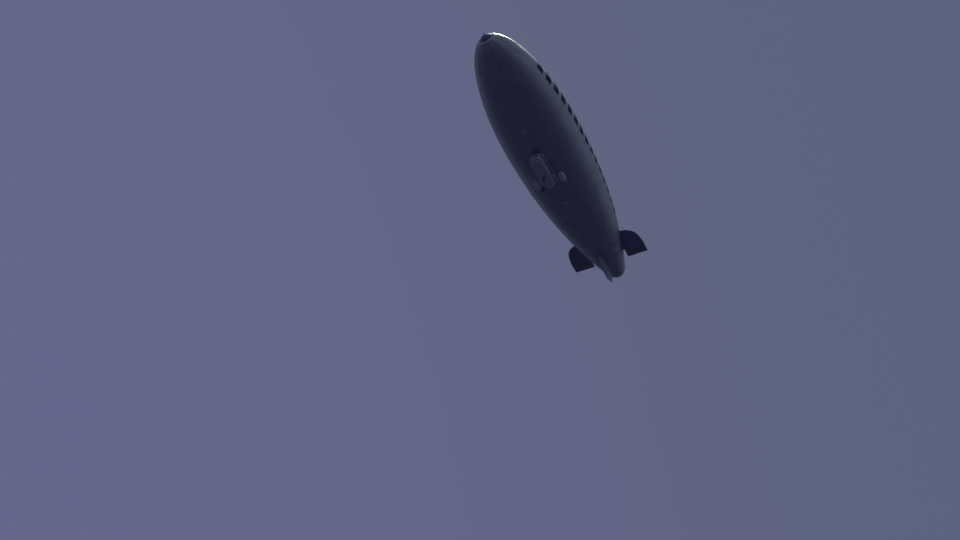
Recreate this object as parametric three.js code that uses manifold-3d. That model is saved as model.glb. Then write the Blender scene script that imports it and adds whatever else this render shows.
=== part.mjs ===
// A non-rigid airship, built as a half-size model of the real one.
// Every length below is the full-size one in millimetres, and the whole group is scaled by MODEL_SCALE.
// +X points to the nose, +Y to port, +Z up. The origin is the hull's centre of buoyancy, on its axis.
// A station is a distance aft of the nose tip, which is how an airship's drawing gives places along the hull.

import * as THREE from 'three';
import { mergeVertices } from 'three/addons/utils/BufferGeometryUtils.js';
import Module from 'manifold-3d';

const wasm = await Module();
wasm.setup();

// Driving dimensions
const MODEL_SCALE = 0.5;
const BUOYANCY_STATION = 26300;
const GAP = 0.6; // a seated joint, 0.3 mm on the model
const RUNNING_GAP = 14; // clearance around what moves, 7 mm on the model

const HULL = {
  length: 58000,
  radius: 7000,
  widestStation: 22620,
  nosePower: 2.07,
  tailPower: 2.13,
  tailAim: 61770, // where the tail's curve would reach the axis
  tailCap: 1800, // length of the rounded tail end
  wall: 20,
  rings: 20,
  segments: 32,
};

const FIN = {
  hingeStation: 51900,
  trailingStation: 53900,
  rootSpan: 2600, // inside the hull, where the cut by the hull takes it off
  tipSpan: 7540,
  hingeRootHalf: 200, // half thickness on the hinge line at the root span and at the tip
  hingeTipHalf: 84,
  edgeHalf: 14, // half thickness of the trailing edge
  hingeSpans: [3950, 5400, 6850],
  bracketReach: 300, // how far a hinge bracket goes into the fin
};

const CAR = {
  wall: 40,
  floorTop: -9250,
  floorThick: 40,
  ceiling: -7110,
  ceilingThick: 40,
  sillHeight: -8280,
  windowTop: -7430,
};

const ENGINE = {
  y: 2350,
  z: -8050,
  front: 25050,
  back: 25950,
  halfWidth: 375,
  halfHeight: 225,
  noseEnd: 26320,
  noseRadius: 120,
};
const PROPELLER = {
  station: 26640,
  shaftRadius: 45,
  shaftGap: 1.9,
  shaftEnd: 25820,
  boreEnd: 25800,
  hubRadius: 130,
  hubFront: 90,
};
const WHEEL = { station: 23300, trail: 170, radius: 330, halfWidth: 100, axleHeight: -10215 };

const COLOURS = {
  silver: { color: 0x9a9ca6, roughness: 0.38, metalness: 0.55 },
  navy: { color: 0x1d2348, roughness: 0.45, metalness: 0.2 },
  white: { color: 0xc9cbd2, roughness: 0.4, metalness: 0.1 },
  steel: { color: 0x777b82, roughness: 0.35, metalness: 0.9 },
  black: { color: 0x17181b, roughness: 0.7, metalness: 0.0 },
  tyre: { color: 0x141416, roughness: 0.85, metalness: 0.0 },
  glass: { color: 0x5a6672, roughness: 0.08, metalness: 0.0, transparent: true, opacity: 0.4 },
  seat: { color: 0x2d3c66, roughness: 0.85, metalness: 0.0 },
  floor: { color: 0x4a4b50, roughness: 0.9, metalness: 0.0 },
  fabric: { color: 0x85889a, roughness: 0.6, metalness: 0.2 },
};

const xAt = (station) => BUOYANCY_STATION - station;
const rad = THREE.MathUtils.degToRad;

// Solids: closed geometries in, manifold-3d bodies for joining and cutting, geometries out

function solid(geometry) {
  const plain = geometry.index ? geometry.toNonIndexed() : geometry.clone();
  plain.deleteAttribute('normal');
  plain.deleteAttribute('uv');
  const merged = mergeVertices(plain, 1e-3);
  const triVerts = new Uint32Array(merged.index.array);
  const vertProperties = merged.attributes.position.array;
  const made = new wasm.Manifold(new wasm.Mesh({ numProp: 3, vertProperties, triVerts }));
  if (made.volume() > 0) return made;
  for (let i = 0; i < triVerts.length; i += 3) {
    [triVerts[i + 1], triVerts[i + 2]] = [triVerts[i + 2], triVerts[i + 1]];
  }
  return new wasm.Manifold(new wasm.Mesh({ numProp: 3, vertProperties, triVerts }));
}

function geometryOf(body) {
  const mesh = body.getMesh();
  const positions = new Float32Array(mesh.numVert * 3);
  for (let i = 0; i < mesh.numVert; i += 1) {
    positions.set(mesh.vertProperties.subarray(i * mesh.numProp, i * mesh.numProp + 3), i * 3);
  }
  const geometry = new THREE.BufferGeometry();
  geometry.setAttribute('position', new THREE.BufferAttribute(positions, 3));
  geometry.setIndex(new THREE.BufferAttribute(new Uint32Array(mesh.triVerts), 1));
  geometry.computeVertexNormals();
  return geometry;
}

const join = (...bodies) => bodies.reduce((whole, body) => whole.add(body));

// A box between two corners, each corner as [x, y, z] in any order
function box([x0, y0, z0], [x1, y1, z1]) {
  const geometry = new THREE.BoxGeometry(Math.abs(x1 - x0), Math.abs(y1 - y0), Math.abs(z1 - z0));
  return solid(geometry.translate((x0 + x1) / 2, (y0 + y1) / 2, (z0 + z1) / 2));
}

// A cylinder or cone frustum between two points
function rod(from, to, radius, segments = 10, endRadius = radius) {
  const start = new THREE.Vector3(...from);
  const along = new THREE.Vector3(...to).sub(start);
  const geometry = new THREE.CylinderGeometry(endRadius, radius, along.length(), segments);
  geometry.translate(0, along.length() / 2, 0);
  geometry.applyQuaternion(
    new THREE.Quaternion().setFromUnitVectors(new THREE.Vector3(0, 1, 0), along.normalize()),
  );
  return solid(geometry.translate(start.x, start.y, start.z));
}

// A body turned about X from rows of [x, radius], its first and last radius 0
function turnedAboutX(profile, segments) {
  const geometry = new THREE.LatheGeometry(
    profile.map(([x, radius]) => new THREE.Vector2(radius, x)),
    segments,
  );
  return solid(geometry.rotateZ(-Math.PI / 2));
}

// A skin over a row of convex outlines that have the same number of points
function loft(outlines) {
  const count = outlines[0].length;
  const index = [];
  for (let row = 0; row < outlines.length - 1; row += 1) {
    for (let i = 0; i < count; i += 1) {
      const a = row * count + i;
      const b = row * count + ((i + 1) % count);
      index.push(a, b, b + count, a, b + count, a + count);
    }
  }
  const last = (outlines.length - 1) * count;
  for (let i = 1; i < count - 1; i += 1) {
    index.push(0, i + 1, i, last, last + i, last + i + 1);
  }
  const geometry = new THREE.BufferGeometry();
  geometry.setAttribute('position', new THREE.Float32BufferAttribute(outlines.flat(2), 3));
  geometry.setIndex(index);
  return solid(geometry);
}

// A convex rounded rectangle in the plane of one station: half width, top, bottom and corner radius
function roundedSection(x, centreY, halfWidth, top, bottom, corner, turns = [0, 30, 60, 90]) {
  const radius = Math.min(corner, halfWidth * 0.95, (top - bottom) * 0.47);
  const centres = [
    [halfWidth - radius, top - radius, 0],
    [radius - halfWidth, top - radius, 90],
    [radius - halfWidth, bottom + radius, 180],
    [halfWidth - radius, bottom + radius, 270],
  ];
  return centres.flatMap(([y, z, start]) =>
    turns.map((turn) => {
      const angle = rad(start + turn);
      return [x, centreY + y + radius * Math.cos(angle), z + radius * Math.sin(angle)];
    }),
  );
}

// The hull

function hullRadius(station) {
  const { length, radius, widestStation, nosePower, tailPower, tailAim, tailCap } = HULL;
  if (station < widestStation) {
    return radius * Math.sqrt(1 - (1 - station / widestStation) ** nosePower);
  }
  const tail = radius * (1 - ((station - widestStation) / (tailAim - widestStation)) ** tailPower);
  const fromEnd = Math.min(length - station, tailCap) / tailCap;
  return tail * Math.sqrt(1 - (1 - fromEnd) ** 2);
}

// The hull's outer form, grown outwards by an offset, as one closed body
function hullForm(offset) {
  const profile = [];
  for (let ring = 0; ring <= HULL.rings; ring += 1) {
    const station = (HULL.length * (1 - Math.cos((Math.PI * ring) / HULL.rings))) / 2;
    const atEnd = ring === 0 || ring === HULL.rings;
    const shift = ring === 0 ? -offset : ring === HULL.rings ? offset : 0;
    profile.push([xAt(station + shift), atEnd ? 0 : hullRadius(station) + offset]);
  }
  return turnedAboutX(profile.reverse(), HULL.segments);
}

// Turns a body built over the hull's top to an angle from the keel, positive towards port
const fromKeel = (body, degrees) => body.rotate([180 - degrees, 0, 0]);

// Valves let into the hull: place along it, angle from the keel and the radius of the opening
const VALVES = [
  { name: 'air_valve_forward', station: 15500, angle: 0, radius: 380 },
  { name: 'air_valve_aft', station: 32000, angle: 0, radius: 380 },
  { name: 'helium_valve', station: 30000, angle: -55, radius: 300 },
];

function valveRod({ station, angle, radius }, inner, outer) {
  const across = hullRadius(station);
  const upright = rod([xAt(station), 0, across - inner], [xAt(station), 0, across + outer], radius, 16);
  return fromKeel(upright, angle);
}

const hullOutside = hullForm(0);
const hullSeat = hullForm(GAP);

function envelope() {
  return VALVES.reduce(
    (hull, valve) => hull.subtract(valveRod(valve, 300, 300)),
    hullOutside.subtract(hullForm(-HULL.wall)),
  );
}

// A valve: a plug in the hull's opening under a flange that lies on the fabric
function valveBody(valve) {
  const cover = hullForm(60);
  const flange = valveRod({ ...valve, radius: valve.radius + 90 }, 300, 300).intersect(cover);
  const plug = valveRod({ ...valve, radius: valve.radius - 2 }, 60, 300).intersect(cover);
  const dome = valveRod({ ...valve, radius: valve.radius * 0.62 }, 60, 110);
  return join(flange.subtract(hullSeat), plug, dome);
}

// The nose: a mooring cone over the tip, battens fanned out from it, and the spindle that goes into a mast

const NOSE = { coneStation: 260, battenEnd: 4300, battens: 12, battenHalf: 55, spindleReach: 670 };

function noseCone() {
  const profile = [
    [xAt(NOSE.coneStation), 0],
    [xAt(NOSE.coneStation), 1000],
    [xAt(-60), 560],
    [xAt(-200), 300],
    [xAt(-230), 0],
  ];
  const bore = rod([xAt(600), 0, 0], [xAt(-500), 0, 0], 90 + GAP, 16);
  return turnedAboutX(profile, HULL.segments).subtract(hullSeat).subtract(bore);
}

function noseBattens() {
  const band = hullForm(58).subtract(hullSeat);
  const conePlane = xAt(NOSE.coneStation + GAP);
  const ring = rod([conePlane, 0, 0], [xAt(620), 0, 0], 3000, HULL.segments);
  const reach = HULL.radius;
  const fan = Array.from({ length: NOSE.battens }, (_, i) =>
    box([conePlane, -NOSE.battenHalf, 0], [xAt(NOSE.battenEnd), NOSE.battenHalf, reach]).rotate([
      (360 / NOSE.battens) * (i + 0.5),
      0,
      0,
    ]),
  );
  return join(ring, ...fan).intersect(band);
}

function mooringSpindle() {
  const profile = [
    [xAt(-GAP), 0],
    [xAt(-GAP), 88],
    [xAt(-240), 88],
    [xAt(-240), 150],
    [xAt(-290), 150],
    [xAt(-290), 70],
    [xAt(-520), 70],
    [xAt(-560), 110],
    [xAt(-640), 110],
    [xAt(-NOSE.spindleReach), 80],
    [xAt(-NOSE.spindleReach), 0],
  ];
  return turnedAboutX(profile, 16);
}

// The fins stand at right angles to the hull. Each is drawn as the top one, with its span along Z.
// Columns: span from the hull's axis, station of the leading edge, half thickness
const FIN_TABLE = [
  [2600, 46700, 210],
  [4700, 47150, 180],
  [5700, 47500, 160],
  [6400, 48000, 143],
  [6900, 48700, 128],
  [7250, 49700, 112],
  [7450, 50900, 96],
  [FIN.tipSpan, 51500, 84],
];
// The lower fin's tip is raked, to clear the ground as the airship lifts its nose
const LOWER_FIN_TABLE = [
  [2600, 46700, 210],
  [4700, 47150, 180],
  [5700, 47500, 160],
  [6400, 48100, 143],
  [6780, 48800, 128],
  [7020, 49700, 112],
  [7150, 50700, 96],
];

// Half thickness on the hinge line, falling evenly from root to tip
const hingeHalf = (span) =>
  THREE.MathUtils.mapLinear(span, FIN.rootSpan, FIN.tipSpan, FIN.hingeRootHalf, FIN.hingeTipHalf);

// A fin's section is thickest at 0.3 of its chord, and at its back it is as thick as the surface behind it
function finBlade(table) {
  return loft(
    table.map(([span, leading, half]) => {
      const back = hingeHalf(span);
      const chord = FIN.hingeStation - back - RUNNING_GAP - leading;
      const upperSide = [
        [0.05, half * 0.5],
        [0.3, half],
        [1, back],
      ];
      const lowerSide = upperSide.map(([along, across]) => [along, -across]).reverse();
      return [[0, 0], ...upperSide, ...lowerSide].map(([along, across]) => [
        xAt(leading + chord * along),
        across,
        span,
      ]);
    }),
  );
}

// The hinge brackets carry pins on the hinge line, which the moving surface turns on
const HINGE = { armHalf: 25, knuckle: 42, pin: 20, pinReach: 75, bore: 22.2, boreReach: 90 };
const hingeX = xAt(FIN.hingeStation);

function hingeBracket(span) {
  const arm = box(
    [xAt(FIN.hingeStation - FIN.bracketReach), -HINGE.armHalf, span - HINGE.armHalf],
    [hingeX, HINGE.armHalf, span + HINGE.armHalf],
  );
  const knuckle = rod([hingeX, 0, span - HINGE.armHalf], [hingeX, 0, span + HINGE.armHalf], HINGE.knuckle, 8);
  const pin = rod([hingeX, 0, span - HINGE.pinReach], [hingeX, 0, span + HINGE.pinReach], HINGE.pin, 8);
  return join(arm, knuckle, pin);
}

function fin({ table, hingeSpans }) {
  return join(finBlade(table), ...hingeSpans.map(hingeBracket)).subtract(hullSeat);
}

// A rudder or elevator: a round nose on the hinge line, tapering to a thin trailing edge.
// A raked tip runs from just behind the hinge line down to a shorter trailing edge.
function controlSurface({ rootSpan, tipSpan, rake, hingeSpans }) {
  const outline = (span, trailing) => {
    const half = hingeHalf(span);
    const nose = [90, 120, 150, 180, 210, 240, 270].map((turn) => [
      hingeX - half * Math.cos(rad(turn)),
      half * Math.sin(rad(turn)),
      span,
    ]);
    const edge = [
      [xAt(trailing), -FIN.edgeHalf, span],
      [xAt(trailing), FIN.edgeHalf, span],
    ];
    return [...nose, ...edge];
  };
  const rows = [outline(rootSpan, FIN.trailingStation), outline(tipSpan - rake, FIN.trailingStation)];
  if (rake > 0) rows.push(outline(tipSpan, FIN.hingeStation + 250));
  const notchHalf = HINGE.armHalf + RUNNING_GAP;
  const notchReach = 2 * FIN.hingeRootHalf;
  const notchBack = hingeX - HINGE.knuckle - RUNNING_GAP;
  const cuts = hingeSpans.flatMap((span) => {
    return [
      box([hingeX + notchReach, -notchReach, span - notchHalf], [notchBack, notchReach, span + notchHalf]),
      rod([hingeX, 0, span - HINGE.boreReach], [hingeX, 0, span + HINGE.boreReach], HINGE.bore, 10),
    ];
  });
  return cuts.reduce((surface, cut) => surface.subtract(cut), loft(rows));
}

// Each fin and its moving surface, turned about the hull's axis from the top
const FULL_FIN = { table: FIN_TABLE, rootSpan: 3520, tipSpan: 7520, rake: 0, hingeSpans: FIN.hingeSpans };
const SHORT_FIN = {
  table: LOWER_FIN_TABLE,
  rootSpan: 3520,
  tipSpan: 6950,
  rake: 850,
  hingeSpans: FIN.hingeSpans.slice(0, 2),
};
const TAIL = [
  { finName: 'fin_top', surfaceName: 'rudder_top', turn: 0, ...FULL_FIN },
  { finName: 'fin_left', surfaceName: 'elevator_left', turn: -90, ...FULL_FIN },
  { finName: 'fin_bottom', surfaceName: 'rudder_bottom', turn: 180, ...SHORT_FIN },
  { finName: 'fin_right', surfaceName: 'elevator_right', turn: 90, ...FULL_FIN },
];

// The car: a hollow cabin slung under the hull, its top edge following the hull's belly

// Columns: station, half width, top, bottom, corner radius
const CAR_TABLE = [
  [19400, 360, -8060, -8640, 240],
  [19480, 560, -7880, -8900, 330],
  [19740, 800, -7560, -9160, 400],
  [20120, 960, -7150, -9350, 400],
  [20640, 1040, -6500, -9450, 360],
  [21300, 1060, -6500, -9450, 320],
  [24600, 1060, -6500, -9450, 320],
  [25500, 930, -6500, -9260, 320],
  [26350, 640, -6500, -8800, 300],
];

function carForm(inset) {
  const last = CAR_TABLE.length - 1;
  return loft(
    CAR_TABLE.map(([station, halfWidth, top, bottom, corner], row) => {
      const endInset = row === 0 ? inset : row === last ? -inset : 0;
      const x = xAt(station + endInset);
      return roundedSection(x, 0, halfWidth - inset, top - inset, bottom + inset, corner - inset * 0.5);
    }),
  );
}

// Window openings have cut corners
const CORNER_TURNS = [0, 90];

// Side windows: first and last station of the opening
const SIDE_WINDOWS = [
  { place: 'cockpit', from: 19960, to: 20760 },
  { place: 'forward', from: 20920, to: 22120 },
  { place: 'middle', from: 22280, to: 23480 },
];
const REAR_SIDE_WINDOW = { place: 'rear', from: 23700, to: 24500 };
const DOOR = { from: 23640, to: 24560, top: -7300, bottom: -9130, clearance: 16 };
const DOOR_WINDOW = { from: 23760, to: 24440 };
const WINDSHIELD = { inner: 45, outer: 620, top: -7230, bottom: -8060 };
const REAR_WINDOW = { half: 380, top: -7500, bottom: -8200 };

// The prism that a side window's opening takes out of one wall: side is 1 for port and -1 for starboard
function sidePrism({ from, to }, side, grow = 0) {
  const outline = roundedSection(
    0,
    (xAt(from) + xAt(to)) / 2,
    Math.abs(to - from) / 2 + grow,
    CAR.windowTop + grow,
    CAR.sillHeight - grow,
    110,
    CORNER_TURNS,
  );
  return loft([500, 1300].map((depth) => outline.map(([, x, z]) => [x, side * depth, z])));
}

function windshieldPrism(side, grow = 0) {
  const { inner, outer, top, bottom } = WINDSHIELD;
  const centre = (side * (inner + outer)) / 2;
  const half = (outer - inner) / 2 + grow;
  const section = (x) => roundedSection(x, centre, half, top + grow, bottom - grow, 90, CORNER_TURNS);
  return loft([section(xAt(19000)), section(xAt(20300))]);
}

function rearPrism(grow = 0) {
  const { half, top, bottom } = REAR_WINDOW;
  const section = (x) => roundedSection(x, 0, half + grow, top + grow, bottom - grow, 110, CORNER_TURNS);
  return loft([section(xAt(26000)), section(xAt(26600))]);
}

function doorPrism(grow) {
  const { from, to, top, bottom } = DOOR;
  return box([xAt(from - grow), -500, top + grow], [xAt(to + grow), -1500, bottom - grow]);
}

const carOutside = carForm(0);
const carInside = carForm(CAR.wall);
const carSeat = carForm(-GAP);

const WINDOW_CUTS = [
  ...SIDE_WINDOWS.flatMap((window) => [
    { name: `window_left_${window.place}`, cut: (grow) => sidePrism(window, 1, grow) },
    { name: `window_right_${window.place}`, cut: (grow) => sidePrism(window, -1, grow) },
  ]),
  { name: 'window_left_rear', cut: (grow) => sidePrism(REAR_SIDE_WINDOW, 1, grow) },
  { name: 'windshield_left', cut: (grow) => windshieldPrism(1, grow) },
  { name: 'windshield_right', cut: (grow) => windshieldPrism(-1, grow) },
  { name: 'window_back', cut: rearPrism },
];

function carShell() {
  const shell = carOutside.subtract(carInside).subtract(hullSeat);
  const openings = [...WINDOW_CUTS.map(({ cut }) => cut(0)), doorPrism(DOOR.clearance)];
  return openings.reduce((body, opening) => body.subtract(opening), shell);
}

// The shell's panels meet at two stations and at one height: nose, tail, two sides and the belly pan
const PANEL_JOINTS = { nose: 20840, tail: 24620, belly: -9200 };

// Columns: panel, first and last station, and the ranges of Y and Z
const BETWEEN = [PANEL_JOINTS.nose + GAP, PANEL_JOINTS.tail - GAP];
const ACROSS = [-1500, 1500];
const FULL_HEIGHT = [-10000, -6000];
const ABOVE_BELLY = [PANEL_JOINTS.belly + GAP, -6000];
const CAR_PANELS = [
  ['car_nose', [18000, PANEL_JOINTS.nose], ACROSS, FULL_HEIGHT],
  ['car_tail', [PANEL_JOINTS.tail, 28000], ACROSS, FULL_HEIGHT],
  ['car_belly', BETWEEN, ACROSS, [-10000, PANEL_JOINTS.belly]],
  ['car_side_left', BETWEEN, [0, 1500], ABOVE_BELLY],
  ['car_side_right', BETWEEN, [-1500, 0], ABOVE_BELLY],
];

// Glass lies in the middle of the wall's thickness
const glassSkin = carForm(10).subtract(carForm(26)).subtract(hullSeat);

function cabinDoor() {
  const wall = carOutside.subtract(carInside).intersect(doorPrism(0));
  return wall.subtract(sidePrism(DOOR_WINDOW, -1));
}

// The door swings on two barrels outside its front edge; each barrel's pin is held by a lug on the wall
const DOOR_HINGE = {
  station: DOOR.from - 45,
  y: -1100,
  wallY: -1025, // inside the wall, where straps and lugs end
  heights: [-7750, -8800],
  pin: 16,
  bore: 17.4,
  barrel: 30,
  barrelHalf: 60,
  strapHalf: 50,
  strapThick: 22,
  strapEnd: DOOR.from + 100,
  lugHalf: 120,
};

const doorHingePoint = (z) => [xAt(DOOR_HINGE.station), DOOR_HINGE.y, z];

function doorKnuckle(height) {
  const { station, y, wallY, bore, barrel, barrelHalf, strapHalf, strapThick, strapEnd } = DOOR_HINGE;
  const tube = rod(doorHingePoint(height - barrelHalf), doorHingePoint(height + barrelHalf), barrel);
  const strap = box(
    [xAt(station), y - strapThick / 2, height - strapHalf],
    [xAt(strapEnd), y + strapThick / 2, height + strapHalf],
  );
  const foot = box([xAt(strapEnd - 70), wallY, height - strapHalf], [xAt(strapEnd), y, height + strapHalf]);
  const holeHalf = 2 * barrelHalf;
  const hole = rod(doorHingePoint(height - holeHalf), doorHingePoint(height + holeHalf), bore, 16);
  return join(tube, strap, foot).subtract(hole);
}

function doorLug(height) {
  const { station, y, wallY, pin, barrel, barrelHalf, lugHalf } = DOOR_HINGE;
  const ears = [-1, 1].map((side) => {
    const near = height + side * (barrelHalf + RUNNING_GAP);
    const far = height + side * lugHalf;
    return join(
      rod(doorHingePoint(near), doorHingePoint(far), barrel),
      box([xAt(station - 26), wallY, near], [xAt(station + 12), y, far]),
    );
  });
  return join(...ears, rod(doorHingePoint(height - lugHalf + 8), doorHingePoint(height + lugHalf - 8), pin));
}

// What is inside the cabin

function insideCar(body) {
  return body.intersect(carForm(CAR.wall + GAP));
}

function cabinFloor() {
  return insideCar(
    box([xAt(19000), -1200, CAR.floorTop], [xAt(27000), 1200, CAR.floorTop - CAR.floorThick]),
  );
}

function cabinCeiling() {
  return insideCar(
    box([xAt(20320), -1200, CAR.ceiling], [xAt(27000), 1200, CAR.ceiling - CAR.ceilingThick]),
  );
}

const onFloor = CAR.floorTop + GAP;

// Seats: name, station of the seat's back, and its two sides
const SEATS = [
  { name: 'pilot_seat', back: 21560, sides: [180, 680] },
  { name: 'copilot_seat', back: 21560, sides: [-680, -180] },
  { name: 'passenger_seat_left', back: 23120, sides: [200, 700] },
  { name: 'passenger_seat_right', back: 23120, sides: [-700, -200] },
  { name: 'rear_bench', back: 25300, sides: [-640, 640] },
];
const SEAT = { depth: 480, seatTop: 430, backTop: 1080, thick: 110, backThick: 90, footInset: 110 };

function seat({ back, sides: [right, left] }) {
  const cushion = box(
    [xAt(back - SEAT.depth), right, onFloor + SEAT.seatTop - SEAT.thick],
    [xAt(back), left, onFloor + SEAT.seatTop],
  );
  const backrest = box(
    [xAt(back - 20), right, onFloor + SEAT.seatTop - SEAT.thick],
    [xAt(back - 20 + SEAT.backThick), left, onFloor + SEAT.backTop],
  );
  const foot = box(
    [xAt(back - 330), right + SEAT.footInset, onFloor],
    [xAt(back - 120), left - SEAT.footInset, onFloor + SEAT.seatTop - SEAT.thick + 10],
  );
  return join(cushion, backrest, foot);
}

// Columns of the side outline: station, height above the floor
const PANEL_SIDE = [
  [20240, 0],
  [20420, 0],
  [20420, 620],
  [20560, 700],
  [20420, 1080],
  [20260, 1080],
];

function instrumentPanel() {
  const outline = PANEL_SIDE.map(([station, up]) => new THREE.Vector2(xAt(station), onFloor + up));
  const shape = new THREE.Shape(outline);
  const geometry = new THREE.ExtrudeGeometry(shape, { depth: 1300, bevelEnabled: false });
  return insideCar(solid(geometry.rotateX(Math.PI / 2).translate(0, 650, 0)));
}

// The pilot's big hand wheel, on its own stand beside the seat, works the elevators
function elevatorWheel() {
  const centre = [xAt(21180), 60, onFloor + 640];
  const rim = solid(new THREE.TorusGeometry(230, 20, 6, 16).rotateX(Math.PI / 2).translate(...centre));
  const spokes = [0, 60, 120].map((turn) => {
    const reach = [230 * Math.cos(rad(turn)), 230 * Math.sin(rad(turn))];
    return rod(
      [centre[0] - reach[0], centre[1], centre[2] - reach[1]],
      [centre[0] + reach[0], centre[1], centre[2] + reach[1]],
      11,
      6,
    );
  });
  const hub = rod([centre[0], -60, centre[2]], [centre[0], 90, centre[2]], 45);
  const stand = box([centre[0] - 60, -70, onFloor], [centre[0] + 60, -10, centre[2] + 60]);
  return join(rim, ...spokes, hub, stand);
}

// Outside the car: the ground crew's hand rail, a tube held off the walls all round the sill

const RAIL = { height: -9330, front: 19160, radius: 19, standRadius: 14, standFoot: 600 };

// Columns: station, distance from the middle line
const RAIL_TABLE = [
  [19240, 400],
  [19480, 740],
  [20120, 1110],
  [21300, 1210],
  [22900, 1210],
  [24600, 1210],
  [25500, 1080],
];

function handRail() {
  const half = (side) => RAIL_TABLE.map(([station, y]) => [xAt(station), side * y, RAIL.height]);
  const bow = [xAt(RAIL.front), 0, RAIL.height];
  const points = [...half(-1).reverse(), bow, ...half(1)];
  const corners = points.map((point) => new THREE.Vector3(...point));
  const route = new THREE.CatmullRomCurve3(corners, false, 'centripetal');
  const ring = Array.from({ length: 6 }, (_, i) =>
    new THREE.Vector2(RAIL.radius, 0).rotateAround(new THREE.Vector2(), (Math.PI * i) / 3),
  );
  const tube = solid(new THREE.ExtrudeGeometry(new THREE.Shape(ring), { steps: 40, extrudePath: route }));
  const stands = RAIL_TABLE.slice(2).flatMap(([station, y]) =>
    [-1, 1].map((side) => {
      const foot = [xAt(station), side * RAIL.standFoot, RAIL.height];
      return rod([xAt(station), side * y, RAIL.height], foot, RAIL.standRadius, 6);
    }),
  );
  const front = rod(bow, [xAt(20400), 0, RAIL.height], RAIL.standRadius, 6);
  return join(tube, ...stands, front).subtract(carSeat);
}

// Engines: each hangs off the car on an outrigger, in a hollow cowling, and pushes its propeller from behind

// Columns: station, half width, half height, corner radius
const COWL_TABLE = [
  [24560, 230, 190, 150],
  [24700, 360, 300, 220],
  [25050, 480, 370, 240],
  [25950, 475, 365, 240],
  [26300, 330, 280, 210],
  [26480, 220, 210, 160],
];

function cowlForm(side, inset) {
  const last = COWL_TABLE.length - 1;
  return loft(
    COWL_TABLE.map(([station, halfWidth, halfHeight, corner], row) => {
      const endInset = row === 0 ? inset : row === last ? -inset : 0;
      return roundedSection(
        xAt(station + endInset),
        side * ENGINE.y,
        halfWidth - inset,
        ENGINE.z + halfHeight - inset,
        ENGINE.z - halfHeight + inset,
        corner,
        [0, 45, 90],
      );
    }),
  );
}

const BEAM = {
  stations: [25180, 25780],
  halfChord: 55,
  halfThick: 32,
  z: -8080,
  rootY: 700, // inside the car's wall, which cuts it off
  tieY: 1600,
  tieHalf: 30,
  strutDrop: 950,
  strutRadius: 32,
};

function outriggerBeams(side, grow) {
  const reach = ENGINE.y - ENGINE.halfWidth - GAP + grow;
  const halfChord = BEAM.halfChord + grow;
  const halfThick = BEAM.halfThick + grow;
  const beams = BEAM.stations.map((station) =>
    box(
      [xAt(station - halfChord), side * BEAM.rootY, BEAM.z - halfThick],
      [xAt(station + halfChord), side * reach, BEAM.z + halfThick],
    ),
  );
  return join(...beams);
}

function outrigger(side) {
  const [front, back] = BEAM.stations.map(xAt);
  const tieFront = [front, side * BEAM.tieY - BEAM.tieHalf, BEAM.z - BEAM.tieHalf];
  const tieBack = [back, side * BEAM.tieY + BEAM.tieHalf, BEAM.z + BEAM.tieHalf];
  const struts = [front, back].map((x) =>
    rod([x, side * BEAM.tieY, BEAM.z], [x, side * BEAM.rootY, BEAM.z - BEAM.strutDrop], BEAM.strutRadius),
  );
  return join(outriggerBeams(side, 0), box(tieFront, tieBack), ...struts).subtract(carSeat);
}

function engineBlock(side) {
  const y = side * ENGINE.y;
  const block = box(
    [xAt(ENGINE.front), y - ENGINE.halfWidth, ENGINE.z - ENGINE.halfHeight],
    [xAt(ENGINE.back), y + ENGINE.halfWidth, ENGINE.z + ENGINE.halfHeight],
  );
  const along = (from, to, radius, segments) =>
    rod([xAt(from), y, ENGINE.z], [xAt(to), y, ENGINE.z], radius, segments);
  const nose = along(ENGINE.back, ENGINE.noseEnd, ENGINE.noseRadius, 20);
  const boreRadius = PROPELLER.shaftRadius + PROPELLER.shaftGap;
  const bore = along(PROPELLER.boreEnd, PROPELLER.station, boreRadius, 24);
  return join(block, nose).subtract(bore);
}

const COWL = {
  wall: 20,
  inletRadius: 78,
  inletOffset: 105,
  inletDepth: 120,
  outletRadius: 150,
  outletDepth: 180,
  cutReach: 100,
};

function nacelle(side) {
  const y = side * ENGINE.y;
  const nose = COWL_TABLE[0][0];
  const tail = COWL_TABLE[COWL_TABLE.length - 1][0];
  const along = (from, to, across, radius, segments) =>
    rod([xAt(from), y + across, ENGINE.z], [xAt(to), y + across, ENGINE.z], radius, segments);
  const inlets = [-COWL.inletOffset, COWL.inletOffset].map((across) =>
    along(nose - COWL.cutReach, nose + COWL.inletDepth, across, COWL.inletRadius, 16),
  );
  const outlet = along(tail - COWL.outletDepth, tail + COWL.cutReach, 0, COWL.outletRadius, 24);
  const shell = cowlForm(side, 0).subtract(cowlForm(side, COWL.wall));
  return [...inlets, outlet, outriggerBeams(side, GAP)].reduce((cowl, cut) => cowl.subtract(cut), shell);
}

// Columns: radius, chord, half thickness, pitch in degrees
const BLADE_TABLE = [
  [60, 105, 30, 62],
  [240, 120, 20, 48],
  [480, 165, 13, 33],
  [760, 150, 9, 23],
  [940, 110, 6, 19],
  [1000, 50, 4, 18],
];

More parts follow.
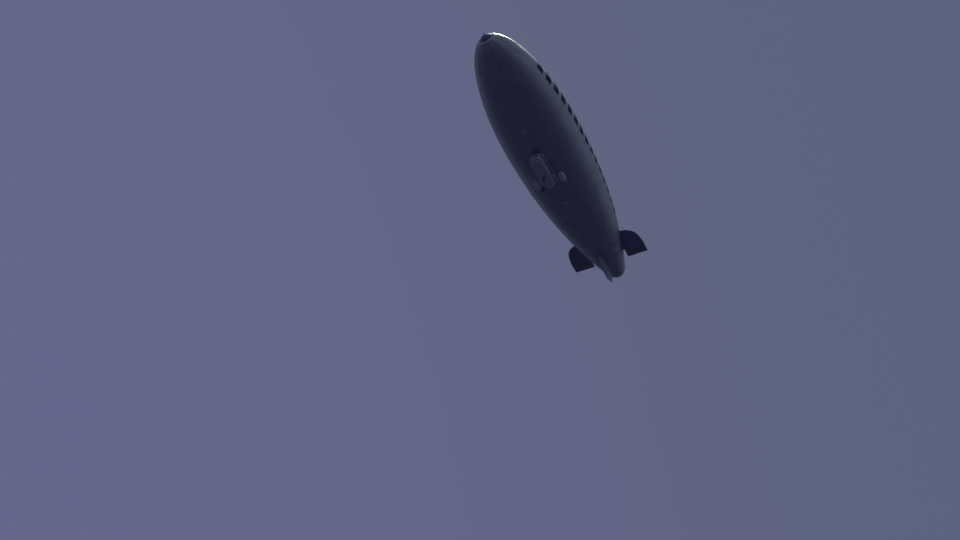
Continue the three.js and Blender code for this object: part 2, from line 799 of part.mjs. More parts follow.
function propeller(side) {
  const blade = loft(
    BLADE_TABLE.map(([radius, chord, half, pitch]) => {
      const turn = rad(side * pitch);
      const places = [
        [-0.5, 0],
        [-0.3, 0.8],
        [0, 1],
        [0.5, 0.1],
        [0.5, -0.1],
        [0, -0.6],
        [-0.3, -0.5],
      ];
      return places.map(([along, across]) => {
        const u = along * chord;
        const v = across * half;
        return [v * Math.cos(turn) - u * Math.sin(turn), u * Math.cos(turn) + v * Math.sin(turn), radius];
      });
    }),
  );
  const spinner = turnedAboutX(
    [
      [-270, 0],
      [-235, 62],
      [-140, 112],
      [0, PROPELLER.hubRadius],
      [PROPELLER.hubFront, PROPELLER.hubRadius],
      [PROPELLER.hubFront, 0],
    ],
    24,
  );
  const shaftLength = PROPELLER.station - PROPELLER.shaftEnd;
  const shaft = rod([0, 0, 0], [shaftLength, 0, 0], PROPELLER.shaftRadius, 20);
  return join(blade, blade.rotate([180, 0, 0]), spinner, shaft);
}

// Behind each propeller a scoop takes its blast up into the hull's air cells
const SCOOP = { station: 27350, y: 2150, mouth: -7700, radius: 250, wall: 22 };

function airScoop(side) {
  const duct = (radius, low, mouthReach) => {
    const x = xAt(SCOOP.station);
    const y = side * SCOOP.y;
    const upright = rod([x, y, low], [x, y, -6000], radius, 12);
    const mouth = rod([x, y, SCOOP.mouth], [x + mouthReach, y, SCOOP.mouth], radius, 12, radius * 1.12);
    const elbow = solid(new THREE.SphereGeometry(radius, 12, 6).translate(x, y, SCOOP.mouth));
    return join(upright, mouth, elbow);
  };
  const outer = duct(SCOOP.radius, SCOOP.mouth, 330);
  const inner = duct(SCOOP.radius - SCOOP.wall, SCOOP.mouth, 420);
  return outer.subtract(inner).subtract(hullSeat);
}

// Landing gear: a fixed leg under the car, a fork that swivels in it, and one wheel that trails behind

const SWIVEL_X = xAt(WHEEL.station);
const AXLE_X = xAt(WHEEL.station + WHEEL.trail);
const LEG = { top: -9450, foot: -9700, radius: 78, plate: 190, bore: 41.9, pin: 40, pinTop: -9500 };
const FORK = { crownTop: -9760, crownBottom: -9830, armInner: 138, armOuter: 172, axle: 26 };

function gearLeg() {
  const tube = rod([SWIVEL_X, 0, LEG.top + 60], [SWIVEL_X, 0, LEG.foot], LEG.radius, 20);
  const plate = rod([SWIVEL_X, 0, LEG.top + 60], [SWIVEL_X, 0, LEG.top - 30], LEG.plate, 20);
  const bore = rod([SWIVEL_X, 0, LEG.foot - 50], [SWIVEL_X, 0, LEG.top + 80], LEG.bore, 24);
  return join(tube, plate).subtract(bore).subtract(carSeat);
}

function wheelFork() {
  const pin = rod([SWIVEL_X, 0, FORK.crownTop], [SWIVEL_X, 0, LEG.pinTop], LEG.pin, 20);
  const collar = rod([SWIVEL_X, 0, LEG.foot - 2], [SWIVEL_X, 0, FORK.crownBottom], LEG.radius, 20);
  const crown = box(
    [SWIVEL_X + 70, -FORK.armOuter, FORK.crownTop],
    [SWIVEL_X - 120, FORK.armOuter, FORK.crownBottom],
  );
  const sideOutline = [
    [SWIVEL_X + 60, FORK.crownTop - 2],
    [SWIVEL_X - 110, FORK.crownTop - 2],
    [AXLE_X - 55, WHEEL.axleHeight + 20],
    [AXLE_X - 30, WHEEL.axleHeight - 50],
    [AXLE_X + 30, WHEEL.axleHeight - 50],
    [AXLE_X + 55, WHEEL.axleHeight + 20],
  ];
  const arms = [-1, 1].map((side) =>
    loft([FORK.armInner, FORK.armOuter].map((reach) => sideOutline.map(([x, z]) => [x, side * reach, z]))),
  );
  const axle = rod([AXLE_X, -185, WHEEL.axleHeight], [AXLE_X, 185, WHEEL.axleHeight], FORK.axle, 16);
  return join(pin, collar, crown, ...arms, axle);
}

// A body turned about the wheel's own axis from rows of [y, radius] that close on themselves
function turnedAboutAxle(rows, segments) {
  const points = [...rows, rows[0]].map(([y, radius]) => new THREE.Vector2(radius, y));
  return solid(new THREE.LatheGeometry(points, segments));
}

const RIM_RADIUS = 160;
const WHEEL_SEGMENTS = 20;

function wheelRim() {
  const half = [
    [128, 27.8],
    [128, 60],
    [60, 80],
    [60, RIM_RADIUS - 20],
    [82, RIM_RADIUS + 20],
    [72, RIM_RADIUS],
  ];
  const otherHalf = half.map(([y, radius]) => [-y, radius]).reverse();
  return turnedAboutAxle([...half, ...otherHalf], WHEEL_SEGMENTS);
}

function wheelTyre() {
  const half = [
    [71, RIM_RADIUS + 1],
    [84, RIM_RADIUS + 24],
    [WHEEL.halfWidth, 245],
    [78, 312],
    [40, WHEEL.radius],
  ];
  const otherHalf = half.map(([y, radius]) => [-y, radius]).reverse();
  return turnedAboutAxle([...half, ...otherHalf], WHEEL_SEGMENTS);
}

// The assembly

const airship = new THREE.Group();
airship.name = 'airship';
airship.scale.setScalar(MODEL_SCALE);

function placed(parent, x, y, z) {
  const group = new THREE.Group();
  group.position.set(x, y, z);
  parent.add(group);
  return group;
}

function add(parent, name, body, finish) {
  const mesh = new THREE.Mesh(geometryOf(body), new THREE.MeshStandardMaterial(COLOURS[finish]));
  mesh.name = name;
  parent.add(mesh);
}

add(airship, 'envelope', envelope(), 'silver');
add(airship, 'nose_cone', noseCone(), 'navy');
add(airship, 'nose_battens', noseBattens(), 'silver');
add(airship, 'mooring_spindle', mooringSpindle(), 'steel');
VALVES.forEach((valve) => add(airship, valve.name, valveBody(valve), 'steel'));

TAIL.forEach(({ finName, surfaceName, turn, ...shape }) => {
  const quarter = placed(airship, 0, 0, 0);
  quarter.rotation.x = rad(turn);
  add(quarter, finName, fin(shape), 'navy');
  add(quarter, surfaceName, controlSurface(shape), 'navy');
});

const wholeCar = join(carShell(), ...DOOR_HINGE.heights.map(doorLug));
CAR_PANELS.forEach(([name, [from, to], [right, left], [bottom, top]]) => {
  const panel = wholeCar.intersect(box([xAt(from), right, bottom], [xAt(to), left, top]));
  add(airship, name, panel, 'white');
});
WINDOW_CUTS.forEach(({ name, cut }) => add(airship, name, glassSkin.intersect(cut(-GAP)), 'glass'));
add(airship, 'cabin_door', join(cabinDoor(), ...DOOR_HINGE.heights.map(doorKnuckle)), 'white');
add(airship, 'door_window', glassSkin.intersect(sidePrism(DOOR_WINDOW, -1, -GAP)), 'glass');
add(airship, 'cabin_floor', cabinFloor(), 'floor');
add(airship, 'cabin_ceiling', cabinCeiling(), 'white');
SEATS.forEach((place) => add(airship, place.name, seat(place), 'seat'));
add(airship, 'instrument_panel', instrumentPanel(), 'black');
add(airship, 'elevator_wheel', elevatorWheel(), 'steel');
add(airship, 'hand_rail', handRail(), 'steel');

[
  ['left', 1],
  ['right', -1],
].forEach(([hand, side]) => {
  add(airship, `outrigger_${hand}`, outrigger(side), 'white');
  add(airship, `nacelle_${hand}`, nacelle(side), 'white');
  add(airship, `engine_${hand}`, engineBlock(side), 'steel');
  const hub = placed(airship, xAt(PROPELLER.station), side * ENGINE.y, ENGINE.z);
  add(hub, `propeller_${hand}`, propeller(side), 'black');
  add(airship, `air_scoop_${hand}`, airScoop(side), 'fabric');
});

add(airship, 'gear_leg', gearLeg(), 'white');
add(airship, 'wheel_fork', wheelFork(), 'steel');
const axle = placed(airship, AXLE_X, 0, WHEEL.axleHeight);
add(axle, 'wheel_rim', wheelRim(), 'steel');
add(axle, 'wheel_tyre', wheelTyre(), 'tyre');

export default airship;
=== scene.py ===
"""The looks of a non-rigid airship, built over its construction frame.

Shapes are drawn at full size, in metres, and every point is scaled to the half-size model when it goes into a
mesh. A station is a distance aft of the nose tip, as on an airship's drawing. Port is +Y, up is +Z, the nose
is +X.
"""

import logging
import math
from dataclasses import dataclass, field
from enum import Enum
from typing import Callable, Iterable

import bpy
import numpy as np
from mathutils import Matrix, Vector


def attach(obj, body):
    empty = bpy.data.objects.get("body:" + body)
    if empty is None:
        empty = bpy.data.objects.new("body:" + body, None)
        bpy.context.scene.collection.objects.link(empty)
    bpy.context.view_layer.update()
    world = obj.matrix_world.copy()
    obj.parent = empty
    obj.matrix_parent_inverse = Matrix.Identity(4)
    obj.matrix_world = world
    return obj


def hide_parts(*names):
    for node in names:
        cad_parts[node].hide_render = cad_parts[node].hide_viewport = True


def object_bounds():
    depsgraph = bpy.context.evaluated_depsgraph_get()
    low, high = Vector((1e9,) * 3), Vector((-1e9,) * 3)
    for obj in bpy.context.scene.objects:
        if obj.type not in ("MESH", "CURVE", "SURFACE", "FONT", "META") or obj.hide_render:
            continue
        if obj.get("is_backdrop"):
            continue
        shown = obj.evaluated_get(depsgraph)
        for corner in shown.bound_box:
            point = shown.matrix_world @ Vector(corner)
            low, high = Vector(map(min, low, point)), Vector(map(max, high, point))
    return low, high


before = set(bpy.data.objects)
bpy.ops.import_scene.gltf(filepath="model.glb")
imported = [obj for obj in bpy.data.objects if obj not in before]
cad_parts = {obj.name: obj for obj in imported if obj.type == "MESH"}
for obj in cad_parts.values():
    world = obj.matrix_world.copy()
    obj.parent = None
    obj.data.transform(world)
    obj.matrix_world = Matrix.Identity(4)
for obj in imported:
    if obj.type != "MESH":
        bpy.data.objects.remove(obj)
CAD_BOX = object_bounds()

LOG = logging.getLogger("airship")
Array = np.ndarray
Point = Iterable[float]
Profile = tuple[tuple[float, float], ...]

MODEL_SCALE = 0.5
BUOYANCY_STATION = 26.3
BEDDING = 0.01
AHEAD, PORT, UP = np.eye(3)


class Body(Enum):
    """The bodies of the frame that a piece can ride on."""

    HULL = "hull"
    RUDDER_TOP = "rudder_top"
    RUDDER_BOTTOM = "rudder_bottom"
    ELEVATOR_LEFT = "elevator_left"
    ELEVATOR_RIGHT = "elevator_right"
    PROPELLER_LEFT = "propeller_left"
    PROPELLER_RIGHT = "propeller_right"
    DOOR = "door"
    SWIVEL = "swivel"
    WHEEL = "wheel"


class Slot(Enum):
    """The record's material slots."""

    SILVER_FABRIC = "silver_fabric"
    SILVER_PAINT = "silver_paint"
    NAVY = "navy_paint"
    STEEL = "steel"
    ALUMINIUM = "aluminium"
    WHITE = "white_paint"
    GLASS = "glass"
    LINING = "cabin_lining"
    CARPET = "carpet"
    SEAT = "seat_fabric"
    PLASTIC = "black_plastic"
    BLACK = "black_paint"
    DUCT = "duct_fabric"
    TYRE = "tyre"


class Side(Enum):
    """The two hands of the craft, with the sign of Y on each."""

    LEFT = 1
    RIGHT = -1

    @property
    def word(self) -> str:
        """The side's name as pieces carry it."""
        return self.name.lower()


# Points and curves


def at(station: Array | float, port: Array | float, up: Array | float) -> Array:
    """Points by station, distance to port and height, as X ahead of the centre of buoyancy, Y and Z."""
    station, port, up = np.broadcast_arrays(station, port, up)
    return np.stack([BUOYANCY_STATION - station, port, up], -1)


def unit(vectors: Array) -> Array:
    """Vectors divided by their own length."""
    return vectors / np.maximum(np.linalg.norm(vectors, axis=-1, keepdims=True), 1e-12)


def cubic(where: Array, knots: Array, values: Array, slopes: Array) -> Array:
    """The curve of cubics that has known values and slopes at its knots.

    Args:
        where: places to work the curve out at.
        knots: places of the known points, rising.
        values: the value at each knot, a number or a row of numbers.
        slopes: the slope at each knot, of the same shape.

    Returns:
        The curve's value at each place.
    """
    i = np.clip(np.searchsorted(knots, where, side="right") - 1, 0, len(knots) - 2)
    width, run = knots[i + 1] - knots[i], where - knots[i]
    if values.ndim > 1:
        width, run = width[:, None], run[:, None]
    t = run / width
    return (
        values[i] * (1 + 2 * t) * (1 - t) ** 2
        + slopes[i] * width * t * (1 - t) ** 2
        + values[i + 1] * t * t * (3 - 2 * t)
        + slopes[i + 1] * width * t * t * (t - 1)
    )


def smooth_through(where: Array | float, knots: Point, values: Point) -> Array:
    """A smooth curve through known points that never swings past them.

    Each knot's slope is the harmonic mean of its two neighbours' slopes, or 0 where they differ in sign.

    Args:
        where: places to work the curve out at.
        knots: places of the known points, rising.
        values: the known values, one for each knot.

    Returns:
        The curve's value at each place.
    """
    knots, values = np.asarray(knots, float), np.asarray(values, float)
    steps = np.diff(values) / np.diff(knots)
    before, after = steps[:-1], steps[1:]
    even = before * after > 0
    inner = np.where(even, 2 * before * after / np.where(even, before + after, 1.0), 0.0)
    slopes = np.concatenate([steps[:1], inner, steps[-1:]])
    return cubic(np.clip(where, knots[0], knots[-1]), knots, values, slopes)


def spline(points: Array, count: int) -> Array:
    """A smooth line through given points.

    Each point's place along the line is the sum of the square roots of the distances up to it.

    Args:
        points: (n, 3) points in order.
        count: how many points the line gets.

    Returns:
        (count, 3) points.
    """
    points = np.asarray(points, float)
    run = np.concatenate([[0], np.cumsum(np.linalg.norm(np.diff(points, axis=0), axis=1) ** 0.5)])
    return cubic(np.linspace(0, run[-1], count), run, points, np.gradient(points, run, axis=0))


def softened(corners: Array, radius: float, steps: int = 5, closed: bool = True) -> Array:
    """An outline whose corners are rounded.

    Each corner becomes the quadratic arc that leaves one side, and joins the next, radius away from the
    corner, or at 0.45 of a side that is shorter than that.

    Args:
        corners: (n, d) corner points in order.
        radius: distance from a corner at which its arc starts.
        steps: points on each arc.
        closed: whether the last corner joins the first one; if not, the two ends stay as they are.

    Returns:
        (n * steps, d) points, or fewer for an open line.
    """
    corners = np.asarray(corners, float)

    def towards(other: Array) -> Array:
        """The point on the way from each corner to another one.

        Args:
            other: the other corners.

        Returns:
            The points at which the arcs meet the sides.
        """
        way = other - corners
        length = np.linalg.norm(way, axis=1, keepdims=True)
        return corners + way * np.minimum(radius / np.maximum(length, 1e-9), 0.45)

    leave, join = towards(np.roll(corners, 1, 0)), towards(np.roll(corners, -1, 0))
    t = np.linspace(0, 1, steps)[None, :, None]
    arcs = (1 - t) ** 2 * leave[:, None] + 2 * t * (1 - t) * corners[:, None] + t * t * join[:, None]
    if closed:
        return arcs.reshape(-1, corners.shape[1])
    return np.concatenate([corners[:1], arcs[1:-1].reshape(-1, corners.shape[1]), corners[-1:]])


def rectangle(width: float, height: float, radius: float, steps: int = 6) -> Array:
    """A rounded rectangle's outline about the middle, as (n, 2) points."""
    corners = np.array([[1, 1], [-1, 1], [-1, -1], [1, -1]]) * [width / 2, height / 2]
    return softened(corners, radius, steps)


def divided(outline: Array, steps: int, shortest: float = 0.08) -> Array:
    """An outline with its long sides split into even steps.

    Args:
        outline: (n, 2) points.
        steps: how many steps a long side gets.
        shortest: the length above which a side is long.

    Returns:
        The outline's points and those between them.
    """
    after = np.roll(outline, -1, 0)
    counts = np.where(np.linalg.norm(after - outline, axis=1) > shortest, steps, 1)
    sides = zip(outline, after, counts)
    return np.concatenate([np.linspace(start, end, count, endpoint=False) for start, end, count in sides])


def circle(radius: float, sides: int = 12) -> Array:
    """A circle about the middle, as (sides, 2) points."""
    turn = np.linspace(0, 2 * np.pi, sides, endpoint=False)
    return radius * np.stack([np.cos(turn), np.sin(turn)], 1)


def spokes(count: int, axis: int = 2, start: float = 0.0) -> Array:
    """Directions in even steps round an axis: cos t along the first other axis, sin t along the second.

    Args:
        count: how many directions.
        axis: the axis they stand round, 0 to 2.
        start: the first one's angle in degrees.

    Returns:
        (count, 3) unit vectors.
    """
    turn = np.radians(start) + np.linspace(0, 2 * np.pi, count, endpoint=False)
    return np.insert(np.stack([np.cos(turn), np.sin(turn)], 1), axis, 0.0, 1)


# Surfaces


@dataclass
class Form:
    """A closed surface at full size: points, and faces of four and three corners with a UV for each.

    Attributes:
        points: its points.
        quads: the numbers of the four points of each face with four corners.
        tris: those of each triangle.
        quad_uv: UV of each corner of the faces with four corners.
        tri_uv: UV of each corner of the triangles.
    """

    points: Array
    quads: Array
    tris: Array
    quad_uv: Array
    tri_uv: Array

    def volume(self) -> float:
        """Signed volume: a sixth of the sum of a . (b x c) over the triangles.

        Returns:
            The volume, above 0 where the faces point out.
        """
        halves = np.concatenate([self.quads[:, [0, 1, 2]], self.quads[:, [0, 2, 3]], self.tris])
        centred = self.points - self.points.mean(0)
        a, b, c = (centred[halves[:, i]] for i in range(3))
        return float(np.einsum("ij,ij->", a, np.cross(b, c)) / 6)

    def outward(self) -> "Form":
        """The same surface with its faces pointing out of it.

        Returns:
            Itself, or a copy whose faces are turned round.
        """
        if self.volume() >= 0:
            return self
        corners = (self.quads, self.tris, self.quad_uv, self.tri_uv)
        return Form(self.points, *(column[:, ::-1] for column in corners))

    def changed(self, change: Callable[[Array], Array]) -> "Form":
        """The surface with its points changed by a function, and its faces pointing out again."""
        return Form(change(self.points), self.quads, self.tris, self.quad_uv, self.tri_uv).outward()

    def moved(self, offset: Point) -> "Form":
        """The surface moved by a distance along X, Y and Z."""
        return self.changed(lambda points: points + offset)


def joined(forms: Iterable[Form]) -> Form:
    """Several surfaces as one, in order.

    Args:
        forms: the surfaces.

    Returns:
        One surface with all their points and faces.
    """
    forms = list(forms)
    shifts = np.cumsum([0] + [len(form.points) for form in forms[:-1]])
    parts = [
        (form.points, form.quads + shift, form.tris + shift, form.quad_uv, form.tri_uv)
        for form, shift in zip(forms, shifts)
    ]
    return Form(*(np.concatenate(column) for column in zip(*parts)))


def copies(form: Form, places: Array) -> Form:
    """One surface repeated at many places.

    Args:
        form: the surface, about its own origin.
        places: (k, 4, 4) matrices that turn and move it.

    Returns:
        All the copies as one surface, their points worked out in one product of arrays.
    """
    count, size = len(places), len(form.points)
    full = np.concatenate([form.points, np.ones((size, 1))], 1)
    shift = (np.arange(count) * size)[:, None, None]
    return Form(
        np.einsum("kij,nj->kni", places, full)[..., :3].reshape(-1, 3),
        (form.quads[None] + shift).reshape(-1, 4),
        (form.tris[None] + shift).reshape(-1, 3),
        np.tile(form.quad_uv, (count, 1, 1)),
        np.tile(form.tri_uv, (count, 1, 1)),
    )


def stood(form: Form, origins: Array, outward: Array, ahead: Array = AHEAD) -> Form:
    """Copies of a small part stood on a surface.

    Args:
        form: the part, its Z outward.
        origins: where each copy stands, (k, 3) or one point.
        outward: the surface's direction there, for each or for all.
        ahead: the direction that the part's X comes as near to as it can, for each or for all.

    Returns:
        All the copies as one surface.
    """
    given = (np.atleast_2d(points) for points in (origins, outward, ahead))
    origins, outward, ahead = np.broadcast_arrays(*given)
    outward = unit(outward)
    across = unit(np.cross(outward, ahead))
    places = np.tile(np.eye(4), (len(origins), 1, 1))
    places[:, :3] = np.stack([np.cross(across, outward), across, outward, origins], -1)
    return copies(form, places)


def stacked(rows: Iterable[tuple[Array, float]]) -> Array:
    """Rows of points from outlines in X and Y, each at its own height."""
    return np.stack([np.insert(outline, 2, height, 1) for outline, height in rows])


def rounded_rows(
    station: Array, half: Array, top: Array, bottom: Array, corner: Array, port: float = 0.0
) -> Array:
    """Rows of points round rounded rectangles, one at each station: four arcs, with points between them.

    Args:
        station: stations of the rectangles.
        half: their half widths.
        top: their tops.
        bottom: their bottoms.
        corner: their corner radii.
        port: distance of their middle to port.

    Returns:
        (n, 76, 3) points.
    """
    arc, flat = np.linspace(0, 90, 9), np.linspace(1, -1, 12)[1:-1]
    y, z = np.append(np.ones_like(arc), flat), np.ones(len(arc) + len(flat))
    turn, quarters = np.append(arc, np.full_like(flat, 90)), []
    for quarter in range(4):
        quarters.append((y, z, turn + 90 * quarter))
        y, z = -z, y
    y, z, turn = np.concatenate(quarters, 1)
    half, top, bottom, corner = (value[:, None] for value in (half, top, bottom, corner))
    middle, height = (top + bottom) / 2, (top - bottom) / 2
    across = port + y * (half - corner) + np.cos(np.radians(turn)) * corner
    up = middle + z * (height - corner) + np.sin(np.radians(turn)) * corner
    return at(station[:, None], across, up)


class Ends(Enum):
    """How a skin over rows of points is closed at its two ends."""

    POLE = "a fan to one point"
    STRIP = "a strip between the two halves of the row"
    RING = "the last row joins the first"


def skin(
    rows: Array,
    ends: Ends = Ends.POLE,
    first: Array | None = None,
    last: Array | None = None,
    along: Array | None = None,
) -> Form:
    """A closed skin over rows of points, each row closing on itself.

    Quads join point j of row i to point j of row i + 1. A pole closes an end with a fan to the row's middle,
    or to a point given. A strip closes it with quads between point j and its partner counted from the row's
    end.

    Args:
        rows: (n, m, 3) points.
        ends: how the ends are closed.
        first: the pole of the first row, if it isn't the row's middle.
        last: the pole of the last row, if it isn't the row's middle.
        along: a UV height for each row, 0 to 1 in even steps if left out.

    Returns:
        The skin, its faces pointing out, U once round each row and V along the rows.
    """
    n, m, _ = rows.shape
    height = np.linspace(0, 1, n) if along is None else along
    bands = np.arange(n if ends is Ends.RING else n - 1)
    i, j = (grid.ravel() for grid in np.meshgrid(bands, np.arange(m), indexing="ij"))
    up, right = (i + 1) % n, (j + 1) % m
    quads = np.stack([i * m + j, i * m + right, up * m + right, up * m + j], 1)
    low, high = height[i], np.append(height, 1.0)[i + 1]
    corners = ((j, low), (j + 1, low), (j + 1, high), (j, high))
    quad_uv = np.stack([np.stack([u / m, v], 1) for u, v in corners], 1)
    points = rows.reshape(-1, 3)
    tris, tri_uv = np.zeros((0, 3), int), np.zeros((0, 3, 2))
    if ends is Ends.POLE:
        first = rows[0].mean(0) if first is None else first
        last = rows[-1].mean(0) if last is None else last
        points = np.concatenate([points, [first, last]])
        j, top, pole = np.arange(m), (n - 1) * m, np.full(m, n * m)
        right = (j + 1) % m
        tris = np.concatenate([np.stack([right, j, pole], 1), np.stack([top + j, top + right, pole + 1], 1)])
        round_to = np.stack([j / m, (j + 1) / m], 1)
        tri_uv = np.concatenate([cap_uv(round_to[:, ::-1], height[0]), cap_uv(round_to, height[-1])])
    if ends is Ends.STRIP:
        k = np.arange(m // 2 - 1)
        strip = np.stack([k + 1, k, m - 1 - k, m - 2 - k], 1)
        quads = np.concatenate([quads, strip, (n - 1) * m + strip[:, ::-1]])
        quad_uv = np.concatenate([quad_uv, np.zeros((2 * len(k), 4, 2))])
    return Form(points, quads, tris, quad_uv, tri_uv).outward()


def cap_uv(round_to: Array, height: float) -> Array:
    """UVs of a fan of triangles: the two rim corners at their place round the row, the pole between them."""
    us = np.append(round_to, round_to.mean(1, keepdims=True), 1)
    return np.stack([us, np.full_like(us, height)], -1)


def sheet_between(top: Array, bottom: Array, ends: Ends = Ends.STRIP) -> Form:
    """A thin closed plate between two grids of points of one shape.

    With STRIP the grids are patches with four edges. With RING their rows close on themselves round a hole.
    With POLE their rows close on themselves and the first row is filled in to its middle.

    Args:
        top: (n, m, 3) points of one face.
        bottom: (n, m, 3) points of the other.
        ends: which of the three kinds of plate it is.

    Returns:
        The plate.
    """
    if ends is Ends.STRIP:
        return skin(np.concatenate([top, bottom[:, ::-1]], 1), Ends.STRIP)
    return skin(np.concatenate([top, bottom[::-1]], 0), ends)


def carried(path: Array, profile: Array, over: Point | None = None, closed: bool = False) -> Array:
    """Rows of points from a profile carried along a path.

    At each point of the path the profile's first number goes sideways, across the path's direction and the
    over direction, and its second number goes at right angles to both.

    Args:
        path: (n, 3) points.
        profile: (m, 2) points, or (n, m, 2) for a profile that changes.
        over: the direction that the profile's second number follows, by default the axis that the path strays
            least towards.
        closed: whether the path's last point joins its first one.

    Returns:
        (n, m, 3) points.
    """
    tangent = unit(np.roll(path, -1, 0) - np.roll(path, 1, 0)) if closed else unit(np.gradient(path, axis=0))
    if over is None:
        over = np.eye(3)[np.argmin(np.abs(tangent).max(0))]
    side = unit(np.cross(over, tangent))
    lift = np.cross(tangent, side)
    profile = np.broadcast_to(profile, (len(path), *np.shape(profile)[-2:]))
    return path[:, None] + profile[..., :1] * side[:, None] + profile[..., 1:] * lift[:, None]


def sweep(path: Array, profile: Array, over: Point | None = None, closed: bool = False) -> Form:
    """The closed surface of a profile carried along a path, with what carried asks for."""
    return skin(carried(path, profile, over, closed), Ends.RING if closed else Ends.POLE)


def rings(radius: float | Array, count: int, sides: int) -> Array:
    """Circles for the points of a path, their radius one number or one for each point."""
    return circle(1.0, sides) * np.broadcast_to(radius, count)[:, None, None]


def tube(path: Array, radius: float | Array, sides: int = 10, closed: bool = False) -> Form:
    """A round tube along a path, its radius one number or one for each point of the path."""
    return sweep(path, rings(radius, len(path), sides), closed=closed)


def bent(corners: Array, bend: float, radius: float, steps: int = 5) -> Form:
    """A round tube along straight lines, bent between them over a distance from each corner."""
    return tube(softened(corners, bend, steps, closed=False), radius)


def pipe(path: Array, rows: Array, bore: float) -> Form:
    """A tube that is open at both ends: its outer rows of points, and a bore that is a share of its width."""
    inner = path[:, None] + (rows - path[:, None]) * bore
    return skin(np.concatenate([rows, inner[::-1]]), Ends.RING)


def rod(start: Array, end: Array, radius: float, sides: int = 12, chamfer: float = 0.25) -> Form:
    """A straight round bar.

    Args:
        start: one end.
        end: the other end.
        radius: its radius.
        sides: points round it.
        chamfer: how much of the radius its ends' chamfers take off.

    Returns:
        The bar.
    """
    start, end = np.asarray(start, float), np.asarray(end, float)
    length = np.linalg.norm(end - start)
    cut = min(radius * chamfer, length * 0.3)
    share = np.array([0, cut, length - cut, length])[:, None] / length
    return tube(start + (end - start) * share, radius * np.array([1 - chamfer, 1, 1, 1 - chamfer]), sides)


def pin(middle: Array, reach: Point, radius: float, sides: int = 12, chamfer: float = 0.25) -> Form:
    """A straight round bar that reaches equally far to both sides of its middle."""
    reach = np.asarray(reach, float)
    return rod(middle - reach, middle + reach, radius, sides, chamfer)


def turned(profile: Array | Profile, centre: Point, axis: Point, sides: int = 48, ring: bool = False) -> Form:
    """A shape turned about an axis.

    Each profile point (along, radius) becomes the circle
    centre + along * axis + radius * (cos t * e1 + sin t * e2).

    Args:
        profile: (n, 2) points: distance along the axis, and radius.
        centre: where the distance along the axis is 0.
        axis: the axis's direction.
        sides: points round each circle.
        ring: whether the profile closes on itself, clear of the axis.

    Returns:
        The closed surface.
    """
    profile = np.asarray(profile, float)
    centre, axis = np.asarray(centre, float), unit(np.asarray(axis, float))
    first = unit(np.cross(axis, np.eye(3)[np.argmin(np.abs(axis))]))
    wheel = circle(1.0, sides) @ [first, np.cross(axis, first)]
    rows = centre + profile[:, None, :1] * axis + profile[:, None, 1:] * wheel
    if ring:
        return skin(rows, Ends.RING)
    poles = (centre + profile[k, 0] * axis for k in (0, -1))
    return skin(rows[profile[:, 1] > 1e-9], Ends.POLE, *poles)


def prism(outline: Array, low: float, high: float, chamfer: float = 0.004) -> Form:
    """A plate with an outline in X and Y.

    Args:
        outline: (n, 2) points.
        low: the height of its underside.
        high: the height of its top.
        chamfer: the size of the chamfer round both faces.

    Returns:
        The plate.
    """
    middle = outline.mean(0)
    reach = np.linalg.norm(outline - middle, axis=1).mean()
    inner = middle + (outline - middle) * (1 - chamfer / reach)
    return skin(stacked([(inner, low), (outline, low + chamfer), (outline, high - chamfer), (inner, high)]))


def upright(outline: Array, low: float, high: float, chamfer: float = 0.004) -> Form:
    """A plate with an outline in X and Z, between two distances to port."""
    return prism(outline, low, high, chamfer).changed(lambda points: points[:, [0, 2, 1]])


def block(low: Point, high: Point, corner: float = 0.01) -> Form:
    """A block between two corners, its upright edges rounded and its other edges chamfered.

    Args:
        low: one corner.
        high: the opposite corner.
        corner: radius of the upright edges.

    Returns:
        The block.
    """
    low, high = np.minimum(low, high), np.maximum(low, high)
    size = high - low
    shape = prism(rectangle(size[0], size[1], corner, 4), low[2], high[2], min(corner, size[2] * 0.3) * 0.6)
    return shape.moved([*(low + high)[:2] / 2, 0])


def bolt(radius: float, height: float) -> Form:
    """A small hexagonal head, with few faces because it is repeated many times."""
    side = circle(radius, 6)
    return skin(stacked([(side, 0.0), (side, height * 0.7), (side * 0.75, height)]))


def rivet(radius: float) -> Form:
    """A low round head, with few faces because it is repeated many times."""
    side = circle(radius, 6)
    return skin(stacked([(side, 0.0), (side * 0.7, radius * 0.45)]), last=UP * radius * 0.55)


def plate(outline: Array, thick: float, shares: Point = (0.35, 0.7, 0.97, 1.0), edge: float = 0.5) -> Form:
    """A thin plate, a grid of rows that shrink to its middle, so that it can be laid on a curved surface.

    Args:
        outline: (n, 2) points.
        thick: how far its top stands above 0. It goes down into the surface by the bedding.
        shares: how far out each row is, of the outline.
        edge: how much of the thickness is left at the edge.

    Returns:
        The plate.
    """
    middle = outline.mean(0)
    rows = middle + np.array(shares)[:, None, None] * (outline - middle)
    top = stacked(zip(rows, thick * np.array([1, 1, 1, edge])))
    return skin(np.concatenate([top, stacked((row, -BEDDING) for row in rows[::-1])]))


def patch(radius: float, lobes: int = 0, depth: float = 0.0, thick: float = 0.004, sides: int = 60) -> Form:
    """A thin round plate, its radius R (1 + d cos(n t)).

    Args:
        radius: R.
        lobes: n, how many lobes its edge has.
        depth: d, how deep they are.
        thick: its thickness.
        sides: points round it.

    Returns:
        The plate.
    """
    swing = 1 + depth * np.cos(lobes * np.linspace(0, 2 * np.pi, sides, endpoint=False))
    return plate(circle(radius, sides) * swing[:, None], thick, (0.3, 0.6, 0.93, 1.0), 0.2)


# Finishes


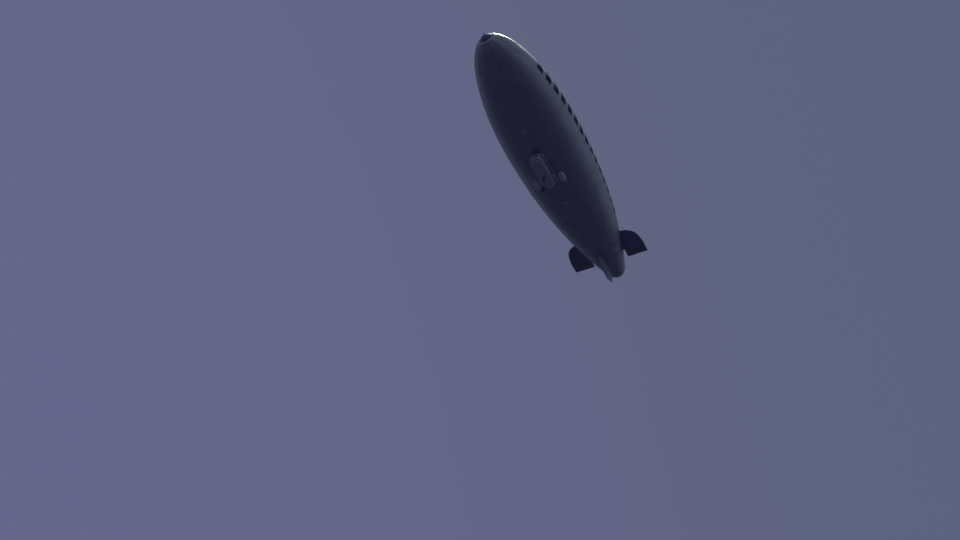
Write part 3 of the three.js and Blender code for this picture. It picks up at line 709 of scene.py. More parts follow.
class Wiring:
    """Adds nodes to one node tree and wires them by the names of their sockets."""

    def __init__(self, tree: bpy.types.NodeTree) -> None:
        """Keeps the node tree of a material or a group."""
        self.tree = tree

    def add(self, kind: str, inputs: dict | None = None, **settings: object) -> bpy.types.Node:
        """One node.

        Args:
            kind: the node's type without its ShaderNode prefix, or Group.
            inputs: a value or an output socket for each input, by name or number.
            settings: properties of the node itself.

        Returns:
            The node.
        """
        node = self.tree.nodes.new(f"ShaderNode{kind}")
        for name, value in settings.items():
            setattr(node, name, value)
        for name, value in (inputs or {}).items():
            if isinstance(value, bpy.types.NodeSocket):
                self.tree.links.new(value, node.inputs[name])
            else:
                node.inputs[name].default_value = value
        return node

    def math(self, operation: str, *values: float | bpy.types.NodeSocket) -> bpy.types.NodeSocket:
        """One step of arithmetic, as an output socket."""
        return self.add("Math", dict(enumerate(values)), operation=operation).outputs[0]

    def blend(
        self, share: float | bpy.types.NodeSocket, plain: object, other: object
    ) -> bpy.types.NodeSocket:
        """A mix of two colours by a share, as an output socket."""
        return self.add("Mix", {0: share, 6: plain, 7: other}, data_type="RGBA").outputs[2]

    def noise(self, place: bpy.types.NodeSocket, scale: float, detail: float = 4.0) -> bpy.types.NodeSocket:
        """Noise from 0 to 1 at a place, as an output socket."""
        return self.add("TexNoise", {"Vector": place, "Scale": scale, "Detail": detail}).outputs["Fac"]

    def stretched(
        self, place: bpy.types.NodeSocket, scale: tuple[float, float, float]
    ) -> bpy.types.NodeSocket:
        """A place scaled along each axis, as an output socket."""
        return self.add("Mapping", {"Vector": place, "Scale": scale}).outputs[0]

    def ranged(self, value: bpy.types.NodeSocket, low: float, high: float) -> bpy.types.NodeSocket:
        """A value taken from between two numbers to between 0 and 1, and held there."""
        return self.add("MapRange", {0: value, 1: low, 2: high}, interpolation_type="SMOOTHSTEP").outputs[0]

    def ridge(self, value: bpy.types.NodeSocket, share: float | bpy.types.NodeSocket) -> bpy.types.NodeSocket:
        """A mask of narrow lines at whole numbers of a value, each as wide as a share of their distance."""
        off = self.math("ABSOLUTE", self.math("SUBTRACT", self.math("FRACT", value), 0.5))
        return self.math("GREATER_THAN", off, self.math("SUBTRACT", 0.5, share))


GroupMaker = Callable[[Wiring, dict[str, bpy.types.NodeSocket]], dict[str, bpy.types.NodeSocket]]


@dataclass(frozen=True)
class Effect:
    """A node group that several materials use.

    Attributes:
        name: the group's name.
        inputs: each input's name with its default value, or None for a place.
        outputs: the outputs' names, all of them values.
        maker: works out the outputs from the inputs.
    """

    name: str
    inputs: dict[str, float | None]
    outputs: tuple[str, ...]
    maker: GroupMaker

    def group(self) -> bpy.types.NodeTree:
        """The group, made when it is first asked for.

        Returns:
            Its node tree.
        """
        known = bpy.data.node_groups.get(self.name)
        if known:
            return known
        tree = bpy.data.node_groups.new(self.name, "ShaderNodeTree")
        for name, value in self.inputs.items():
            kind = "NodeSocketVector" if value is None else "NodeSocketFloat"
            socket = tree.interface.new_socket(name, in_out="INPUT", socket_type=kind)
            if value is not None:
                socket.default_value = value
        for name in self.outputs:
            tree.interface.new_socket(name, in_out="OUTPUT", socket_type="NodeSocketFloat")
        entry, leave = (tree.nodes.new(kind) for kind in ("NodeGroupInput", "NodeGroupOutput"))
        made = self.maker(Wiring(tree), {name: entry.outputs[name] for name in self.inputs})
        for name in self.outputs:
            tree.links.new(made[name], leave.inputs[name])
        return tree

    def placed(self, wiring: Wiring, inputs: dict[str, float | bpy.types.NodeSocket]) -> bpy.types.Node:
        """The group in a material, with the material's own values."""
        return wiring.add("Group", inputs, node_tree=self.group())


def make_weave(wiring: Wiring, given: dict) -> dict:
    """Threads over and under: sine waves along X, Y and Z, multiplied in pairs and added, for any face.

    Args:
        wiring: the group's nodes.
        given: its inputs by name.

    Returns:
        Its outputs by name.
    """
    values = {0: given["Place"], "Scale": given["Threads"]}
    scaled = wiring.add("VectorMath", values, operation="SCALE").outputs[0]
    parts = wiring.add("SeparateXYZ", {0: scaled}).outputs
    x, y, z = (wiring.math("SINE", wiring.math("MULTIPLY", part, 2 * math.pi)) for part in parts)
    height = wiring.math("ADD", wiring.math("MULTIPLY", x, z), wiring.math("MULTIPLY", y, z))
    return {"Height": wiring.math("ADD", height, wiring.math("MULTIPLY", x, y))}


def make_grain(wiring: Wiring, given: dict) -> dict:
    """Fine grain and broad mottling, from noise at two sizes.

    Args:
        wiring: the group's nodes.
        given: its inputs by name.

    Returns:
        Its outputs by name.
    """
    place = given["Place"]
    fine = wiring.add("TexNoise", {"Vector": place, "Scale": given["Grain"], "Detail": 6.0}).outputs["Fac"]
    broad = wiring.add("TexNoise", {"Vector": place, "Scale": given["Patches"], "Detail": 3.0}).outputs["Fac"]
    return {"Fine": fine, "Broad": wiring.ranged(broad, 0.3, 0.7)}


def make_streaks(wiring: Wiring, given: dict) -> dict:
    """Dirt run down by rain: noise drawn out along Z, and broken up by broader noise.

    Args:
        wiring: the group's nodes.
        given: its inputs by name.

    Returns:
        Its outputs by name.
    """
    long = wiring.stretched(given["Place"], (6.0, 6.0, 0.5))
    lines = wiring.ranged(wiring.noise(long, 4.0, 5.0), 0.5, 0.75)
    patches = wiring.ranged(wiring.noise(given["Place"], 1.3, 3.0), 0.35, 0.65)
    return {"Mask": wiring.math("MULTIPLY", wiring.math("MULTIPLY", lines, patches), given["Amount"])}


def make_wear(wiring: Wiring, given: dict) -> dict:
    """Paint rubbed off along edges: where the surface is sharply bent outwards, broken up by noise.

    Args:
        wiring: the group's nodes.
        given: its inputs by name.

    Returns:
        Its outputs by name.
    """
    sharp = wiring.ranged(wiring.add("NewGeometry").outputs["Pointiness"], 0.51, 0.58)
    rough = wiring.ranged(wiring.noise(given["Place"], 35.0, 5.0), 0.42, 0.6)
    return {"Mask": wiring.math("MULTIPLY", wiring.math("MULTIPLY", sharp, rough), given["Amount"])}


def make_seams(wiring: Wiring, given: dict) -> dict:
    """Taped seams: lines between gores, and lines across them that step by half a panel from gore to gore.

    Args:
        wiring: the group's nodes.
        given: its inputs by name.

    Returns:
        Its outputs by name.
    """
    parts = wiring.add("SeparateXYZ", {0: given["UV"]}).outputs
    gore = wiring.math("MULTIPLY", parts[0], given["Gores"])
    lengthwise = wiring.ridge(gore, given["Gore tape"])
    step = wiring.math("MULTIPLY", wiring.math("MODULO", wiring.math("FLOOR", gore), 2.0), 0.5)
    panel = wiring.math("ADD", wiring.math("MULTIPLY", parts[1], given["Panels"]), step)
    across = wiring.ridge(panel, given["Panel tape"])
    cell = wiring.add("CombineXYZ", {0: wiring.math("FLOOR", gore), 1: wiring.math("FLOOR", panel)})
    tone = wiring.add("TexWhiteNoise", {"Vector": cell.outputs[0]}, noise_dimensions="3D").outputs["Value"]
    return {"Tape": wiring.math("MAXIMUM", lengthwise, across), "Panel": tone}


WEAVE = Effect("weave", {"Place": None, "Threads": 400.0}, ("Height",), make_weave)
GRAIN = Effect("grain", {"Place": None, "Grain": 60.0, "Patches": 3.0}, ("Fine", "Broad"), make_grain)
STREAKS = Effect("streaks", {"Place": None, "Amount": 0.5}, ("Mask",), make_streaks)
WEAR = Effect("edge wear", {"Place": None, "Amount": 0.5}, ("Mask",), make_wear)
SEAMS = Effect(
    "seams",
    {"UV": None, "Gores": 32.0, "Panels": 24.0, "Gore tape": 0.02, "Panel tape": 0.02},
    ("Tape", "Panel"),
    make_seams,
)

Colour = tuple[float, float, float]

ROUGHNESS_SPREAD = 0.07
MOTTLED_TONE = 0.35
DIRT: Colour = (0.045, 0.042, 0.038)


def solid(colour: Colour, tone: float = 1.0) -> tuple[float, ...]:
    """A colour made darker by a factor, with an alpha of 1, as a colour socket takes it."""
    return (*(part * tone for part in colour), 1.0)


@dataclass(frozen=True)
class Finish:
    """A surface's finish, and how much of each effect it has.

    Attributes:
        name: the material's name.
        slot: the record's slot that it belongs to.
        colour: the base colour.
        roughness: the middle of the roughness.
        metallic: 0 for paint and cloth, 1 for bare metal.
        coat: how much clear coat there is.
        sheen: how much cloth-like sheen there is.
        shine: how strong the reflection off paint and cloth is.
        grain: size of the fine grain, in repeats a metre.
        depth: height of the fine grain's bump, in metres.
        patches: size of the broad mottling, in repeats a metre.
        mottle: how much darker the mottled parts are.
        streaks: how dark the rain streaks are.
        wear: how far the edges are rubbed.
        worn: the colour under the rubbed edges.
        threads: threads a metre of a weave, 0 for none.
        thread_depth: height of the weave's bump, in metres.
    """

    name: str
    slot: Slot
    colour: Colour
    roughness: float = 0.5
    metallic: float = 0.0
    coat: float = 0.0
    sheen: float = 0.0
    shine: float = 0.5
    grain: float = 80.0
    depth: float = 0.0004
    patches: float = 4.0
    mottle: float = 0.12
    streaks: float = 0.0
    wear: float = 0.0
    worn: Colour = (0.42, 0.43, 0.45)
    threads: float = 0.0
    thread_depth: float = 0.0006

    def material(self) -> bpy.types.Material:
        """The material, made when it is first asked for.

        Returns:
            The material.
        """
        known = bpy.data.materials.get(self.name)
        if known:
            return known
        made = bpy.data.materials.new(self.name)
        made.use_nodes = True
        made.node_tree.nodes.clear()
        wiring = Wiring(made.node_tree)
        shader = wiring.add("BsdfPrincipled")
        wiring.add("OutputMaterial", {"Surface": shader.outputs[0]})
        plain = {
            "Metallic": self.metallic,
            "Coat Weight": self.coat,
            "Sheen Weight": self.sheen,
            "Specular IOR Level": self.shine,
        }
        for name, value in plain.items():
            shader.inputs[name].default_value = value
        self.dress(wiring, shader)
        made.diffuse_color = (*self.colour, 1.0)
        return made

    def dress(self, wiring: Wiring, shader: bpy.types.Node) -> None:
        """Colour, roughness and bump from the effects.

        Args:
            wiring: the material's nodes.
            shader: its Principled shader.
        """
        place = wiring.add("TexCoord").outputs["Object"]
        grain = GRAIN.placed(wiring, {"Place": place, "Grain": self.grain, "Patches": self.patches})
        colour = self.paint(wiring, place)
        dark = wiring.math("MULTIPLY", grain.outputs["Broad"], self.mottle)
        colour = wiring.blend(dark, colour, solid(self.colour, MOTTLED_TONE))
        if self.streaks:
            mask = STREAKS.placed(wiring, {"Place": place, "Amount": self.streaks}).outputs["Mask"]
            colour = wiring.blend(mask, colour, solid(DIRT))
        if self.wear:
            mask = WEAR.placed(wiring, {"Place": place, "Amount": self.wear}).outputs["Mask"]
            colour = wiring.blend(mask, colour, solid(self.worn))
        wiring.tree.links.new(colour, shader.inputs["Base Color"])
        limits = {3: self.roughness - ROUGHNESS_SPREAD, 4: self.roughness + ROUGHNESS_SPREAD}
        rough = wiring.add("MapRange", {0: grain.outputs["Fine"], **limits})
        wiring.tree.links.new(rough.outputs[0], shader.inputs["Roughness"])
        height = wiring.math("MULTIPLY", grain.outputs["Fine"], self.depth)
        if self.threads:
            weave = WEAVE.placed(wiring, {"Place": place, "Threads": self.threads}).outputs["Height"]
            height = wiring.math("ADD", height, wiring.math("MULTIPLY", weave, self.thread_depth))
        height = self.raised(wiring, place, height)
        bump = wiring.add("Bump", {"Height": height, "Distance": 1.0})
        wiring.tree.links.new(bump.outputs[0], shader.inputs["Normal"])

    def paint(self, wiring: Wiring, place: bpy.types.NodeSocket) -> object:
        """The colour before dirt and wear: one colour all over, unless a finish has more.

        Args:
            wiring: the material's nodes.
            place: the point on the object.

        Returns:
            The colour, or an output socket that gives it.
        """
        return solid(self.colour)

    def raised(
        self, wiring: Wiring, place: bpy.types.NodeSocket, height: bpy.types.NodeSocket
    ) -> bpy.types.NodeSocket:
        """The bump's height: the grain and weave alone, unless a finish has more."""
        return height


@dataclass(frozen=True)
class HullFabric(Finish):
    """Coated envelope fabric: gores and panels joined by taped seams, each panel a little different in tone.

    Attributes:
        gores: how many gores there are round the hull.
        panels: how many panels there are along a gore.
        gore_tape: half width of the tape between gores, as a share of a gore.
        panel_tape: half width of the tape between panels, as a share of a panel.
        tape: the tape's colour.
        tape_share: how much of that colour shows.
        tape_height: how far the tape stands proud, in metres.
        panel_tone: tone of the darkest panel.
        panel_share: how much the panels differ.
        pucker: height of the slow puckers, in metres.
    """

    gores: float = 32.0
    panels: float = 22.0
    gore_tape: float = 0.022
    panel_tape: float = 0.011
    tape: Colour = (0.35, 0.36, 0.40)
    tape_share: float = 0.75
    tape_height: float = 0.0015
    panel_tone: float = 0.7
    panel_share: float = 0.28
    pucker: float = 0.02

    def seams(self, wiring: Wiring) -> bpy.types.Node:
        """The seam group on the skin's UV map, placed once.

        Args:
            wiring: the material's nodes.

        Returns:
            The group's node.
        """
        for node in wiring.tree.nodes:
            if node.type == "GROUP" and node.node_tree.name == SEAMS.name:
                return node
        uv = wiring.add("UVMap", uv_map="skin").outputs[0]
        widths = {"Gore tape": self.gore_tape, "Panel tape": self.panel_tape}
        return SEAMS.placed(wiring, {"UV": uv, "Gores": self.gores, "Panels": self.panels, **widths})

    def paint(self, wiring: Wiring, place: bpy.types.NodeSocket) -> object:
        """Panels that differ in tone, with the tape over their seams.

        Args:
            wiring: the material's nodes.
            place: the point on the object, which the seams' own UV map takes the place of.

        Returns:
            The colour, as an output socket.
        """
        seams = self.seams(wiring).outputs
        tone, tape = (
            wiring.math("MULTIPLY", seams[name], share)
            for name, share in (("Panel", self.panel_share), ("Tape", self.tape_share))
        )
        colour = wiring.blend(tone, solid(self.colour), solid(self.colour, self.panel_tone))
        return wiring.blend(tape, colour, solid(self.tape))

    def raised(
        self, wiring: Wiring, place: bpy.types.NodeSocket, height: bpy.types.NodeSocket
    ) -> bpy.types.NodeSocket:
        """The tape stands proud, and the fabric puckers slowly between seams.

        Args:
            wiring: the material's nodes.
            place: the point on the object.
            height: the height of the grain and weave.

        Returns:
            The height, as an output socket.
        """
        folds = wiring.noise(wiring.stretched(place, (0.5, 1.4, 1.4)), 1.1, 3.0)
        pucker = wiring.math("MULTIPLY", folds, self.pucker)
        tape = wiring.math("MULTIPLY", self.seams(wiring).outputs["Tape"], self.tape_height)
        return wiring.math("ADD", wiring.math("ADD", height, tape), pucker)


class Measure(Enum):
    """What the bands of a banded paint are measured along: an axis by its number, or a distance."""

    HEIGHT = 2
    DISTANCE = 3


@dataclass(frozen=True)
class Banded(Finish):
    """Paint with a band of a second colour, between two distances from a line or along an axis.

    Attributes:
        second: the band's colour.
        axis: what the bands are measured along: the height, or the distance from a line along X.
        middle: the line's Y and Z, for a distance.
        bands: (from, to) in metres on the model, for each band.
    """

    second: Colour = (0.01, 0.015, 0.06)
    axis: Measure = Measure.HEIGHT
    middle: tuple[float, float] = (0.0, 0.0)
    bands: tuple[tuple[float, float], ...] = ()

    def paint(self, wiring: Wiring, place: bpy.types.NodeSocket) -> object:
        """The second colour wherever the measure lies inside one of the bands.

        Args:
            wiring: the material's nodes.
            place: the point on the object.

        Returns:
            The colour, as an output socket.
        """
        parts = wiring.add("SeparateXYZ", {0: place}).outputs
        measure = self.distance(wiring, parts) if self.axis is Measure.DISTANCE else parts[self.axis.value]
        colour = solid(self.colour)
        for low, high in self.bands:
            over, under = wiring.math("GREATER_THAN", measure, low), wiring.math("LESS_THAN", measure, high)
            colour = wiring.blend(wiring.math("MULTIPLY", over, under), colour, solid(self.second))
        return colour

    def distance(self, wiring: Wiring, parts: bpy.types.bpy_prop_collection) -> bpy.types.NodeSocket:
        """The distance from the line, which is the same on both sides of the craft.

        Args:
            wiring: the material's nodes.
            parts: X, Y and Z of the point, as output sockets.

        Returns:
            The distance, as an output socket.
        """
        across = wiring.math("SUBTRACT", wiring.math("ABSOLUTE", parts[1]), self.middle[0])
        over = wiring.math("SUBTRACT", parts[2], self.middle[1])
        squares = (wiring.math("MULTIPLY", part, part) for part in (across, over))
        return wiring.math("SQRT", wiring.math("ADD", *squares))


@dataclass(frozen=True)
class Pane(Finish):
    """Clear plastic glazing, a little dusty.

    Attributes:
        clear: how much light goes through.
        bending: how much it bends light.
        dusty: lowest and highest roughness.
    """

    clear: float = 0.92
    bending: float = 1.2
    dusty: tuple[float, float] = (0.03, 0.12)

    def dress(self, wiring: Wiring, shader: bpy.types.Node) -> None:
        """Glass with dust that roughens it in patches.

        Args:
            wiring: the material's nodes.
            shader: its Principled shader.
        """
        values = {"Base Color": solid(self.colour), "Transmission Weight": self.clear, "IOR": self.bending}
        for name, value in values.items():
            shader.inputs[name].default_value = value
        place = wiring.add("TexCoord").outputs["Object"]
        grain = GRAIN.placed(wiring, {"Place": place, "Grain": self.grain, "Patches": self.patches})
        rough = wiring.add("MapRange", {0: grain.outputs["Broad"], 3: self.dusty[0], 4: self.dusty[1]})
        wiring.tree.links.new(rough.outputs[0], shader.inputs["Roughness"])


FABRIC = HullFabric(
    "envelope fabric", Slot.SILVER_FABRIC, (0.46, 0.47, 0.52), 0.46, 0.45, grain=140, depth=0.0001,
    patches=0.35, mottle=0.2, streaks=0.22,
)
PATCH_FABRIC = Finish(
    "patch fabric", Slot.SILVER_FABRIC, (0.43, 0.44, 0.49), 0.44, 0.4, grain=140, depth=0.0001, mottle=0.12,
    streaks=0.2,
)
NAVY_FABRIC = Finish(
    "navy marking", Slot.NAVY, (0.014, 0.019, 0.060), 0.6, 0.0, shine=0.15, grain=140, depth=0.0001,
    patches=0.8, mottle=0.25, streaks=0.1,
)
FIN_FABRIC = Finish(
    "fin fabric", Slot.NAVY, (0.28, 0.295, 0.40), 0.5, 0.0, shine=0.4, grain=160, depth=0.0001, patches=0.9,
    mottle=0.25, streaks=0.12,
)
SILVER_PAINT = Finish(
    "silver paint", Slot.SILVER_PAINT, (0.44, 0.45, 0.48), 0.36, 0.6, grain=200, depth=0.0001, mottle=0.12,
    streaks=0.15, wear=0.5,
)
SLATE_PAINT = Finish(
    "slate paint", Slot.NAVY, (0.10, 0.125, 0.25), 0.4, 0.0, coat=0.2, grain=120, depth=0.0001, mottle=0.2,
    streaks=0.12, wear=0.6,
)
WHITE_PAINT = Finish(
    "white paint", Slot.WHITE, (0.80, 0.81, 0.84), 0.32, 0.0, coat=0.3, grain=120, depth=0.00008, patches=2.0,
    mottle=0.07, streaks=0.3, wear=0.35,
)
CAR_PAINT = Banded(
    "car paint", Slot.WHITE, (0.62, 0.63, 0.66), 0.32, 0.0, coat=0.35, grain=120, depth=0.00008, patches=1.6,
    mottle=0.07, streaks=0.3, bands=((-4.36, -4.22), (-4.60, -4.575)),
)
STEEL = Finish(
    "steel", Slot.STEEL, (0.46, 0.47, 0.49), 0.34, 1.0, grain=300, depth=0.0001, mottle=0.2, streaks=0.1,
)
ALUMINIUM = Finish(
    "aluminium", Slot.ALUMINIUM, (0.62, 0.63, 0.65), 0.38, 1.0, grain=300, depth=0.0001, mottle=0.15,
    streaks=0.1,
)
LINING = Finish(
    "cabin lining", Slot.LINING, (0.36, 0.36, 0.38), 0.8, 0.0, sheen=0.2, grain=400, depth=0.0003, mottle=0.1,
)
CARPET = Finish(
    "carpet", Slot.CARPET, (0.06, 0.065, 0.08), 0.95, 0.0, sheen=0.3, grain=500, depth=0.002, mottle=0.3,
    threads=220.0, thread_depth=0.0006,
)
SEAT_CLOTH = Finish(
    "seat cloth", Slot.SEAT, (0.030, 0.050, 0.16), 0.88, 0.0, sheen=0.4, grain=500, depth=0.0003, mottle=0.2,
    threads=420.0, thread_depth=0.00025,
)
PLASTIC = Finish(
    "black plastic", Slot.PLASTIC, (0.018, 0.018, 0.020), 0.55, 0.0, grain=700, depth=0.00015, mottle=0.15,
    wear=0.2, worn=(0.08, 0.08, 0.085),
)
DIAL_FACE = Finish(
    "dial face", Slot.PLASTIC, (0.30, 0.31, 0.32), 0.4, 0.0, grain=500, depth=0.00002, mottle=0.1,
)
BLADE_PAINT = Banded(
    "blade paint", Slot.BLACK, (0.020, 0.020, 0.022), 0.4, 0.0, coat=0.15, grain=260, depth=0.0001,
    mottle=0.2, second=(0.55, 0.55, 0.56), axis=Measure.DISTANCE, middle=(1.175, -4.025),
    bands=((0.435, 0.47),),
)
DUCT_FABRIC = Finish(
    "duct fabric", Slot.DUCT, (0.32, 0.33, 0.37), 0.6, 0.15, grain=220, depth=0.0002, patches=3.0, mottle=0.2,
    streaks=0.25, threads=500.0, thread_depth=0.0001,
)
RUBBER = Finish(
    "tyre rubber", Slot.TYRE, (0.017, 0.017, 0.018), 0.82, 0.0, grain=260, depth=0.0004, patches=7.0,
    mottle=0.3, streaks=0.2,
)
CORD = Finish(
    "cable", Slot.STEEL, (0.35, 0.36, 0.37), 0.45, 0.9, grain=900, depth=0.0002, mottle=0.2, threads=900.0,
    thread_depth=0.0002,
)
GASKET = Finish(
    "gasket rubber", Slot.PLASTIC, (0.022, 0.022, 0.024), 0.7, 0.0, grain=500, depth=0.0001, mottle=0.2,
)
GLASS = Pane("window glass", Slot.GLASS, (0.60, 0.66, 0.72), grain=20, patches=3.0)
LAMP_GLASS = Pane("lamp glass", Slot.GLASS, (0.86, 0.88, 0.90), grain=20, patches=3.0)
RED_LENS = Finish(
    "red lens", Slot.GLASS, (0.45, 0.012, 0.010), 0.15, 0.0, coat=0.8, grain=60, depth=0.00002,
)
GREEN_LENS = Finish(
    "green lens", Slot.GLASS, (0.010, 0.30, 0.05), 0.15, 0.0, coat=0.8, grain=60, depth=0.00002,
)


# Putting a surface into the scene


def mesh_of(name: str, form: Form) -> bpy.types.Mesh:
    """A mesh from a surface, with its UV map.

    Args:
        name: the mesh's name.
        form: the surface, at full size.

    Returns:
        The mesh, in model metres.
    """
    mesh = bpy.data.meshes.new(name)
    corners = np.concatenate([form.quads.ravel(), form.tris.ravel()])
    fours, threes = len(form.quads), len(form.tris)
    mesh.vertices.add(len(form.points))
    mesh.vertices.foreach_set("co", (form.points * MODEL_SCALE).astype(np.float32).ravel())
    mesh.loops.add(len(corners))
    mesh.loops.foreach_set("vertex_index", corners.astype(np.int32))
    mesh.polygons.add(fours + threes)
    starts = np.concatenate([np.arange(fours) * 4, fours * 4 + np.arange(threes) * 3])
    mesh.polygons.foreach_set("loop_start", starts.astype(np.int32))
    uvs = np.concatenate([form.quad_uv.ravel(), form.tri_uv.ravel()])
    mesh.uv_layers.new(name="skin").data.foreach_set("uv", uvs.astype(np.float32))
    mesh.update(calc_edges=True)
    return mesh


def show(
    name: str,
    shape: Form | bpy.types.Mesh,
    finish: Finish,
    body: Body = Body.HULL,
    replaces: Iterable[str] = (),
    sharp: float = 32.0,
) -> bpy.types.Object:
    """One piece of the craft, in place, dressed, and riding on its body.

    Args:
        name: the piece's name.
        shape: its surface at full size, or a mesh already in model metres.
        finish: its finish, and so its material slot.
        body: the body that it moves with.
        replaces: frame nodes that it stands for.
        sharp: the angle between faces, in degrees, above which an edge stays sharp.

    Returns:
        The piece.
    """
    mesh = mesh_of(name, shape) if isinstance(shape, Form) else shape
    mesh.name = name
    mesh.shade_smooth()
    mesh.set_sharp_from_angle(angle=math.radians(sharp))
    if not mesh.materials:
        mesh.materials.append(finish.material())
    piece = loose(name, mesh)
    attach(piece, body.value)
    if replaces:
        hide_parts(*replaces)
    LOG.info("%s: %d faces, %s", name, len(mesh.polygons), body.value)
    return piece


def loose(name: str, data: bpy.types.ID) -> bpy.types.Object:
    """An object in the scene, with nothing else said about it.

    Args:
        name: its name.
        data: its mesh, lamp or camera.

    Returns:
        The object.
    """
    made = bpy.data.objects.new(name, data)
    bpy.context.scene.collection.objects.link(made)
    return made


def settled(worker: bpy.types.Object) -> bpy.types.Mesh:
    """A working object's mesh with its modifiers applied.

    Args:
        worker: the object.

    Returns:
        A new mesh.
    """
    bpy.context.view_layer.update()
    depsgraph = bpy.context.evaluated_depsgraph_get()
    return bpy.data.meshes.new_from_object(worker.evaluated_get(depsgraph), depsgraph=depsgraph)


def carved(name: str, form: Form, cutters: Iterable[tuple[Form, Finish]], finish: Finish) -> bpy.types.Mesh:
    """A surface with other surfaces cut out of it, exactly, in the order given.

    Args:
        name: the new mesh's name.
        form: what is cut.
        cutters: what is taken out, and the finish of the faces that each leaves.
        finish: the finish of the rest.

    Returns:
        The mesh that is left, in model metres.
    """
    worker = loose(name, mesh_of(name, form))
    worker.data.materials.append(finish.material())
    tools = []
    for cutter, cut_finish in cutters:
        tool = loose(f"{name} cutter", mesh_of("cutter", cutter))
        tool.data.materials.append(cut_finish.material())
        step = worker.modifiers.new("cut", "BOOLEAN")
        step.operation, step.solver, step.object = "DIFFERENCE", "EXACT", tool
        step.material_mode = "TRANSFER"
        tools.append(tool)
    mesh = settled(worker)
    for used in (worker, *tools):
        bpy.data.objects.remove(used)
    return mesh


def dress_node(node: str, finish: Finish) -> None:
    """Gives a finish to a frame node that stays as it is."""
    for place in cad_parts[node].material_slots:
        place.material = finish.material()


# The hull


@dataclass(frozen=True)
class HullShape:
    """The envelope's outer form, which places everything that is fixed to it.

    Ahead of the widest station w the radius is R sqrt(1 - (1 - s / w)^p). Behind it, it is
    R (1 - ((s - w) / (t - w))^q) times a quarter ellipse over the last stretch. Between two seams the fabric
    bellies out by |sin|. Angles are in degrees from the keel, growing towards port.

    Attributes:
        length: the fabric's length.
        radius: R.
        widest: w.
        nose_power: p.
        tail_power: q.
        tail_aim: t, where the tail's curve would come to a point.
        tail_cap: the length of the quarter ellipse.
        gores: how many gores there are.
        belly: how far the fabric bellies out, as a share of the radius.
    """

    length: float = 58.0
    radius: float = 7.0
    widest: float = 22.62
    nose_power: float = 2.07
    tail_power: float = 2.13
    tail_aim: float = 61.77
    tail_cap: float = 1.8
    gores: int = 32
    belly: float = 0.0011

    def radius_at(self, station: Array | float) -> Array:
        """The radius without the belly between seams.

        Args:
            station: stations along the hull.

        Returns:
            The radius at each.
        """
        station = np.clip(station, 0.0, self.length)
        nose = np.sqrt(np.maximum(1 - np.abs(1 - station / self.widest) ** self.nose_power, 0.0))
        run = np.maximum(station - self.widest, 0.0) / (self.tail_aim - self.widest)
        from_end = np.minimum(self.length - station, self.tail_cap) / self.tail_cap
        tail = (1 - run**self.tail_power) * np.sqrt(np.maximum(1 - (1 - from_end) ** 2, 0.0))
        return self.radius * np.where(station < self.widest, nose, tail)

    def outward(self, station: Array | float, angle: Array | float) -> Array:
        """Unit normals: (r', sin a, -cos a) divided by its length.

        Args:
            station: stations along the hull.
            angle: angles from the keel.

        Returns:
            A direction for each.
        """
        step, turn = 0.002, np.radians(angle)
        slope = (self.radius_at(station + step) - self.radius_at(station - step)) / (2 * step)
        return unit(np.stack(np.broadcast_arrays(slope, np.sin(turn), -np.cos(turn)), -1))

    def point(self, station: Array | float, angle: Array | float, lift: Array | float = 0.0) -> Array:
        """Points on the fabric.

        Args:
            station: stations along the hull.
            angle: angles from the keel.
            lift: distances outside the fabric.

        Returns:
            A point for each.
        """
        station, angle, lift = np.broadcast_arrays(station, angle, lift)
        turn = np.radians(angle)
        swell = 1 + self.belly * (np.abs(np.sin(self.gores * turn / 2)) - 0.6)
        radius = self.radius_at(station) * swell
        on_fabric = at(station, radius * np.sin(turn), -radius * np.cos(turn))
        return on_fabric + lift[..., None] * self.outward(station, angle)

    def wrapped(self, form: Form, station: float, angle: float) -> Form:
        """A flat part laid round the hull: its X ahead, its Y round towards port and its Z outward."""
        degrees = math.degrees(1 / self.radius_at(station))
        return form.changed(lambda p: self.point(station - p[:, 0], angle + p[:, 1] * degrees, p[:, 2]))

    def laid(self, form: Form, places: Iterable[tuple[float, float]]) -> Form:
        """Copies of a flat part laid on the hull, each at a station and an angle."""
        return joined(self.wrapped(form, *place) for place in places)

    def ring(self, stations: Array, lift: Array | float = 0.0, count: int = 256) -> Array:
        """Rows of points round the hull, one row for each station, each row with its own lift."""
        angles = np.linspace(0, 360, count, endpoint=False)
        return self.point(stations[:, None], angles, np.reshape(lift, (-1, 1)))

    def below(self, station: Array | float, port: Array | float) -> Array:
        """The height of the hull's underside at a station and a distance to port."""
        radius = self.radius_at(station) * (1 - 0.6 * self.belly)
        return -np.sqrt(np.maximum(radius**2 - np.square(port), 0.0))


def about_hull(form: Form, turn: float) -> Form:
    """A part turned about the hull's axis, in degrees."""
    return copies(form, turns_about_hull(1, turn)).outward()


def turns_about_hull(count: int, start: float) -> Array:
    """Matrices that turn about the hull's axis in even steps.

    Args:
        count: how many.
        start: the first angle in degrees.

    Returns:
        (count, 4, 4) matrices.
    """
    _, cos, sin = spokes(count, 0, start).T
    places = np.tile(np.eye(4), (count, 1, 1))
    places[:, 1, 1], places[:, 1, 2] = cos, -sin
    places[:, 2, 1], places[:, 2, 2] = sin, cos
    return places


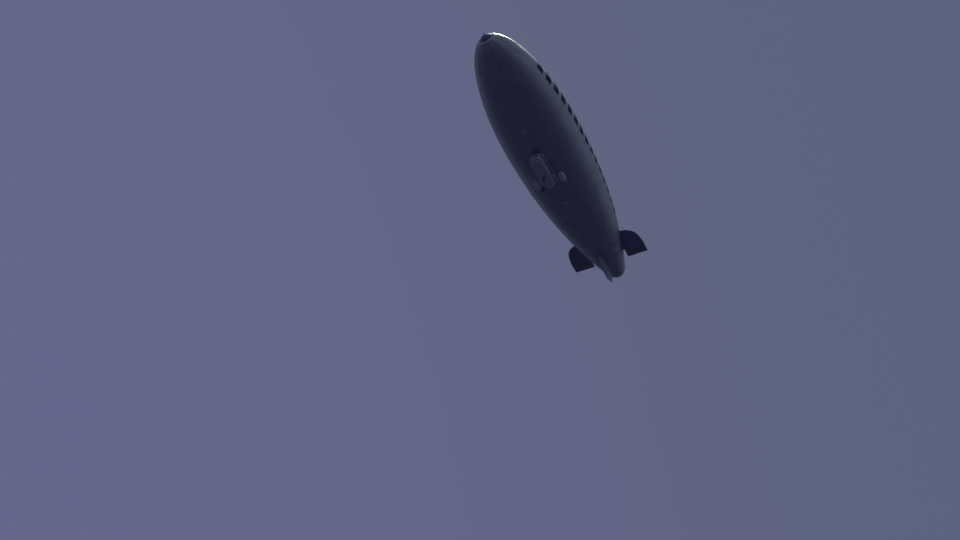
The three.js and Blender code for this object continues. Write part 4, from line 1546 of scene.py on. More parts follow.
@dataclass
class Hull:
    """The envelope, and what is bonded to its fabric.

    Attributes:
        shape: the hull's form.
        rows: how many rows of points the fabric has.
        first_share: share of the fabric's half turn, which its rows divide evenly, before the first row.
        bar_stations: first and last station of the run of plain bars on each flank.
        bars: how many bars there are.
        bar_length: each bar's length along the hull.
        bar_height: each bar's height round the hull.
        edge_stations: stations at which the bars' lower edge is known.
        edge_angles: angle of that edge from the keel, at each of them.
        load_patches: station and angle of each load patch.
        loop: radius of the metal loop on a load patch, and of its wire.
        laced_panels: station and angle of each laced panel.
        hatch: length, width and corner radius of the hatch in a laced panel.
        lacing: the same of the strip round it.
        lamp: station and angle of the running lights.
        lamp_profile: the light's profile over the fabric.
        cap_stations: stations of the rows of the tail's cap.
        cap_lifts: how far each of them stands off the fabric.
        stern: station of the stern light.
        stern_profile: the stern light's profile.
    """

    shape: HullShape
    rows: int = 198
    first_share: float = 0.011
    bar_stations: tuple[float, float] = (8.3, 42.6)
    bars: int = 15
    bar_length: float = 1.5
    bar_height: float = 4.0
    edge_stations: tuple[float, ...] = (8.0, 12.0, 16.0, 23.0, 30.0, 36.0, 43.0)
    edge_angles: tuple[float, ...] = (82.0, 80.0, 81.0, 82.0, 85.0, 85.0, 82.0)
    load_patches: tuple[tuple[float, float], ...] = (
        *((7.2, angle) for angle in (-60, -20, 20, 60)),
        *((station, angle) for station in (13.0, 18.2, 27.4, 34.0, 40.5) for angle in (-10, 10)),
        *((station, 180) for station in (8.0, 20.0, 33.0, 44.0)),
    )
    loop: tuple[float, float] = (0.075, 0.009)
    laced_panels: tuple[tuple[float, float], ...] = ((16.5, 180), (37.0, 180), (24.8, 60), (24.8, -60))
    hatch: tuple[float, float, float] = (1.9, 0.9, 0.12)
    lacing: tuple[float, float, float] = (2.05, 1.05, 0.16)
    lamp: tuple[float, float] = (25.0, 76.0)
    lamp_profile: Profile = ((0, 0), (0, 0.05), (0.03, 0.047), (0.055, 0.03), (0.064, 0))
    cap_stations: tuple[float, ...] = (57.0, 57.02, 57.4, 57.7, 57.88, 57.965)
    cap_lifts: tuple[float, ...] = (-0.004, 0.012, 0.012, 0.012, 0.012, 0.012)
    stern: float = 58.01
    stern_profile: Profile = ((-0.01, 0), (-0.01, 0.07), (0.02, 0.065), (0.05, 0.045), (0.06, 0))

    def build(self) -> None:
        """Every piece of the hull."""
        self.envelope()
        for side in Side:
            starts = np.linspace(self.bar_stations[0], self.bar_stations[1] - self.bar_length, self.bars)
            bars = joined(self.bar(start, side) for start in starts)
            show(f"flank_bars_{side.word}", bars, NAVY_FABRIC, sharp=60)
            self.side_lamp(side)
        self.panels()
        self.tail_cap()

    def envelope(self) -> None:
        """The fabric: rows closer together towards the two ends, with 8 columns to a gore."""
        share = np.linspace(self.first_share, 1 - self.first_share, self.rows)
        stations = self.shape.length * (1 - np.cos(np.pi * share)) / 2
        tips = at([0.0, self.shape.length], 0.0, 0.0)
        form = skin(self.shape.ring(stations), Ends.POLE, *tips, along=stations / self.shape.length)
        show("envelope_fabric", form, FABRIC, replaces=["envelope"], sharp=60)

    def bar(self, start: float, side: Side) -> Form:
        """One plain bar: a thin plate on a grid of stations and angles, its lower edge by the edge table.

        Args:
            start: its first station.
            side: the flank that it is on.

        Returns:
            The bar.
        """
        stations = np.linspace(start, start + self.bar_length, 6)[:, None]
        low = smooth_through(stations, self.edge_stations, self.edge_angles)
        high = low + np.degrees(self.bar_height / self.shape.radius_at(stations))
        angles = side.value * (low + (high - low) * np.linspace(0, 1, 20))
        faces = (self.shape.point(stations, angles, lift) for lift in (0.004, -BEDDING))
        return sheet_between(*faces)

    def panels(self) -> None:
        """Load patches with their loops round the nose, under the belly and on top, and the laced panels."""
        reach, wire = self.loop
        loop = turned(circle(wire, 8) + [0, reach], (0, 0, 0.03), PORT, 20, ring=True)
        parts = (patch(0.42, lobes=6, depth=0.22), loop)
        forms = [self.shape.laid(part, self.load_patches) for part in parts]
        show("load_patches", joined(forms), PATCH_FABRIC)
        sizes = ((self.hatch, 0.005), (self.lacing, 0.0025))
        parts = [plate(divided(rectangle(*size, 8), 12), thick) for size, thick in sizes]
        show("laced_panels", joined(self.shape.laid(part, self.laced_panels) for part in parts), PATCH_FABRIC)

    def side_lamp(self, side: Side) -> None:
        """A running light in a streamlined foot on the widest part of the flank.

        Args:
            side: the flank that it is on. It is red to port and green to starboard.
        """
        station, angle = self.lamp
        foot = patch(0.16, thick=0.03).changed(lambda p: p * [1.6, 0.8, 1.0])
        lens = turned(self.lamp_profile, (0, 0, 0.025), UP, 24)
        glass = RED_LENS if side is Side.LEFT else GREEN_LENS
        for name, form, finish in (("side_lamp_foot", foot, SILVER_PAINT), ("side_lamp", lens, glass)):
            show(f"{name}_{side.word}", self.shape.wrapped(form, station, side.value * angle), finish)

    def tail_cap(self) -> None:
        """A cap bonded over the tail's end, with a stern light in its middle."""
        rows = self.shape.ring(np.array(self.cap_stations), self.cap_lifts, 64)
        show("tail_cap", skin(rows), SILVER_PAINT, sharp=60)
        show("stern_light", turned(self.stern_profile, at(self.stern, 0, 0), -AHEAD, 24), LAMP_GLASS)


@dataclass
class Nose:
    """The mooring cone over the nose, its spindle, and the battens that spread its load.

    Attributes:
        shape: the hull's form.
        cone_stations: stations of the cone's outline, negative ahead of the fabric.
        cone_radii: the cone's radius at each of them.
        throat: the cone's inner outline at its front.
        bolt_rings: station of each ring of bolts, and how many there are in it.
        pin_profile: the spindle's outline ahead of the fabric's tip.
        battens: how many battens fan out.
        first_batten: degrees from the keel to the first one.
        batten_ends: stations of their two ends.
        batten_width: their width.
        batten_height: their height off the fabric.
        band_end: station at which the band over their fore ends stops.
        strap_reaches: the outline of a lashing across a batten, as distances round the hull.
        strap_lifts: its heights off the fabric.
    """

    shape: HullShape
    cone_stations: tuple[float, ...] = (-0.23, -0.2, -0.06, 0.1, 0.29)
    cone_radii: tuple[float, ...] = (0.19, 0.32, 0.62, 0.90, 1.165)
    throat: Profile = ((0.235, 0.16), (0.235, 0.101), (0.225, 0.091), (0.01, 0.091))
    bolt_rings: tuple[tuple[float, int], ...] = ((0.2, 36), (-0.1, 16))
    pin_profile: Profile = (
        (0.0, 0), (0.0, 0.088), (0.24, 0.088), (0.24, 0.14), (0.25, 0.15), (0.28, 0.15), (0.29, 0.14),
        (0.295, 0.078), (0.31, 0.07), (0.5, 0.07), (0.535, 0.082), (0.562, 0.108), (0.572, 0.11),
        (0.63, 0.11), (0.645, 0.104), (0.67, 0.08), (0.67, 0),
    )
    battens: int = 12
    first_batten: float = 15.0
    batten_ends: tuple[float, float] = (0.27, 4.3)
    batten_width: float = 0.11
    batten_height: float = 0.05
    band_end: float = 0.62
    strap_reaches: tuple[float, ...] = (-0.14, -0.08, -0.062, -0.05, 0.05, 0.062, 0.08, 0.14)
    strap_lifts: tuple[float, ...] = (0.004, 0.010, 0.036, 0.049, 0.049, 0.036, 0.010, 0.004)

    def build(self) -> None:
        """Cone, spindle, battens and their lashings."""
        self.cone()
        spindle = turned(self.pin_profile, at(0, 0, 0), AHEAD, 48)
        show("mooring_pin", spindle, STEEL, replaces=["mooring_spindle"])
        self.fan()
        self.lashings()

    def cone(self) -> None:
        """A smooth shell of revolution from its rim to the spindle's bore, with two rings of bolts."""
        out = np.linspace(self.cone_stations[-1], self.cone_stations[0], 26)
        outer = np.stack([-out, smooth_through(out, self.cone_stations, self.cone_radii)], 1)
        under = np.array([0.01, 0.04, 0.1, 0.2, 0.28])
        back = np.stack([-under, self.shape.radius_at(under) - 0.004], 1)
        rim = circle(0.022, 10) + outer[0]
        shells = (np.concatenate([outer, self.throat, back]), rim)
        forms = [turned(shell, at(0, 0, 0), AHEAD, 96, ring=True) for shell in shells]
        show("mooring_cone", joined(forms), SLATE_PAINT, replaces=["nose_cone"])
        heads = []
        for station, count in self.bolt_rings:
            radius = smooth_through(station, self.cone_stations, self.cone_radii)
            head = stood(bolt(0.018, 0.016), at(station, 0, radius), (1.9, 0.0, 1.0), PORT)
            heads.append(copies(head, turns_about_hull(count, 5)))
        show("cone_bolts", joined(heads), STEEL)

    def fan(self) -> None:
        """Battens of a rounded section that follow the hull, and the band that joins their fore ends."""
        first, last = self.batten_ends
        ending = last - 0.2 * np.array([0.6, 0.3, 0.1, 0.0])
        fore = np.concatenate([np.linspace(first, last - 0.2, 44), ending])[:, None]
        section = rectangle(self.batten_width, self.batten_height, 0.02, 4)
        taper = np.clip((last - fore) / 0.5, 0.25, 1.0) ** 0.5
        across = np.degrees(section[:, 0] * taper / self.shape.radius_at(fore))
        batten = skin(self.shape.point(fore, across, (section[:, 1] + self.batten_height * 0.4) * taper))
        around = np.linspace(first, self.band_end, 9)
        height = self.batten_height * np.clip((self.band_end + 0.01 - around) * 20, 0.4, 1)
        radius = self.shape.radius_at(around)
        outer, inner = (np.stack([-around, radius + lift], 1) for lift in (height, -BEDDING))
        band = turned(np.concatenate([outer, inner[::-1]]), at(0, 0, 0), AHEAD, 96, ring=True)
        fan = copies(batten, turns_about_hull(self.battens, self.first_batten))
        show("batten_fan", joined([fan, band]), SILVER_PAINT, replaces=["nose_battens"], sharp=45)

    def lashings(self) -> None:
        """Straps over each batten, and a patch under its after end."""
        straps = []
        for station in np.linspace(1.0, 3.95, 9):
            fore = np.array([[station], [station + 0.05]])
            angle = np.degrees(np.array(self.strap_reaches) / self.shape.radius_at(fore))
            lifts = (np.array(self.strap_lifts) + rise for rise in (0.006, -0.002))
            straps.append(sheet_between(*(self.shape.point(fore, angle, lift) for lift in lifts)))
        straps.append(self.shape.wrapped(patch(0.26, lobes=4, depth=0.18), self.batten_ends[1], 0))
        form = copies(joined(straps), turns_about_hull(self.battens, self.first_batten))
        show("batten_lashings", form, DUCT_FABRIC)


@dataclass
class Valves:
    """The pressure valves let into the fabric.

    Attributes:
        shape: the hull's form.
        places: each valve's frame node, station, angle from the keel and radius.
        flange: the clamping ring's profile, its radii from the valve's.
        disc: the dished disc's profile, its radii as shares of the valve's.
    """

    shape: HullShape
    places: tuple[tuple[str, float, float, float], ...] = (
        ("air_valve_forward", 15.5, 0.0, 0.38),
        ("air_valve_aft", 32.0, 0.0, 0.38),
        ("helium_valve", 30.0, -55.0, 0.30),
    )
    flange: Profile = (
        (-0.01, 0.09), (0.018, 0.09), (0.026, 0.08), (0.026, 0.035), (0.05, 0.03), (0.058, 0.02),
        (0.058, 0.004), (0.05, -0.01), (-0.01, -0.01),
    )
    disc: Profile = (
        (0.036, 0.9), (0.03, 0.72), (0.045, 0.64), (0.085, 0.58), (0.102, 0.45), (0.108, 0.2), (0.11, 0.0),
    )

    def build(self) -> None:
        """Each valve's clamping ring, dished disc, guard and bolts, drawn flat and laid round the hull."""
        for node, station, angle, radius in self.places:
            pieces = (
                ("body", self.body(radius), ALUMINIUM, [node]),
                ("guard", self.guard(radius), STEEL, []),
            )
            for word, form, finish, nodes in pieces:
                show(f"{node}_{word}", self.shape.wrapped(form, station, angle), finish, replaces=nodes)

    def body(self, radius: float) -> Form:
        """The ring with its bolts, and the disc.

        Args:
            radius: the valve's radius.

        Returns:
            Both, flat and facing up.
        """
        edge = [(-0.01, 0), (-0.01, radius - 0.012), (0.03, radius - 0.014)]
        return joined([
            turned(np.array(self.flange) + [0, radius], np.zeros(3), UP, 72, ring=True),
            turned([*edge, *(np.array(self.disc) * [1, radius])], np.zeros(3), UP, 72),
            stood(bolt(0.013, 0.012), (radius + 0.06) * spokes(24) + [0, 0, 0.026], UP),
        ])

    def guard(self, radius: float) -> Form:
        """Three arched bars over the disc, held by the ring.

        Args:
            radius: the disc's radius.

        Returns:
            The bars.
        """
        reach = np.linspace(-1, 1, 15)
        arch = np.stack([reach * (radius + 0.012), reach * 0, 0.05 + 0.075 * (1 - reach**4)], 1)
        return stood(tube(arch, 0.009, 8), np.zeros(3), UP, spokes(6)[:3])


# The tail


@dataclass(frozen=True)
class TailFin:
    """One fin and the surface hinged behind it, drawn as the top one and then turned about the hull.

    The fin's section is a quarter ellipse up to its thickest part and then falls to the thickness of the
    surface, where a cove with two lips follows the surface's round nose. The fabric sinks a little between
    its ribs.

    Attributes:
        name: the fin's frame node.
        surface: the surface's frame node.
        body: the body that the surface rides on.
        turn: degrees about the hull's axis from the top.
        spans: spans from the hull's axis at which the outline is known.
        leading: stations of the leading edge there.
        halves: half thicknesses there.
        surface_tip: span of the surface's tip.
        rake: how much of the surface's span its raked tip takes.
        hinges: spans of the hinges.
        hinge_station: station of the hinge line.
        hinge_spans: spans between which the thickness on the hinge line falls evenly.
        hinge_halves: the half thicknesses there.
        trailing_station: station of the trailing edge.
        rake_depth: how far ahead of it the raked tip ends.
        root: span of the fin's root.
        surface_root: span of the surface's root.
        gap: the gap between the surface's nose and the cove.
        thickest: share of the chord at which the fin is thickest.
        edge: half thickness of the trailing edge.
        rib_pitch: distance from rib to rib.
        sink: how far the fabric sinks between two ribs.
        slot: half height and depth of the slots for the hinges' arms, without the gap.
        cables: each bracing cable's station on the fin, and the station and angle of its foot on the hull.
        cable_span: span of the cables' heads.
        horn_span: span of the horns.
        horn_corners: a horn's outline behind the hinge line and out from the middle.
        horn_eye: place of its eye, in the same way.
        tab_station: station of the trim tab's front.
        tab_chord: the tab's length.
        tab_spans: its first and last span.
        tab_halves: its half thickness in front and behind.
    """

    name: str
    surface: str
    body: Body
    turn: float
    spans: tuple[float, ...] = (2.6, 4.7, 5.7, 6.4, 6.9, 7.25, 7.45, 7.54)
    leading: tuple[float, ...] = (46.7, 47.15, 47.5, 48.0, 48.7, 49.7, 50.9, 51.5)
    halves: tuple[float, ...] = (0.210, 0.180, 0.160, 0.143, 0.128, 0.112, 0.096, 0.084)
    surface_tip: float = 7.52
    rake: float = 0.0
    hinges: tuple[float, ...] = (3.95, 5.4, 6.85)
    hinge_station: float = 51.9
    hinge_spans: tuple[float, float] = (2.6, 7.54)
    hinge_halves: tuple[float, float] = (0.200, 0.084)
    trailing_station: float = 53.9
    rake_depth: float = 1.75
    root: float = 2.85
    surface_root: float = 3.52
    gap: float = 0.014
    thickest: float = 0.3
    edge: float = 0.014
    rib_pitch: float = 0.46
    sink: float = 0.009
    slot: tuple[float, float] = (0.025, 0.042)
    cables: tuple[tuple[float, float, float], ...] = ((48.6, 47.3, 42.0), (50.5, 50.2, 40.0))
    cable_span: float = 5.75
    horn_span: float = 4.62
    horn_corners: Profile = (
        (0.10, 0.10), (0.10, 0.30), (0.14, 0.40), (0.20, 0.40), (0.26, 0.24), (0.42, 0.10),
    )
    horn_eye: tuple[float, float] = (0.165, 0.37)
    tab_station: float = 53.5
    tab_chord: float = 0.44
    tab_spans: tuple[float, float] = (4.0, 5.25)
    tab_halves: tuple[float, float] = (0.054, 0.022)

    def nose_half(self, span: Array | float) -> Array:
        """Half thickness on the hinge line, falling evenly from the root to a full tip."""
        return np.interp(span, self.hinge_spans, self.hinge_halves)

    def between_ribs(self, span: Array) -> Array:
        """0 on a rib and 1 halfway to the next, as |sin| of the span."""
        return np.abs(np.sin(np.pi * (span - self.root) / self.rib_pitch))

    def from_hinges(self, span: Array) -> Array:
        """How far each span is from the nearest hinge."""
        return np.abs(span[:, None] - self.hinges).min(1)

    def section(self, span: Array, share: Array, thin: Array | float = 1.0) -> tuple[Array, Array]:
        """Stations and half thicknesses at shares of the chord from the leading edge to the lip.

        Args:
            span: spans from the hull's axis.
            share: shares of the chord, 0 to 1.
            thin: a factor on the thickness, below 1 where the tip is rounded.

        Returns:
            The stations and the half thicknesses.
        """
        lead = smooth_through(span, self.spans, self.leading)
        half = smooth_through(span, self.spans, self.halves) * thin
        back = self.nose_half(span) * thin
        reach = self.nose_half(span) + self.gap
        lip = self.hinge_station - np.sqrt(np.maximum(reach**2 - back**2, 0))
        fore = half * np.sqrt(np.maximum(1 - (1 - np.minimum(share / self.thickest, 1)) ** 2, 0))
        aft = half + (back - half) * np.maximum((share - self.thickest) / (1 - self.thickest), 0) ** 1.6
        sunk = self.sink * self.between_ribs(span) * np.sin(np.pi * share**0.7) * thin
        return lead + (lip - lead) * share, np.where(share < self.thickest, fore, aft) - sunk

    def fin_form(self) -> Form:
        """The fin: rows at spans, each row round the section and through the cove.

        Returns:
            Its closed surface.
        """
        base, rounding, rows = self.spans[-1] - 0.12, 0.12, 66
        turn = np.linspace(0, np.pi / 2, 9)[1:]
        span = np.append(np.linspace(self.root, base, rows), base + rounding * np.sin(turn))[:, None]
        thin = np.append(np.ones(rows), np.maximum(np.cos(turn), 0.05))[:, None]
        station, thickness = self.section(span, np.linspace(0, 1, 30) ** 1.7, thin)
        reach = self.nose_half(span) + self.gap
        opening = np.arcsin(np.clip(self.nose_half(span) * thin / reach, 0, 1))
        cove = opening * np.linspace(1, -1, 11)[1:-1]
        stations = np.concatenate([station, self.hinge_station - reach * np.cos(cove), station[:, :0:-1]], 1)
        across = np.concatenate([thickness, reach * np.sin(cove), -thickness[:, :0:-1]], 1)
        return skin(at(stations, across, span))

    def surface_form(self) -> Form:
        """The moving surface: a round nose on the hinge line, a thin trailing edge, slots for the hinges.

        Returns:
            Its closed surface.
        """
        rounding, step, raked = 0.06, 1e-4, self.surface_tip - self.rake
        base = self.surface_tip - rounding
        slot_half, slot_depth = (size + self.gap for size in self.slot)
        plain = np.linspace(self.surface_root, base, 60)
        plain = plain[self.from_hinges(plain) >= slot_half + 0.01]
        marks = np.add.outer(self.hinges, [-slot_half, step - slot_half, slot_half - step, slot_half]).ravel()
        top = base + rounding * np.sin(np.linspace(0, np.pi / 2, 7)[1:])
        span = np.sort(np.concatenate([plain, marks, [raked], top]))[:, None]
        thin = np.sqrt(np.maximum(1 - (np.maximum(span - base, 0) / rounding) ** 2, 0.003))
        past = np.maximum(span - raked, 0)
        trailing = self.trailing_station - self.rake_depth * past / max(self.rake, 1e-6)
        half, share = self.nose_half(span), np.linspace(0, 1, 22)[1:]
        sunk = 0.8 * self.sink * self.between_ribs(span) * np.sin(np.pi * share)
        side = half + (self.edge - half) * share - sunk
        aft = (trailing - self.hinge_station) * share
        nose, rim = np.radians(np.linspace(90, 270, 19)), np.array([0.6, 0.0, -0.6])
        end = aft[:, -1:] + self.edge * (1 - np.abs(rim))
        stations = np.concatenate([aft[:, ::-1], half * np.cos(nose), aft, end], 1)
        across = np.concatenate([side[:, ::-1], half * np.sin(nose), -side, -self.edge * rim + 0 * span], 1)
        in_slot = self.from_hinges(span[:, 0])[:, None] < slot_half - step / 2
        stations = np.where(in_slot, np.maximum(stations, slot_depth), stations)
        return skin(at(self.hinge_station + stations, across * thin, span))

    def hinge_parts(self) -> Form:
        """Each hinge: an arm out of the fin, a knuckle, a pin, and plates bolted through the fin's lips.

        Returns:
            All the hinges.
        """
        heads = (bolt(0.012, 0.012).moved([x, 0, 0.01]) for x in (-0.1, -0.03, 0.04, 0.1))
        cheek, forms = joined([plate(rectangle(0.26, 0.09, 0.03), 0.01), *heads]), []
        for span in self.hinges:
            middle, half = at(self.hinge_station, 0, span), np.array([0, 0.022, 0.02])
            forms += [block(middle - half, middle + half + 0.3 * AHEAD, 0.006)]
            forms += [pin(middle, 0.025 * UP, 0.042, 20), pin(middle, 0.06 * UP, 0.02, 16)]
            lip = at(self.hinge_station - 0.22, self.nose_half(span) + 0.004, span)
            forms += [stood(cheek, lip * [1, side, 1], (0, side, 0)) for side in (1, -1)]
        return joined(forms)

    def boot(self, shape: HullShape) -> Form:
        """The laced skirt along the fin's root, where its section meets the hull: found in 12 steps.

        Args:
            shape: the hull's form.

        Returns:
            The skirt and its lacing.
        """
        share = np.linspace(0, 1, 60) ** 1.6
        span = np.full_like(share, 4.2)
        for _ in range(12):
            station, thickness = self.section(span, share)
            span = np.sqrt(shape.radius_at(station) ** 2 - thickness**2)
        side = at(station, thickness + 0.012, span + 0.012)
        path = np.concatenate([side[::-1], (side * [1, -1, 1])[1:]])
        strip = sweep(path, rectangle(0.05, 0.02, 0.008, 4), PORT)
        return joined([strip, tube(path + 0.03 * UP, 0.012, 8)])

    def braces(self, shape: HullShape) -> Form:
        """Bracing cables from both faces of the fin to patches on the hull, each with its turnbuckle.

        Args:
            shape: the hull's form.

        Returns:
            All the cables.
        """
        reach = smooth_through(self.cable_span, self.spans, self.halves) - 0.01
        eye = joined([plate(circle(0.07, 20), 0.012), bolt(0.02, 0.03)])
        pad, forms = patch(0.03, thick=0.03, sides=12), []
        for side in (1, -1):
            for station, foot, angle in self.cables:
                head = at(station, side * reach, self.cable_span)
                end = shape.point(foot, 180 + side * angle, 0.02)
                outward = shape.outward(foot, 180 + side * angle)
                from_screw, to_screw, socket = (head + (end - head) * share for share in (0.80, 0.90, 0.97))
                forms += [rod(head, end, 0.006, 8), rod(from_screw, to_screw, 0.017, 10)]
                forms += [rod(socket, end, 0.016, 10), stood(eye, head, (0, side, 0))]
                forms.append(stood(pad, end, outward))
        return joined(forms)

    def brace_patches(self, shape: HullShape) -> Form:
        """The lobed patches that spread each cable's pull over the fabric."""
        feet = [(foot, 180 + side * angle) for side in (1, -1) for _, foot, angle in self.cables]
        return shape.laid(patch(0.36, lobes=5, depth=0.25), feet)

    def horns(self) -> Form:
        """The horns on both faces, which the control cables pull.

        Returns:
            Both horns with their eyes.
        """
        forms, (behind, out) = [], np.transpose(self.horn_corners)
        for side in (1, -1):
            outline = softened(at(self.hinge_station + behind, side * out, 0)[:, :2], 0.02, 3)
            forms.append(prism(outline, self.horn_span - 0.01, self.horn_span + 0.01, 0.003))
            eye = at(self.hinge_station + self.horn_eye[0], side * self.horn_eye[1], self.horn_span)
            forms.append(pin(eye, 0.03 * UP, 0.012, 10))
        return joined(forms)

    def tab(self) -> Form:
        """A trim tab let into the trailing edge: a plate, then made thinner towards its back.

        Returns:
            The tab.
        """
        chord, (low, high), (front, back) = self.tab_chord, self.tab_spans, self.tab_halves
        outline = softened([(0, low), (0, high), (chord, high), (chord, low)], 0.02, 3)
        taper = (back - front) / chord
        return prism(outline, -1.0, 1.0, 0.1).changed(
            lambda p: at(self.tab_station + p[:, 0], p[:, 2] * (front + taper * p[:, 0]), p[:, 1])
        )


@dataclass
class Tail:
    """The four fins with their surfaces, at right angles to one another.

    Attributes:
        shape: the hull's form.
        fins: the fins.
    """

    shape: HullShape
    fins: tuple[TailFin, ...] = (
        TailFin("fin_top", "rudder_top", Body.RUDDER_TOP, 0),
        TailFin("fin_left", "elevator_left", Body.ELEVATOR_LEFT, -90),
        TailFin(
            "fin_bottom", "rudder_bottom", Body.RUDDER_BOTTOM, 180,
            spans=(2.6, 4.7, 5.7, 6.4, 6.78, 7.02, 7.15), leading=(46.7, 47.15, 47.5, 48.1, 48.8, 49.7, 50.7),
            halves=(0.210, 0.180, 0.160, 0.143, 0.128, 0.112, 0.096), surface_tip=6.95, rake=0.85,
            hinges=(3.95, 5.4),
        ),
        TailFin("fin_right", "elevator_right", Body.ELEVATOR_RIGHT, 90),
    )

    def build(self) -> None:
        """Every fin's pieces, drawn upright and turned into place."""
        for fin in self.fins:
            pieces = (
                (f"{fin.name}_skin", fin.fin_form(), FIN_FABRIC, Body.HULL, [fin.name], 40),
                (f"{fin.surface}_skin", fin.surface_form(), FIN_FABRIC, fin.body, [fin.surface], 40),
                (f"{fin.name}_hinges", fin.hinge_parts(), STEEL),
                (f"{fin.name}_boot", fin.boot(self.shape), DUCT_FABRIC),
                (f"{fin.name}_braces", fin.braces(self.shape), CORD),
                (f"{fin.name}_patches", fin.brace_patches(self.shape), DUCT_FABRIC),
                (f"{fin.surface}_horns", fin.horns(), SILVER_PAINT, fin.body),
                (f"{fin.surface}_tab", fin.tab(), FIN_FABRIC, fin.body),
            )
            for name, form, *rest in pieces:
                show(name, about_hull(form, fin.turn), *rest)


# The car


@dataclass(frozen=True)
class CarShape:
    """The car's outer form: rounded rectangles whose sizes run smoothly along it, blunt at the front.

    Sizes are smooth curves of the square root of the distance behind the front, which makes the front round.
    Over the last stretch a quarter circle rounds the back.

    Attributes:
        stations: stations at which the sizes are known, from the front one to the back one.
        halves: half widths there.
        tops: heights of the top.
        bottoms: heights of the bottom.
        corners: corner radii.
        rear_round: radius of the back's rounding.
        wall_thick: thickness of the wall.
        middle: station of the middle of the joint with the hull.
        joint: how far ahead and to port the rays go that look for that joint.
    """

    stations: tuple[float, ...] = (19.40, 19.48, 19.74, 20.12, 20.64, 21.3, 24.6, 25.5, 26.35)
    halves: tuple[float, ...] = (0.18, 0.50, 0.80, 0.96, 1.04, 1.06, 1.06, 0.93, 0.64)
    tops: tuple[float, ...] = (-8.22, -7.95, -7.56, -7.15, -6.5, -6.5, -6.5, -6.5, -6.5)
    bottoms: tuple[float, ...] = (-8.50, -8.84, -9.16, -9.35, -9.45, -9.45, -9.45, -9.26, -8.80)
    corners: tuple[float, ...] = (0.14, 0.33, 0.40, 0.40, 0.36, 0.32, 0.32, 0.32, 0.30)
    rear_round: float = 0.12
    wall_thick: float = 0.04
    middle: float = 23.2
    joint: tuple[float, float] = (6.0, 2.0)

    def measures(self, station: Array, inset: float = 0.0) -> tuple[Array, Array, Array, Array]:
        """The section at each station, moved inwards by an inset.

        Args:
            station: stations along the car.
            inset: how far every side moves inwards.

        Returns:
            Half width, top, bottom and corner radius.
        """
        front, back = self.stations[0], self.stations[-1]
        run, knots = np.sqrt(np.maximum(station - front, 0)), np.sqrt(np.array(self.stations) - front)
        columns = (self.halves, self.tops, self.bottoms, self.corners)
        half, top, bottom, corner = (smooth_through(run, knots, column) for column in columns)
        near_back = np.clip((station - (back - self.rear_round)) / self.rear_round, 0, 1)
        pinch = inset + self.rear_round * (1 - np.sqrt(1 - near_back**2))
        half, top, bottom = half - pinch, top - pinch, bottom + pinch
        corner = np.minimum(corner - inset / 2, half * 0.95)
        return half, top, bottom, np.minimum(corner, (top - bottom) * 0.47)

    def rows(self, station: Array, inset: float = 0.0) -> Array:
        """Rows of points round the section at each station."""
        return rounded_rows(station, *self.measures(station, inset))

    def form(self, inset: float = 0.0) -> Form:
        """The whole form, its rows evenly spaced in the square root of the distance behind the front.

        Args:
            inset: how far it is moved inwards.

        Returns:
            The closed form.
        """
        front, back = self.stations[0], self.stations[-1]
        run = np.linspace(0.02, np.sqrt(back - self.rear_round - front), 84)
        rear = back - self.rear_round * (1 - np.sin(np.radians([20, 40, 60, 75, 90])))
        station = np.unique(np.maximum(np.append(front + run**2, rear), front + 0.0004 + inset))
        return skin(self.rows(station - inset * (station > back - 0.15), inset))

    def wall(self, station: Array | float, up: Array | float) -> Array:
        """How far the side stands from the middle line, or -1 above the top and below the bottom.

        Args:
            station: stations along the car.
            up: heights.

        Returns:
            A distance for each.
        """
        half, top, bottom, corner = self.measures(station)
        over = np.maximum(up - (top - corner), (bottom + corner) - up)
        bend = np.sqrt(np.maximum(corner**2 - np.maximum(over, 0) ** 2, 0))
        return np.where(over > corner, -1.0, half - corner + bend)

    def front(self, port: Array | float, up: Array | float) -> Array:
        """The station of the front face at a place across it, found by halving 40 times.

        Args:
            port: distances to port.
            up: heights.

        Returns:
            A station for each.
        """
        low, high = np.full_like(port, self.stations[0]), np.full_like(port, self.stations[0] + 1.2)
        for _ in range(40):
            middle = (low + high) / 2
            inside = np.abs(port) <= self.wall(middle, up)
            low, high = np.where(inside, low, middle), np.where(inside, middle, high)
        return high

    def junction(self, hull: HullShape, count: int = 240) -> Array:
        """The line where the walls meet the hull: rays from the middle in plan, each halved 40 times.

        Args:
            hull: the hull's form.
            count: how many rays.

        Returns:
            (count, 3) points.
        """
        ahead, port = (circle(1.0, count) * self.joint).T
        low, high = np.zeros(count), np.ones(count)
        for _ in range(40):
            share = (low + high) / 2
            station, across = self.middle - ahead * share, port * share
            wall = self.wall(station, hull.below(station, across))
            inside = (np.abs(across) <= wall) & (station < self.stations[-1])
            low, high = np.where(inside, share, low), np.where(inside, high, share)
        station, across = self.middle - ahead * low, port * low
        return at(station, across, hull.below(station, across))


class Face(Enum):
    """Which of the car's faces a window is in."""

    PORT = 1
    STARBOARD = -1
    FRONT = 2
    BACK = 3

    @property
    def outward(self) -> Array:
        """The direction out of the face."""
        return {Face.FRONT: AHEAD, Face.BACK: -AHEAD}.get(self, self.value * PORT)

    @property
    def cut(self) -> tuple[float, float]:
        """From where to where an opening in the face is cut, along X or Y.

        Returns:
            The lower and the higher of the two.
        """
        reaches = {
            Face.PORT: (0.5, 1.4),
            Face.STARBOARD: (-1.4, -0.5),
            Face.FRONT: (5.7, 7.4),
            Face.BACK: (-0.4, 0.4),
        }
        return reaches[self]


